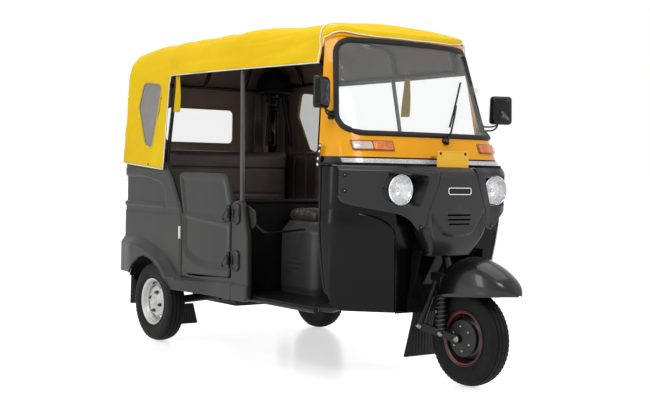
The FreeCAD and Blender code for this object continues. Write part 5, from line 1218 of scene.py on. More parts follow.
def make_headlamp(label, side):
    """Round lamp: thin chrome ring, faceted reflector, bulb cap and clear domed lens; the reflector's
    near-white, half-diffuse finish and the lens's faint white veil are painted reflection that keeps the lamp
    bright
    """
    centre = Vector((side * LAMP_X, -0.950, LAMP_Z))
    axis = Vector((side * -0.05, -1, 0))
    bezel = [(-0.020, 0.074), (-0.004, 0.0790), (0.006, 0.0805), (0.012, 0.0795), (0.014, 0.0770),
             (0.012, 0.0745), (0.005, 0.0735)]
    piece = lathe("headlamp_bezel_" + label, bezel, centre, axis, M["chrome"])
    bowl = [(0.006, 0.0740), (-0.006, 0.066), (-0.022, 0.052), (-0.034, 0.036), (-0.041, 0.020), (-0.043, 0.0)]
    facets = lathe("headlamp_bowl_" + label, bowl, centre, axis, M["reflector"], segments=20)
    facets.data.polygons.foreach_set("use_smooth", [False] * len(facets.data.polygons))
    lens = [(0.006, 0.0745), (0.010, 0.070), (0.018, 0.055), (0.024, 0.035), (0.027, 0.015), (0.0275, 0.0)]
    lathe("headlamp_lens_" + label, lens, centre, axis, M["lens"])
    bulb = [(-0.043, 0.013), (-0.030, 0.012), (-0.018, 0.011), (-0.013, 0.008), (-0.012, 0.0)]
    lathe("headlamp_bulb_" + label, bulb, centre, axis, M["chrome"], segments=24)
    ring = [(-0.014, 0.092), (-0.004, 0.090), (0.000, 0.086), (-0.004, 0.079)]
    lathe("headlamp_gasket_" + label, ring, centre, axis, M["rubber"])
    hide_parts("headlamp_" + label)


# Doors, tub and sills

def edge_distance(p, outline):
    best = 9.0
    count = len(outline)
    for k in range(count):
        ax, ay = outline[k]
        bx, by = outline[(k + 1) % count]
        dx, dy = bx - ax, by - ay
        length = dx * dx + dy * dy
        t = 0.0 if length == 0 else max(0.0, min(1.0, ((p[0] - ax) * dx + (p[1] - ay) * dy) / length))
        best = min(best, math.hypot(p[0] - ax - dx * t, p[1] - ay - dy * t))
    return best


def dense(outline, step):
    """Same outline with points at most a step apart"""
    out = []
    for k in range(len(outline)):
        a, b = Vector(outline[k]), Vector(outline[(k + 1) % len(outline)])
        n = max(1, math.ceil((b - a).length / step))
        out += [tuple(a.lerp(b, t / n)) for t in range(n)]
    return out


def shell_plate(name, outline, place, thickness, relief, material, body, rings=44, centre=None, edge=0.010,
                step=0.012):
    """Pressed panel: rounded rim, worked face and plain back; place(pair, depth below the face)"""
    outline = dense(outline, step)
    count = len(outline)
    if centre is None:
        centre = (sum(p[0] for p in outline) / count, sum(p[1] for p in outline) / count)
    verts = []
    for ring in range(rings):
        t = (ring / rings) ** 1.35
        for p in outline:
            q = (lerp(p[0], centre[0], t), lerp(p[1], centre[1], t))
            d = edge_distance(q, outline) if ring < rings * 0.6 else 1.0
            rim = edge - math.sqrt(max(0.0, edge ** 2 - max(0.0, edge - d) ** 2)) if d < edge else 0.0
            verts.append(place(q, rim + relief(q, d)))
    verts.append(place(centre, relief(centre, 1.0)))
    faces = dome_faces(rings, count, len(verts) - 1)
    back = len(verts)
    for p in outline:
        verts.append(place(p, thickness))
    inner = len(verts)
    for p in outline:
        q = Vector(p).lerp(Vector(centre), 0.04)
        verts.append(place(tuple(q), thickness))
    verts.append(place(centre, thickness))
    end = len(verts) - 1
    for k in range(count):
        n = (k + 1) % count
        faces.append((k, back + k, back + n, n))
        faces.append((back + k, inner + k, inner + n, back + n))
        faces.append((inner + k, end, inner + n))
    piece = mesh_piece(name, verts, faces, material, body)
    flip_out(piece)
    return piece


def near_line(p, line, width):
    """1 on a line of points, falling to 0 at width from it"""
    best = 9.0
    for (ax, ay), (bx, by) in zip(line, line[1:]):
        dx, dy = bx - ax, by - ay
        t = max(0.0, min(1.0, ((p[0] - ax) * dx + (p[1] - ay) * dy) / (dx * dx + dy * dy)))
        best = min(best, math.hypot(p[0] - ax - dx * t, p[1] - ay - dy * t))
    return 1 - smoothstep(best / width)


DOOR = [(0.150, 0.463), (0.622, 0.443), (0.682, 0.492), (0.690, 0.789), (0.710, 0.880), (0.743, 1.020),
        (0.728, 1.046),
        (0.205, 1.046), (0.148, 0.880)]
DOOR_ROUNDS = [0.03, 0.05, 0.04, 0.10, 0.05, 0.03, 0.04, 0.06, 0.10]


def make_door(label, side):
    outline = rounded_outline(DOOR, DOOR_ROUNDS, 6)

    def relief(p, d):
        y, z = p
        out = 0.006
        upper = curve_at([(0.15, 0.765), (0.412, 0.780), (0.55, 0.790), (0.69, 0.800)], y)
        out -= 0.006 * smoothstep((upper - z) / 0.012 + 0.5) * smoothstep((0.62 - abs(y - 0.60)) / 0.10)
        lower = curve_at([(0.15, 0.518), (0.30, 0.517), (0.46, 0.520), (0.612, 0.560), (0.66, 0.60)], y)
        inside = smoothstep((z - lower) / 0.05 + 0.5) * smoothstep((upper - z) / 0.03) * smoothstep(d / 0.05)
        out += 0.012 * inside
        panel = smoothstep((z - upper) / 0.02) * smoothstep((d - 0.022) / 0.03)
        out += 0.005 * panel
        return out

    piece = shell_plate("door_panel_" + label, outline, on_side(side, 0.6405),
                        0.026, relief, M["charcoal"], "door_" + label, rings=60, centre=(0.42, 0.66))
    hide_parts("door_" + label)
    for n, z in enumerate((0.560, 0.823)):
        make_hinge("%s_%d" % (label, n), side, z, label)


ARCH = [(0.735, 0.28), (0.741, 0.364), (0.823, 0.405), (0.887, 0.460), (0.992, 0.512), (1.079, 0.528),
        (1.143, 0.513), (1.230, 0.463),
        (1.280, 0.390), (1.290, 0.28)]


def make_hinge(label, side, z, which):
    """Strap hinge: leaf on the door, knuckle barrel, leaf on the pillar"""
    leaf = rounded_outline([(0.150, z - 0.046), (0.236, z - 0.046), (0.236, z - 0.026), (0.176, z + 0.048),
                            (0.150, z + 0.048)], 0.010)
    shell_plate("hinge_leaf_" + label, leaf, on_side(side, 0.6445), 0.010,
            lambda p, d: 0.002 * near_line(p, [(0.162, z + 0.030), (0.218, z - 0.030)],
            0.010), M["gloss_plastic"], "door_" + which, rings=8, edge=0.003)
    barrel = [(-0.025, 0.002), (-0.0245, 0.0095), (-0.0085, 0.0098), (-0.008, 0.0082), (-0.0075, 0.0098),
              (0.0075, 0.0098), (0.008, 0.0082),
              (0.0085, 0.0098), (0.0245, 0.0095), (0.025, 0.002)]
    lathe("hinge_barrel_" + label, barrel, (side * 0.654, 0.142, z), (0, 0, 1), M["plastic"], "door_" + which,
          segments=32)
    for n, y in enumerate((0.170, 0.215)):
        screw("hinge_screw_%s_%d" % (label, n), (side * 0.6450, y, z + (0.020 if n == 0 else -0.034)),
              (side, 0, 0), 0.005, "door_" + which, M["plastic"])
    base = box_outline(0.050, z - 0.058, 0.132, z + 0.062, 0.036)
    shell_plate("hinge_base_" + label, base, on_side(side, 0.6435), 0.010,
            lambda p, d: 0.003 * smoothstep((d - 0.008)
            / 0.006), M["gloss_plastic"], "cab", rings=10, edge=0.004)


TUB_HALF, TUB_REAR, TUB_CORNER, TUB_INNER = 0.636, 1.462, 0.06, 0.398
TUB_FOOT, BELT = 0.402, 1.104
REAR_LIMIT = 1.4895
TUB_FRONT = [(0.402, 0.690), (0.60, 0.690), (0.785, 0.690), (0.838, 0.708), (0.938, 0.768), (1.022, 0.822),
             (1.063, 0.866), (1.105, 0.905)]
FLARE_TOP = [(0.66, 0.408), (0.72, 0.413), (0.768, 0.432), (0.873, 0.522), (0.93, 0.550), (1.008, 0.578),
             (1.204, 0.622), (1.46, 0.622)]


def tub_skin(y, z):
    """How far the skin stands out from the plain tub side"""
    out = 0.0
    if z > 1.060:
        out -= 0.004 * smoothstep((z - 1.060) / 0.012)
    ledge = smoothstep((y - 0.89) / 0.03)
    curve = curve_at([(0.840, 0.888), (0.922, 0.914), (0.982, 0.979), (1.034, 1.30)], z) if z < 1.034 else 9.0
    panel = smoothstep((z - 0.842) / 0.014) * smoothstep((1.028 - z) / 0.02) * smoothstep((y - curve) / 0.022
            + 0.4)
    out -= 0.012 * panel
    out += 0.005 * math.exp(-((z - 0.838) / 0.012) ** 2) * ledge
    out -= 0.004 * smoothstep((z - 0.792) / 0.010 + 0.5) * smoothstep((0.834 - z) / 0.010)
    top = curve_at(FLARE_TOP, y)
    inside = min(1.0, max(0.0, (top - z) / 0.040 + 0.1))
    out += lerp(0.049, 0.027, smoothstep((y - 1.24) / 0.20)) * inside
    return out


def make_quarter_panel(label, side):
    columns, count = 210, 150
    rows = []
    half, rear, corner, inner = TUB_HALF, TUB_REAR, TUB_CORNER, TUB_INNER
    for r in range(count + 1):
        z = lerp(TUB_FOOT, BELT, r / count)
        front = curve_at(TUB_FRONT, z)
        row = []
        for c in range(10):
            t = c / 10
            a = t * math.pi / 2
            row.append(Vector((side * (half - 0.030 + 0.030 * math.sin(a)),
                               front + 0.014 * (1 - math.cos(a)) * 0.4 + 0.010 * (1 - t), z)))
        side_length = rear - corner - front
        for c in range(columns + 1):
            t = c / columns
            s = t * (side_length + corner * math.pi / 2 + half - corner - inner)
            if s < side_length:
                y = front + 0.004 + s * (side_length - 0.004) / side_length
                lift = tub_skin(y, z)
                roll = max(0.0, 1 - s / 0.03)
                x = half + lift - 0.006 * roll * roll
                row.append(Vector((side * x, y, z)))
            elif s < side_length + corner * math.pi / 2:
                a = (s - side_length) / corner
                lift = tub_skin(rear - 0.02, z)
                fade = 1 - smoothstep(a / (math.pi / 2)) * 0.2
                radius = corner + lift * fade
                row.append(Vector((side * (half - corner + radius * math.cos(a)),
                                   min(REAR_LIMIT, rear - corner + radius * math.sin(a)), z)))
            else:
                x = half - corner - (s - side_length - corner * math.pi / 2)
                lift = tub_skin(rear - 0.02, z) * 0.8
                lift *= smoothstep((x - inner) / 0.05) if lift > 0.004 else 1.0
                row.append(Vector((side * x, min(REAR_LIMIT, rear + lift), z)))
        rows.append(row)
    piece = sheet("quarter_" + label, rows, M["charcoal"], 0.005, 1 if side > 0 else -1)
    arch = rounded_outline(ARCH, 0.07, 8)
    cut_out(piece, arch, lambda p, far: (side * lerp(0.50, 0.76, far), p[0], p[1]))
    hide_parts("quarter_panel_" + label)
    lip = [(side * 0.686, p[0], p[1]) for p in arch if p[1] > 0.40]
    tube("arch_lip_" + label, lip, 0.006, M["gloss_plastic"], smooth_path=False)
    # Liner inside the arch in the near-black finish: painted shade for the dark gap round the tyre
    liner = []
    for d in range(26, 157, 4):
        a = math.radians(d)

        def ray(r):
            return REAR_AXLE_Y + r * math.cos(a), WHEEL_RADIUS + r * math.sin(a)

        far = next((r / 500 for r in range(140, 230) if edge_distance(ray(r / 500), arch) < 0.004), 0.281)
        liner += [Vector((side * x, *ray(far))) for x in (0.500, 0.58, 0.630 if d > 100 else 0.680)]
    mesh_piece("arch_liner_" + label, liner, grid_faces(len(liner) // 3, 3), M["dark"])
    bead = [(side * (half - 0.002), curve_at(TUB_FRONT, z) + 0.002, z)
            for z in [lerp(0.78, 1.10, t / 20) for t in range(21)]]
    tube("tub_edge_bead_" + label, bead, 0.007, M["gloss_plastic"])
    shell_plate("side_reflector_" + label, box_outline(0.671, 0.648, 0.689, 0.724, 0.004),
                lambda p, depth: Vector((side * (0.6475 - depth), p[0] + 0.03,
                                         p[1])), 0.010, flat, M["reflex"], "cab", rings=8, edge=0.003)


def make_rear_panel():
    rows = []
    for r in range(91):
        z = lerp(TUB_FOOT, BELT, r / 90)
        row = []
        for c in range(81):
            x = lerp(-0.395, 0.395, c / 80)
            frame = smoothstep((0.36 - abs(x)) / 0.02) * smoothstep((z - 0.46) / 0.02) * smoothstep((1.03 - z)
                    / 0.02)
            lift = -0.010 * frame + 0.004 * math.exp(-((z - 0.83) / 0.02) ** 2)
            row.append(Vector((x, 1.462 + lift, z)))
        rows.append(row)
    piece = sheet("rear_cover", rows, M["charcoal"], 0.004, 1)
    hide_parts("rear_panel")
    outline = box_outline(-0.26, 0.86, 0.26, 0.97, 0.012)
    shell_plate("rear_plate_place", outline, on_rear(1.4585), 0.004, flat, M["plate"], "cab", rings=10,
                edge=0.002)
    handle = [(-0.06, 1.462, 0.735), (-0.06, 1.484, 0.735), (0.06, 1.484, 0.735), (0.06, 1.462, 0.735)]
    tube("rear_handle", handle, 0.006, M["plastic"])


def make_tail_lamp(label, side):
    outline = box_outline(0.460, 0.782, 0.540, 0.888, 0.014)
    at = on_rear(REAR_LIMIT, side)
    ribs = lambda p, d: 0.0015 * (0.5 + 0.5 * math.cos(p[1] * 2 * math.pi / 0.008)) * smoothstep((d - 0.008)
            / 0.01)
    piece = shell_plate("tail_lens_" + label, outline, at, 0.018, ribs, M["red"], "cab", rings=26, edge=0.006,
                        step=0.004)
    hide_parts("tail_lamp_" + label)
    amber = box_outline(0.462, 0.838, 0.538, 0.886, 0.010)
    shell_plate("tail_turn_" + label, amber, on_rear(1.4897, side), 0.012, ribs, M["amber"], "cab", rings=20,
                edge=0.005, step=0.004)
    rim = box_outline(0.452, 0.774, 0.548, 0.896, 0.018)
    shell_plate("tail_base_" + label, rim, on_rear(1.474, side), 0.016, flat, M["plastic"], "cab", rings=8,
                edge=0.004)


# Wheels

WHEEL_RADIUS, HALF_TRACK = 0.243, 0.615
FRONT_AXLE_Y, REAR_AXLE_Y = -1.1325, 0.9925
AXLES = {
    "front_wheel": (0.0, FRONT_AXLE_Y, WHEEL_RADIUS),
    "rear_wheel_right": (-HALF_TRACK, REAR_AXLE_Y, WHEEL_RADIUS),
    "rear_wheel_left": (HALF_TRACK, REAR_AXLE_Y, WHEEL_RADIUS),
}


def tyre_profile():
    """Cross-section of a ribbed tyre from one bead over the tread to the other: place across, radius"""
    side = [(0.041, 0.1385), (0.0445, 0.1440), (0.0475, 0.1465), (0.0465, 0.1500), (0.0500, 0.1580),
            (0.0545, 0.1700), (0.0565, 0.1850),
            (0.0562, 0.1990), (0.0550, 0.2080), (0.0556, 0.2100), (0.0545, 0.2125), (0.0525, 0.2200), (0.0495,
            0.2280), (0.0455, 0.2340)]
    tread = []
    grooves = (0.0330, 0.0120)
    for x in [0.0430 - 0.001 * k for k in range(0, 87)]:
        radius = 0.2428 - 4.6 * x * x
        for g in grooves:
            gap = abs(abs(x) - g)
            if gap < 0.0032:
                radius -= 0.0065 * (1 - max(0.0, (gap - 0.0016) / 0.0016))
        tread.append((x, radius))
    left = [(-x, r) for x, r in reversed(side)]
    return side + tread + left


def make_tyre(name, centre, body):
    profile = tyre_profile()
    segments = 180
    centre = Vector(centre)
    verts = []
    for k in range(segments):
        a = 2 * math.pi * k / segments
        for x, r in profile:
            if abs(x) > 0.034 and abs(x) < 0.0535 and r > 0.222:
                notch = 0.5 + 0.5 * math.cos(a * 60)
                r -= 0.0035 * smoothstep((notch - 0.72) / 0.2)
            zig = 0.0011 * math.sin(a * 60) if abs(x) < 0.040 and r > 0.23 else 0.0
            verts.append(centre + Vector((x + zig, r * math.cos(a), r * math.sin(a))))
    piece = mesh_piece(name, verts, wheel_faces(segments, len(profile)), M["tyre"], body)
    flip_out(piece)
    return piece


def pressed_disc(name, centre, side, body, material, holes):
    """Wheel disc with ventilation holes pressed through it"""
    centre = Vector(centre)
    profile = [(0.030, 0.020), (0.034, 0.034), (0.036, 0.040), (0.034, 0.046), (0.026, 0.052), (0.022, 0.062),
               (0.023, 0.074), (0.020, 0.088),
               (0.010, 0.102), (0.001, 0.112), (-0.004, 0.1185), (-0.004, 0.1255)]
    fine = []
    for (a, r0), (b, r1) in zip(profile, profile[1:]):
        steps = max(1, round((r1 - r0) / 0.003))
        fine += [(lerp(a, b, t / steps), lerp(r0, r1, t / steps)) for t in range(steps)]
    fine.append(profile[-1])
    segments = 120
    verts = []
    for k in range(segments):
        angle = 2 * math.pi * k / segments
        for across, r in fine:
            verts.append(centre + Vector((side * across, r * math.cos(angle), r * math.sin(angle))))
    piece = mesh_piece(name, verts, wheel_faces(segments, len(fine)), material, body)
    modify(piece, "SOLIDIFY", thickness=0.004, offset=0)
    bake(piece)
    for n in range(holes):
        a = 2 * math.pi * (n + 0.5) / holes
        outline = []
        for t in range(24):
            b = 2 * math.pi * t / 24
            along, across = 0.019 * math.cos(b), 0.0075 * math.sin(b)
            r = 0.099 + across
            outline.append((centre.y + r * math.cos(a + along / 0.099),
                            centre.z + r * math.sin(a + along / 0.099)))
        cut_out(piece, outline, lambda p, far: (centre.x + side * lerp(-0.02, 0.04, far), p[0], p[1]))
    return piece


def make_rim(name, centre, side, body, paint, holes, studs, red_ring):
    centre = Vector(centre)
    barrel = [(0.0478, 0.1410), (0.0492, 0.1432), (0.0505, 0.1428), (0.0505, 0.1400), (0.0470, 0.1360),
            (0.0440, 0.1300), (0.0380, 0.1262),
            (0.0250, 0.1240), (0.0200, 0.1180), (0.0120, 0.1155), (-0.0100, 0.1155), (-0.0180,
            0.1180), (-0.0250,
            0.1240), (-0.0380, 0.1262),
            (-0.0440, 0.1300), (-0.0470, 0.1360), (-0.0505, 0.1400), (-0.0505, 0.1428), (-0.0492,
            0.1432), (-0.0478,
            0.1410)]
    piece = lathe(name, [(a * side, r) for a, r in barrel], centre, (1, 0, 0), paint, body, segments=128)
    flip_out(piece)
    pressed_disc(name + "_disc", centre, side, body, paint, holes)
    if red_ring:
        ring = [(0.0415, 0.1268), (0.0450, 0.1290), (0.0462, 0.1312), (0.0470, 0.1338), (0.0462, 0.1345)]
        lathe(name + "_red_line", [(a * side + 0.0006 * side, r - 0.0010) for a, r in ring], centre, (1, 0, 0),
              M["red_paint"], body, segments=128)
    hub = [(0.050, 0.0), (0.050, 0.010), (0.048, 0.017), (0.036, 0.0195), (0.034, 0.026), (0.030, 0.030),
           (0.020, 0.031)]
    lathe(name + "_cap", [(a * side, r) for a, r in hub], centre, (1, 0, 0), M["plastic"] if red_ring
          else M["rim_silver"], body, segments=48)
    for n in range(studs):
        a = 2 * math.pi * n / studs + 0.3
        place = centre + Vector((side * 0.030, 0.060 * math.cos(a), 0.060 * math.sin(a)))
        nut = [(-0.008, 0.0115), (0.006, 0.0112), (0.009, 0.0085), (0.009, 0.0055), (0.016, 0.0052),
               (0.017, 0.0)]
        lathe("%s_nut_%d" % (name, n), nut, place, (side, 0, 0), M["dark_steel"], body, segments=6)
    valve = centre + Vector((side * 0.030, 0.0, 0.118))
    lathe(name + "_valve", [(-0.010, 0.0035), (0.014, 0.0033), (0.014, 0.0042), (0.022, 0.0040), (0.0225, 0.0)],
          valve, (side, 0, -0.35), M["rubber"], body, segments=16)
    return piece


def make_wheels():
    for name, centre in AXLES.items():
        front = name == "front_wheel"
        tyre = make_tyre(name + "_rubber", centre, name)
        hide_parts(name + "_tyre")
        side = -1 if front or "right" in name else 1
        paint, holes, studs = (M["rim_black"], 0, 5) if front else (M["rim_silver"], 8, 4)
        rim = make_rim(name + "_pressing", centre, side, name, paint, holes, studs, front)
        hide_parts(name + "_rim")
        if not front:
            make_rear_drum(name, Vector(centre), -side)


def make_rear_drum(name, centre, side):
    drum = [(0.004, 0.092), (0.040, 0.092), (0.044, 0.088), (0.044, 0.060), (0.048, 0.050), (0.048, 0.0)]
    piece = lathe(name + "_drum", drum, centre, (side, 0, 0), M["cast"], name, segments=64)
    flip_out(piece)
# Small parts on the front

def hit(node, origin, direction):
    """Where a ray meets a piece of the frame"""
    found, place = nodes[node].ray_cast(Vector(origin), Vector(direction).normalized())[:2]
    return place if found else None


def ribbon(name, points, across, thick, material, body="cab"):
    """Flat strip along points, as wide as the given direction is long"""
    across = Vector(across)
    verts = []
    for p in points:
        verts += [Vector(p) - across / 2, Vector(p) + across / 2]
    piece = mesh_piece(name, verts, grid_faces(len(points), 2), material, body)
    modify(piece, "SOLIDIFY", thickness=thick, offset=0)
    modify(piece, "BEVEL", width=thick * 0.3, segments=2)
    return bake(piece)


def make_indicator(label, side):
    """Lamp on the cowl: clear ribbed outer part and stepped amber inner part on a dark base"""
    out = Vector((side * 0.61, -0.793, 0))

    def place_at(stand):
        def place(p, depth):
            spot = hit("screen_frame", (side * p[0], -3, p[1]), (0, 1, 0)) or Vector((side * p[0], -0.87, p[1]))
            return spot + out * (stand - depth)
        return place

    def part(name, x0, x1, z0, z1, stand, relief, material, corner=0.009):
        outline = box_outline(x0, z0, x1, z1, corner)
        return shell_plate(name + label, outline, place_at(stand), stand, relief, M[material], "cab", rings=24,
                           edge=0.005, step=0.006)

    base = part("indicator_base_", 0.292, 0.494, 1.183, 1.235, 0.010, flat, "amber_dark")
    ribs = lambda p, d: 0.0012 * (0.5 + 0.5 * math.cos(p[1] * 2 * math.pi / 0.0065)) * smoothstep((d - 0.004)
            / 0.004)
    part("indicator_clear_", 0.410, 0.489, 1.190, 1.228, 0.017, ribs, "clear_lens")
    step = lambda p, d: 0.006 * smoothstep((0.352 - p[0]) / 0.006) + 0.001 * math.cos(p[0] * 2 * math.pi
            / 0.009)
    part("indicator_amber_", 0.297, 0.406, 1.188, 1.230, 0.020, step, "amber")
    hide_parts("indicator_" + label)


def make_number_plate():
    """Blank plate with a pressed rim on two bent brackets"""
    outline = [(-0.110, 1.094), (-0.022, 1.094), (-0.018, 1.084), (0.020, 1.084), (0.024, 1.094),
               (0.110, 1.094), (0.110, 1.189), (-0.110, 1.189)]
    outline = rounded_outline(outline, [0.010, 0.002, 0.003, 0.003, 0.002, 0.010, 0.012, 0.012], 5)
    rim = lambda p, d: 0.0016 * smoothstep((d - 0.006) / 0.003)
    piece = shell_plate("plate_blank", outline, on_front(-0.980), 0.004, rim, M["plate"], "cab", rings=40,
                        edge=0.002)
    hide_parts("number_plate")
    for side in (-1, 1):
        screw("plate_screw_%s" % ("right" if side < 0 else "left"), (side * 0.086, -0.9785, 1.176), (0, -1, 0),
              0.0048)
        bracket = [(side * 0.06, -0.974, 1.120), (side * 0.06, -0.974, 1.150), (side * 0.06, -0.968, 1.156),
                   (side * 0.06, -0.89, 1.158)]
        ribbon("plate_bracket_%s" % ("right" if side < 0 else "left"), bracket, (0.022, 0, 0), 0.003,
               M["plastic"])


def make_wiper():
    """Wiper on its spindle, lying over the glass"""
    def over(x, z, stand):
        spots = [hit(node, (x, -3, z), (0, 1, 0))
                 for node in ("windscreen_glass", "screen_seal", "screen_frame")]
        return min((p for p in spots if p), key=lambda p: p.y) + Vector((0, -stand, 0))

    spindle = hit("screen_frame", (0.052, -3, 1.240), (0, 1, 0))
    profile = [(-0.004, 0.019), (0.004, 0.019), (0.007, 0.016), (0.012, 0.015), (0.020, 0.013), (0.026, 0.012),
               (0.029, 0.009), (0.030, 0.0)]
    lathe("wiper_spindle", profile, spindle, (0, -1, -0.25), M["gloss_plastic"], segments=32)
    arm = [spindle + Vector((0, -0.022, 0)), over(0.085, 1.290, 0.024), over(0.150, 1.372, 0.020),
           over(0.196, 1.440, 0.014)]
    ribbon("wiper_arm", arm, (0.010, 0, -0.006), 0.004, M["gloss_plastic"])
    blade = [over(lerp(0.108, 0.286, t / 8), lerp(1.318, 1.570, t / 8), 0.009) for t in range(9)]
    piece = tube("wiper_blade", blade, 0.0042, M["gloss_plastic"])
    edge = [p + Vector((0, 0.005, 0)) for p in blade]
    ribbon("wiper_rubber", edge, (0.001, 0.008, 0), 0.002, M["rubber"])
    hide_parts("wiper")


MIRROR = {"right": Vector((-0.622, -0.676, 1.4715)), "left": Vector((0.644, -0.676, 1.4355))}


def make_mirror(label, side):
    """Turned-out mirror: faceted shell, rim, glass and a bent double rod"""
    centre = MIRROR[label]
    turn = Matrix.Rotation(math.radians(-25 * side), 3, "Z")
    half, tall = 0.066, 0.0805
    outline = rounded_outline([(-half, -tall), (half, -tall), (half * 0.94, tall), (-half * 0.94, tall)], 0.022,
                              6)
    rings = [(0.93, 0.016), (0.965, 0.0195), (1.0, 0.018), (1.0, 0.004), (0.975, -0.004), (0.93, -0.008),
             (0.80, -0.017), (0.76, -0.0185), (0.70, -0.0185), (0.3, -0.0195), (0.0, -0.0195)]
    verts = []
    for scale, depth in rings:
        for p in outline:
            bulge = 0.003 * (1 - (p[0] / half) ** 2) if scale < 0.9 else 0.0
            verts.append(centre + turn @ Vector((p[0] * scale, depth - bulge, p[1] * scale)))
    piece = mesh_piece("mirror_shell_" + label, verts, grid_faces(len(rings), len(outline), closed=True),
                       M["gloss_plastic"])
    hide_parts("mirror_" + label)
    glass = [centre + turn @ Vector((p[0] * 0.94, 0.0165, p[1] * 0.94))
             for p in outline] + [centre + turn @ Vector((0, 0.0180, 0))]
    count = len(outline)
    mesh_piece("mirror_face_" + label, glass, dome_faces(1, count, count), M["mirror"])
    inner = centre + Vector((-side * 0.020, 0.0, -tall + 0.006))
    for n, drop in enumerate((0.0, 0.022)):
        rod = [inner + Vector((0, 0.004, 0.012)), inner + Vector((0, 0.004, -0.008 - drop * 0.4)),
                inner + Vector((-side * 0.030, 0.010, -0.020 - drop)),
                inner + Vector((-side * 0.065, 0.030, -0.022 - drop)), Vector((side * 0.517, -0.622,
                inner.z - 0.020 - drop))]
        tube("mirror_rod_%s_%d" % (label, n), rod, 0.0048, M["gloss_plastic"])
    foot = box_outline(-0.018, -0.030, 0.018, 0.016, 0.008)
    way = Vector((side * 0.90, -0.42, 0.0)).normalized()
    across = Vector((-way.y, way.x, 0))
    at = Vector((side * 0.521, -0.618, inner.z - 0.028))
    shell_plate("mirror_foot_" + label, foot, lambda p,
                depth: at + across * p[0] + Vector((0, 0, p[1])) + way * (0.006 - depth), 0.010, flat,
                M["gloss_plastic"], "cab", rings=10, edge=0.004)


def make_rivet_strip(label, side):
    """Black strip with four rivets where the orange screen frame meets the black body"""
    line = [(0.5745, 1.214), (0.5790, 1.160), (0.5870, 1.140), (0.5880, 1.095)]
    ribbon("rivet_strip_" + label, [(side * x, -0.600, z) for x, z in line], (0, 0.018, 0), 0.003, M["rubber"])
    for n, (x, z) in enumerate(((0.5760, 1.203), (0.5785, 1.174), (0.5885, 1.136), (0.5895, 1.107))):
        screw("rivet_%s_%d" % (label, n), (side * x, -0.600, z), (side, 0, 0), 0.0045, material=M["chrome"])


# Steered parts and mudflaps

def make_flap(name, outline, place, ribs_at, material, body="cab"):
    """Moulded rubber flap with upright ribs"""
    ribs = lambda p, d: 0.0022 * (0.5 + 0.5 * math.cos(p[0] * 2 * math.pi / ribs_at)) * smoothstep((d - 0.006)
            / 0.006)
    return shell_plate(name, rounded_outline(outline, 0.008, 4), place, 0.006, ribs, material, body, rings=60,
                       edge=0.002, step=0.006)


def make_flaps():
    outline = [(-0.138, 0.106), (0.138, 0.106), (0.086, 0.300), (0.060, 0.456), (-0.060, 0.456),
               (-0.086, 0.300)]
    piece = make_flap("front_flap", outline, on_front(-0.787), 0.021, M["rubber"])
    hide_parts("front_mudflap")
    for label, side in SIDES:
        low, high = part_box("rear_mudflap_" + label)
        x0, x1, z0, z1 = min(abs(low[0]), abs(high[0])), max(abs(low[0]), abs(high[0])), low[2], high[2]
        outline = [(x0 - 0.004, z0), (x1 + 0.004, z0), (x1, z1), (x0, z1)]
        back = max(low[1], high[1]) + 0.001
        piece = make_flap("rear_flap_" + label, outline, on_rear(back, side), 0.017, M["rubber"])
        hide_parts("rear_mudflap_" + label)


def make_engine_flap():
    """Rubber apron that hangs behind the right-hand trailing arm"""
    outline = [(-0.470, 0.086), (-0.332, 0.086), (-0.366, 0.215), (-0.450, 0.215)]
    make_flap("arm_flap", outline, on_front(1.004), 0.019, M["rubber"])


def helix(centre, axis, radius, turns, length, start=0.0, steps=16):
    axis = Vector(axis).normalized()
    side = axis.orthogonal().normalized()
    up = axis.cross(side)
    centre = Vector(centre)
    count = int(turns * steps)
    return [centre + axis * (length * k / count) + (side * math.cos(2 * math.pi * k / steps + start) + up
            * math.sin(2 * math.pi * k / steps + start)) * radius
            for k in range(count + 1)]


def make_front_suspension():
    """Coil spring, link bolts and brake plate on the right-hand side of the front wheel"""
    foot = Vector((-0.086, -1.015, 0.272))
    head = Vector((-0.086, -1.015, 0.452))
    axis = head - foot
    tube("front_coil", helix(foot, axis, 0.026, 8, axis.length), 0.0055, M["dark_steel"], body="steering")
    lathe("front_damper", [(-0.022, 0.0), (-0.022, 0.014), (0.0, 0.016), (0.004, 0.029), (0.008, 0.029),
            (0.010, 0.016), (0.085, 0.016), (0.086, 0.009),
            (axis.length - 0.006, 0.009), (axis.length - 0.004, 0.029), (axis.length,
            0.030), (axis.length + 0.010, 0.018), (axis.length + 0.012, 0.0)],
            foot, axis, M["plastic"], "steering", segments=32)
    for n, place in enumerate(((-0.097, -0.850, 0.278), (-0.097, -1.015, 0.2576),
                               (-0.097, FRONT_AXLE_Y, WHEEL_RADIUS))):
        nut = [(-0.016, 0.017), (0.0, 0.017), (0.001, 0.012), (0.008, 0.0115), (0.010, 0.009), (0.010, 0.006),
               (0.016, 0.0055), (0.017, 0.0)]
        lathe("link_nut_%d" % n, nut, place, (-1, 0, 0), M["steel"], "steering", segments=6 if n else 24)
    plate = [(-0.004, 0.094), (0.004, 0.094), (0.006, 0.090), (0.006, 0.078), (0.010, 0.072), (0.012, 0.050),
             (0.018, 0.044), (0.019, 0.024), (0.026, 0.020), (0.027, 0.0)]
    lathe("brake_plate", plate, (-0.046, FRONT_AXLE_Y, WHEEL_RADIUS), (-1, 0, 0), M["cast"], "steering",
          segments=64)
    for n in range(6):
        a = 2 * math.pi * n / 6 + 0.4
        place = (-0.056, FRONT_AXLE_Y + 0.062 * math.cos(a), WHEEL_RADIUS + 0.062 * math.sin(a))
        lathe("brake_bolt_%d" % n, [(0.0, 0.0062), (0.006, 0.006), (0.008, 0.004), (0.008, 0.0)], place,
              (-1, 0, 0), M["steel"], "steering", segments=6)


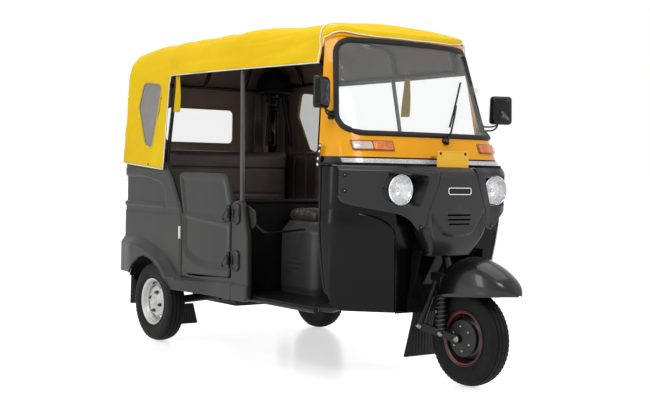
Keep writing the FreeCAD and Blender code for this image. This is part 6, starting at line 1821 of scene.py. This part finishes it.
def make_wheelhouse():
    """Hood and side walls that close the space behind the nose over the front wheel; their near-black matte
    finish is painted shade under the nose
    """
    rows = []
    for t in range(13):
        a = t / 12
        y, z = (lerp(-0.985, -0.83, a / 0.55), 0.668) if a < 0.55 else (lerp(-0.83, -0.800, (a - 0.55) / 0.45),
                lerp(0.668, 0.462, (a - 0.55) / 0.45))
        rows.append([Vector((x, y + 0.02 * (abs(x) / 0.21) ** 3, z))
                     for x in [lerp(-0.212, 0.212, c / 20) for c in range(21)]])
    for z in (0.43, 0.40, 0.37, 0.34):
        rows.append([Vector((x, -0.796 + 0.004 * (abs(x) / 0.21) ** 3, z))
                     for x in [lerp(-0.212, 0.212, c / 20) for c in range(21)]])
    sheet("front_wheelhouse", rows, M["dark"], 0.003)
    for label, side in SIDES:
        wall = []
        for r in range(15):
            z = lerp(0.680, 0.372, r / 14)
            front = lerp(-0.992, -0.905, smoothstep(r / 14))
            wall.append([Vector((side * (0.213 + 0.004 * math.sin(r * 0.7)), lerp(front, -0.798, c / 12), z))
                         for c in range(13)])
        sheet("wheelhouse_wall_" + label, wall, M["dark"], 0.003)


# Inside of the cab

def rounded_block(name, low, high, radius, material, body="cab", steps=5):
    """Block with all its edges rounded, as the start of a cushion"""
    work = bmesh.new()
    bmesh.ops.create_cube(work, size=1.0)
    size = Vector(high) - Vector(low)
    middle = (Vector(high) + Vector(low)) / 2
    for v in work.verts:
        v.co = Vector((v.co.x * size.x, v.co.y * size.y, v.co.z * size.z)) + middle
    bmesh.ops.bevel(work, geom=list(work.edges), offset=radius, segments=steps, affect="EDGES", profile=0.5)
    mesh = bpy.data.meshes.new(name)
    work.to_mesh(mesh)
    work.free()
    piece = bpy.data.objects.new(name, mesh)
    bpy.context.collection.objects.link(piece)
    MADE.add(piece.name)
    mesh.materials.append(material)
    mesh.polygons.foreach_set("use_smooth", [True] * len(mesh.polygons))
    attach(piece, body)
    return piece


CLOTH_FRAMES, CLOTH_PRESSURE = 20, 4


def inflate(piece, low, high, cap, voxel):
    """Blows the shape up as cloth under pressure; each point keeps within the cap and the box"""
    modify(piece, "REMESH", mode="VOXEL", voxel_size=voxel)
    bake(piece)
    start = [v.co.copy() for v in piece.data.vertices]
    ends = start
    cloth = piece.modifiers.new("cloth", "CLOTH")
    cloth.settings.use_pressure = True
    cloth.settings.uniform_pressure_force = CLOTH_PRESSURE
    cloth.settings.effector_weights.gravity = 0
    scene = bpy.context.scene
    for frame_number in range(1, CLOTH_FRAMES + 1):
        scene.frame_set(frame_number)
    graph = bpy.context.evaluated_depsgraph_get()
    blown = bpy.data.meshes.new_from_object(piece.evaluated_get(graph))
    ends = [v.co.copy() for v in blown.vertices]
    piece.modifiers.clear()
    bpy.data.meshes.remove(blown)
    scene.frame_set(1)
    low, high = Vector(low), Vector(high)
    for v, a, b in zip(piece.data.vertices, start, ends):
        move = b - a
        if move.length > cap:
            move = move * (cap / move.length)
        p = a + move
        v.co = Vector([min(max(c, lo), hi) for c, lo, hi in zip(p, low, high)])
    modify(piece, "SMOOTH", factor=0.5, iterations=12)
    modify(piece, "SUBSURF", levels=1, render_levels=1)
    bake(piece)
    piece.data.polygons.foreach_set("use_smooth", [True] * len(piece.data.polygons))
    return piece


def press_seams(piece, seams, depth, width):
    """Sewn channels: (axis, place, test) presses the cover in along a plane where the test holds"""
    mesh = piece.data
    shifts = []
    for v in mesh.vertices:
        pull = 0.0
        for axis, place, keep in seams:
            if keep(v.co, v.normal):
                away = (v.co[axis] - place) / width
                if abs(away) < 3:
                    pull = max(pull, math.exp(-away * away) * (1 - abs(v.normal[axis])))
        shifts.append(v.normal * (-depth * pull))
    for v, shift in zip(mesh.vertices, shifts):
        v.co += shift


def make_cushion(name, node, seams, cap=0.024, voxel=0.008, shrink=0.010, radius=0.026):
    low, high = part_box(node)
    low, high = Vector(low), Vector(high)
    inset = Vector((shrink, shrink, shrink))
    small = Vector((low.x + shrink, low.y + shrink, low.z + 0.002))
    piece = rounded_block(name, small, high - inset, radius, M["vinyl"])
    inflate(piece, low, high, cap, voxel)
    press_seams(piece, seams, 0.007, 0.006)
    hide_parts(node)
    return piece


def make_seats():
    up = lambda p, n: n.z > 0.3
    front = lambda p, n: n.y < -0.2
    x_lines = [(0, x, up) for x in (-0.17, 0.17)]
    make_cushion("bench_seat", "bench_cushion", x_lines + [(1, 0.900, up)], voxel=0.009)
    make_cushion("bench_backrest", "bench_back", [(2, 0.905, front), (2, 1.075, front),
            (0, 0.0, lambda p,
            n: front(p, n) and p.z < 0.9)], voxel=0.010)
    buttons = [(0.05, 1.060), (0.05, 0.895), (-0.30, 1.060), (-0.30, 0.895)]
    for n, (x, z) in enumerate(buttons):
        spot = Vector((x, 1.1985, z))
        lathe("bench_button_%d" % n, [(-0.004, 0.011), (0.001, 0.011), (0.005, 0.008), (0.006, 0.0)], spot,
              (0, -1, 0), M["vinyl_piping"], segments=20)
    make_bolster()
    make_cushion("driver_seat", "driver_cushion", [(1, -0.05, up), (1, 0.05, up)], voxel=0.0065)


def make_bolster():
    """Padded arm rest at the left end of the bench, with upright seams"""
    piece = rounded_block("bench_bolster", (0.515, 0.860, 0.700), (0.592, 1.300, 1.215), 0.034, M["vinyl"])
    inflate(piece, (0.508, 0.850, 0.696), (0.600, 1.310, 1.226), 0.018, 0.009)
    inner = lambda p, n: n.x < -0.2 or n.y < -0.3
    press_seams(piece, [(1, 1.02, inner), (1, 1.16, inner)], 0.006, 0.006)


def make_seat_box():
    """Moulded box under the driver's seat, with a sloped shoulder and stepped lines pressed in its sides"""
    low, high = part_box("driver_seat_box")
    rows, levels = [], 110
    for r in range(levels + 1):
        t = r / levels
        z = lerp(low[2], high[2] - 0.001, t)
        shrink = 0.050 * smoothstep((t - 0.84) / 0.16) + 0.010 * (1 - smoothstep(t / 0.1))
        plan = rounded_outline([(low[0] + shrink, low[1] + shrink), (high[0] - shrink, low[1] + shrink),
                (high[0] - shrink, high[1] - 0.002), (low[0] + shrink, high[1] - 0.002)], [0.06,
                0.06, 0.02, 0.02], 8)
        plan = dense(plan, 0.02) if r == 0 else plan
        rows.append((z, plan, t))
    count = 200
    rings = []
    for z, plan, t in rows:
        total = [0.0]
        for k in range(len(plan)):
            total.append(total[-1] + (Vector(plan[(k + 1) % len(plan)]) - Vector(plan[k])).length)
        ring = []
        k = 0
        for c in range(count):
            want = total[-1] * c / count
            while total[k + 1] < want:
                k += 1
            share = (want - total[k]) / max(1e-6, total[k + 1] - total[k])
            p = Vector(plan[k]).lerp(Vector(plan[(k + 1) % len(plan)]), share)
            press = 0.0
            for line, half in ((0.40, 0.085), (0.47, 0.060), (0.33, 0.060)):
                along = abs(p.y) if abs(p.x) > 0.2 else abs(p.x)
                press += 0.004 * math.exp(-((t - line) / 0.012) ** 2) * smoothstep((half - along) / 0.02)
            inward = Vector((-p.x, -0.03 - p.y)).normalized()
            p = p + inward * press
            ring.append(Vector((p.x, p.y, z)))
        rings.append(ring)
    verts = [p for ring in rings for p in ring]
    verts.append(Vector((0, (low[1] + high[1]) / 2, high[2] - 0.001)))
    piece = mesh_piece("seat_box", verts, dome_faces(len(rings), count, len(verts) - 1), M["grey_plastic"])
    flip_out(piece)
    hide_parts("driver_seat_box")


def make_air_intake():
    """Pre-cleaner: dome on a post with clamps, two stays and a bolted bracket"""
    x, y = 0.448, 1.345
    dome = [(1.590, 0.085), (1.593, 0.120), (1.600, 0.128), (1.612, 0.129), (1.618, 0.122), (1.655, 0.118),
            (1.695, 0.108), (1.722, 0.092), (1.744, 0.066),
            (1.754, 0.032), (1.757, 0.012), (1.764, 0.010), (1.765, 0.0)]
    piece = lathe("intake_dome", dome, (x, y, 0), (0, 0, 1), M["plastic"], segments=96)
    neck = [(1.602, 0.082), (1.594, 0.060), (1.586, 0.044), (1.560, 0.043), (1.556, 0.048), (1.545, 0.048),
            (1.541, 0.036), (1.500, 0.034), (1.497, 0.038), (1.484, 0.038),
            (1.481, 0.030), (1.250, 0.030), (1.247, 0.034), (1.232, 0.034), (1.229, 0.030), (0.70,
            0.030), (0.696,
            0.0)]
    lathe("intake_post", neck, (x, y, 0), (0, 0, 1), M["gloss_plastic"], segments=48)
    for n in range(16):
        a = 2 * math.pi * n / 16
        way = Vector((math.cos(a), math.sin(a), 0))
        fin = [Vector((x, y, 0)) + way * r + Vector((0, 0, z)) for r,
               z in ((0.060, 1.598), (0.100, 1.606), (0.107, 1.618))]
        ribbon("intake_fin_%d" % n, fin, Vector((-way.y, way.x, 0)) * 0.004, 0.010, M["plastic"])
    stays = (((-0.055, -0.035), (-0.085, -0.045)), ((0.055, -0.035), (0.125, -0.045)),
             ((0.085, 0.02), (0.150, 0.0)))
    for n, (a, b) in enumerate(stays):
        tube("intake_stay_%d" % n, [(x + a[0], y + a[1], 1.604),
                (x + lerp(a[0], b[0], 0.5), y + lerp(a[1], b[1], 0.5), 1.42), (x + b[0],
                y + b[1], 1.235)],
                0.0075, M["plastic"], smooth_path=False)
    bracket = box_outline(x - 0.075, 1.250, x - 0.034, 1.400, 0.006)
    shell_plate("intake_bracket", bracket, on_front(y - 0.034), 0.004, flat, M["gloss_plastic"], "cab",
                rings=10, edge=0.002)
    for n, z in enumerate((1.275, 1.305, 1.340, 1.375)):
        screw("intake_bolt_%d" % n, Vector((x - 0.055, y - 0.0345, z)), Vector((0, -1, 0)), 0.005)
    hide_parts("air_intake")


def make_strap(label, x, y, top, bottom, width):
    """Folded roof strap: hangs from the hem, gathered at the top and open at the foot"""
    rows, columns = 34, 13
    verts = []
    for r in range(rows):
        t = r / (rows - 1)
        z = lerp(top, bottom, t)
        wide = lerp(width * 0.62, width, smoothstep(t * 1.2))
        for c in range(columns):
            u = c / (columns - 1) - 0.5
            fold = 0.006 * math.cos(u * 2 * math.pi * 1.5 + 0.6) * lerp(1.0, 0.55, t)
            sway = 0.004 * math.sin(t * 3.0 + 0.4)
            verts.append(Vector((x + fold + sway, y + u * wide + 0.010 * t, z)))
    piece = mesh_piece("strap_cloth_" + label, verts, grid_faces(rows, columns), M["webbing"])
    modify(piece, "SOLIDIFY", thickness=0.003, offset=0)
    bake(piece)
    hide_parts("strap_" + label)


def make_grips():
    """Ribbed rubber grips on the handlebar ends"""
    low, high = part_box("handlebar")
    for label, side in SIDES:
        end = Vector((side * (max(abs(low[0]), abs(high[0])) + 0.001), 0, 0))
        tip = hit("handlebar", (end.x + side * 0.5, (low[1] + high[1]) / 2, (low[2] + high[2]) / 2),
                  (-side, 0, 0))
        if tip is None:
            continue
        grip = []
        for k in range(41):
            along = 0.112 * k / 40
            grip.append((along, 0.0165 + (0.0014 if k % 2 else 0.0) + (0.004 if k in (0, 40) else 0.0)))
        grip = [(-0.003, 0.0)] + [(-0.003, 0.012)] + grip + [(0.113, 0.012)]
        lathe("grip_" + label, grip, tip, (-side, 0, 0), M["rubber"], "steering", segments=32)


# Chassis, roof frame, windscreen and side pillars

def prism(name, outline, place, depth, material, body="cab", bevel=0.003):
    """Plate or bar with its edges broken: outline pairs set in space by place(pair, depth)"""
    piece = plain_prism(name, outline, place, depth, material, body)
    modify(piece, "BEVEL", width=bevel, segments=2, limit_method="ANGLE")
    return bake(piece)


def make_chassis():
    """Rails that thin out under the floor's front, round cross members, neck, head tube and tow plate"""
    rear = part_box("chassis_frame")[1][1]
    rail = [(-0.696, 0.352), (-0.696, 0.370), (rear - 0.02, 0.370), (rear - 0.02, 0.290), (-0.280, 0.290),
            (-0.470, 0.350)]
    for label, side in SIDES:
        piece = prism("chassis_rail_" + label, rail, lambda p, d: Vector((side * 0.205 + side * d, p[0], p[1])),
                      0.050, M["frame"], bevel=0.005)
        if side < 0:
            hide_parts("chassis_frame")
    for n, (y, z, radius) in enumerate(((-0.660, 0.361, 0.009), (0.03, 0.330, 0.028), (0.67, 0.330, 0.028),
                                        (rear - 0.045, 0.330, 0.028))):
        tube("chassis_cross_%d" % n, [(x, y, z) for x in (-0.235, -0.1, 0.1, 0.235)], radius, M["frame"],
             resolution=6)
    neck = [(-0.700, 0.352), (-0.660, 0.352), (-0.660, 0.369), (-0.700, 0.550), (-0.884, 0.795),
            (-0.926, 0.682), (-0.785, 0.455)]
    prism("chassis_neck", neck, lambda p, d: Vector((-0.038 + d, p[0], p[1])), 0.076, M["frame"], bevel=0.006)
    sleeve = [(0.0, 0.0245), (0.0, 0.036), (0.012, 0.036), (0.014, 0.033), (0.146, 0.033), (0.148, 0.036),
              (0.160, 0.036), (0.160, 0.0245), (0.0, 0.0245)]
    lean = math.radians(20)
    along = Vector((0, math.sin(lean), math.cos(lean)))
    lathe("chassis_head_tube", sleeve, Vector((0, -1.0, 0.480)) + along * 0.195, along, M["frame"], segments=40)
    tow = rounded_outline([(-0.045, 0.212), (0.045, 0.212), (0.045, 0.370), (-0.045, 0.370)],
                          [0.02, 0.02, 0.002, 0.002], 5)
    plate = prism("chassis_tow_plate", tow, lambda p, d: Vector((p[0], rear - 0.010 + d, p[1])), 0.010,
                  M["frame"], bevel=0.002)
    hole = [(0.014 * math.cos(math.pi * k / 8), 0.250 + 0.014 * math.sin(math.pi * k / 8)) for k in range(16)]
    cut_out(plate, hole, lambda p, far: (p[0], rear - 0.02 + 0.03 * far, p[1]))


def make_roof_frame():
    """Bows under the cloth, side rails behind the hem, door posts, corner posts and the rail round the tub"""
    inset, radius, rail_z = 0.030, 0.012, 1.657
    stations = (-0.440, 0.152, 0.880, 1.190, 1.395)
    first = None
    for n, y in enumerate(stations):
        half = [(section(y)[0] - inset, rail_z)]
        for k in range(13):
            u = k / 12
            x = roof_half(y, u)
            half.append((x - inset * (1 - u) ** 0.5 if u < 1 else 0.0,
                         roof_height(max(0.0, x - 0.004), y) - inset))
        whole = [Vector((-x, y, z)) for x, z in half] + [Vector((x, y, z)) for x, z in reversed(half[:-1])]
        piece = tube("roof_bow_%d" % n, whole, radius, M["frame"], smooth_path=False)
        first = first or piece
    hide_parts("roof_frame")
    for label, side in SIDES:
        rail = [(side * (section(y)[0] - inset), y, rail_z)
                for y in [lerp(-0.440, 1.395, t / 24) for t in range(25)]]
        tube("roof_rail_" + label, rail, radius, M["frame"], smooth_path=False)
        post = [(side * 0.612, 0.068, 0.380), (side * 0.612, 0.068, 0.900), (side * 0.552, 0.180, rail_z)]
        tube("door_post_" + label, post, 0.0125, M["pillar"], smooth_path=False, resolution=5)
        corner = section(1.395)[0] - inset
        tube("corner_post_" + label, [(side * 0.610, 1.395, 1.06), (side * 0.606, 1.395, 1.30),
                                      (side * corner, 1.395, rail_z)], radius, M["frame"])
        tube("side_post_" + label, [(side * 0.612, 0.935, 1.02), (side * 0.606, 0.915, 1.30),
                                    (side * (section(0.88)[0] - inset), 0.880, rail_z)], radius, M["frame"])
        ring = [(side * 0.612, 0.90, 1.075), (side * 0.612, 1.10, 1.075), (side * 0.612, 1.340, 1.075),
                (side * 0.606, 1.395, 1.075), (side * 0.560, 1.438, 1.075),
                (side * 0.30, 1.440, 1.075), (0, 1.440, 1.075)]
        tube("tub_rail_" + label, ring, radius, M["frame"])
    tube("rear_cross_rail", [(x, 1.398, 1.612) for x in (-0.585, -0.2, 0.2, 0.585)], radius, M["frame"])
    for n, (foot, head) in enumerate(((-0.076, -0.120), (0.239, 0.180))):
        tube("roof_brace_%d" % n, [(foot, 1.398, 1.615), (lerp(foot, head, 0.5), 1.30, 1.690),
                                   (head, 1.192, roof_height(head, 1.19) - inset)], 0.013, M["frame"])
    prism("rear_stay", box_outline(0.340, 1.120, 0.402, 1.600, 0.006, 3),
                 lambda p, d: Vector((p[0], 1.410 + d, p[1])), 0.012, M["pillar"], bevel=0.002)


SCREEN = [(-0.526, 1.266), (0.526, 1.266), (0.453, 1.763), (-0.453, 1.763)]


def make_screen():
    """Round rubber bead in the frame's opening with one curved pane behind it"""
    def face(x, z, back=0.0):
        frame_hit = hit("screen_frame", (x, -3, z), (0, 1, 0))
        seal_hit = hit("screen_seal", (x, -3, z), (0, 1, 0))
        pane_hit = hit("windscreen_glass", (x, -3, z), (0, 1, 0))
        if pane_hit:
            y = pane_hit.y
        elif seal_hit:
            y = seal_hit.y + 0.0085
        elif frame_hit:
            y = frame_hit.y
        else:
            return None
        return Vector((x, y + back, z))

    def inset(pairs, by):
        count = len(pairs)
        out = []
        for k in range(count):
            a, b = Vector(pairs[k - 1]), Vector(pairs[(k + 1) % count])
            along = (b - a).normalized()
            out.append(tuple(Vector(pairs[k]) + Vector((-along.y, along.x)) * by))
        return out

    opening = dense(rounded_outline(SCREEN, 0.094, 10), 0.03)
    line = [face(x, z) for x, z in inset(opening, 0.004)]
    line = [p for p in line if p]
    bead = tube("screen_bead", line, 0.015, M["rubber"], smooth_path=False, closed=True, resolution=5)
    edge = inset(opening, 0.006)
    verts, rings = [], 16
    for r in range(rings):
        for x, z in edge:
            t = 1 - r / rings
            x, z = x * t, lerp(1.52, z, t)
            spot = face(x, z, 0.003)
            verts.append(spot if spot else Vector((x, -0.70, z)))
    verts.append(face(0.0, 1.52, 0.003))
    pane = mesh_piece("screen_pane", verts, dome_faces(rings, len(edge), len(verts) - 1), M["glass"])
    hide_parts("screen_seal")
    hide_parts("windscreen_glass")


PILLAR = [(-0.031, 0.340), (-0.031, 0.443), (-0.019, 0.712), (0.034, 0.888), (0.075, 0.900), (0.142, 0.890),
          (0.142, 0.340)]


def make_pillar(label, side):
    """Door pillar with a rounded head, and the stepped sill that runs back to the wheel arch"""
    outline = rounded_outline(PILLAR, [0.045, 0.03, 0.10, 0.05, 0.03, 0.04, 0.004], 6)
    relief = lambda p, d: 0.004 - 0.006 * smoothstep((0.432 - p[1]) / 0.008 + 0.5)
    piece = shell_plate("pillar_plate_" + label, outline, on_side(side, 0.6385), 0.034, relief,
                        M["charcoal"], "cab", rings=54, centre=(0.055, 0.50), edge=0.009)
    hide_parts("side_pillar_" + label)
    columns = 110
    rows = []
    for r in range(34):
        row = []
        for c in range(columns + 1):
            y = lerp(0.130, 0.700, c / columns)
            low = 0.347
            high = 0.461 - 0.022 * smoothstep((y - 0.16) / 0.4) + 0.060 * smoothstep((y - 0.61) / 0.06)
            step = lerp(0.431, 0.410, smoothstep((y - 0.1) / 0.5))
            if r < 26:
                z = lerp(high, low, r / 25)
                drop = smoothstep((step - z) / 0.009 + 0.5)
                x = 0.6325 + drop * lerp(0.007, 0.050,
                        smoothstep((y - 0.30) / 0.45)) - 0.004 * smoothstep(((step + 0.014)
                        - z) / 0.006) * (1 - drop)
            else:
                a = (r - 25) / 8 * math.pi / 2
                out = 0.6325 + lerp(0.007, 0.050, smoothstep((y - 0.30) / 0.45))
                x, z = out - 0.012 * (1 - math.cos(a)) - 0.012 * max(0.0,
                        (r - 29)) / 4, low - 0.006 * math.sin(a)
            row.append(Vector((side * x, y, z)))
        rows.append(row)
    sheet("sill_" + label, rows, M["charcoal"], 0.003)
    rows = []
    for r in range(16):
        z = lerp(0.416, 0.341, r / 15)
        end = curve_at([(0.341, 0.735), (0.364, 0.745), (0.416, 0.838)], z)
        curl = 0.010 * smoothstep((0.352 - z) / 0.011)
        rows.append([Vector((side * (lerp(0.6805, 0.6865, c / 20) - curl), lerp(0.694, end, c / 20), z))
                     for c in range(21)])
    sheet("sill_tail_" + label, rows, M["charcoal"], 0.004)
    edge = [row[-1] for row in rows]
    tube("sill_tail_edge_" + label, edge, 0.005, M["gloss_plastic"], smooth_path=False)
    bracket = rounded_outline([(0.060, 0.862), (0.030, 0.872), (-0.040, 0.845), (-0.052, 0.780),
                               (-0.020, 0.745), (0.040, 0.760)], 0.012, 4)
    shell_plate("pillar_bracket_" + label, bracket, on_side(side, 0.598), 0.006,
            lambda p, d: 0.002 * smoothstep((d - 0.008)
            / 0.005), M["charcoal"], "cab", rings=14, edge=0.003)
    tube("pillar_bar_" + label, [(side * 0.592, -0.045, 0.770), (side * 0.575, -0.075, 0.735),
            (side * 0.535, -0.100, 0.725), (side * 0.42, -0.105, 0.735), (side * 0.305,
            -0.105, 0.742)],
            0.006, M["frame"])

THIN_FROM, THIN_SHARE = 5000, 0.36


def thin_pieces():
    """Brings the large meshes down, so that all pieces together stay under a million triangles"""
    for piece in [o for o in bpy.data.objects if o.type == "MESH" and o.name in MADE]:
        if piece.modifiers:
            bake(piece)
        count = sum(len(p.vertices) - 2 for p in piece.data.polygons)
        if count > THIN_FROM:
            modify(piece, "DECIMATE", ratio=(THIN_FROM + (count - THIN_FROM) * THIN_SHARE) / count)
            bake(piece)



make_camera()
make_materials()
dress_nodes()
cover, canopy_rows, wall_rows, upper_rows, canopy_columns = make_canopy()
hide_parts("canopy")
make_windows(cover)
make_piping(canopy_rows, wall_rows, upper_rows, canopy_columns)
for label, side in SIDES:
    make_leg_shield(label, side)
    make_lamp_fairing(label, side)
    make_headlamp(label, side)
    make_door(label, side)
    make_quarter_panel(label, side)
    make_tail_lamp(label, side)
make_rear_panel()
make_wheels()
make_nose()
make_badge_place()
make_mudguard()
for label, side in SIDES:
    make_indicator(label, side)
    make_mirror(label, side)
    make_rivet_strip(label, side)
make_number_plate()
make_wiper()
make_flaps()
make_engine_flap()
make_front_suspension()
make_wheelhouse()
make_seats()
make_seat_box()
make_air_intake()
make_strap("right", -0.592, 0.846, 1.632, 1.412, 0.084)
make_strap("left", 0.556, 0.046, 1.684, 1.412, 0.086)
make_grips()
make_chassis()
make_roof_frame()
make_screen()
for label, side in SIDES:
    make_pillar(label, side)
thin_pieces()
make_studio()
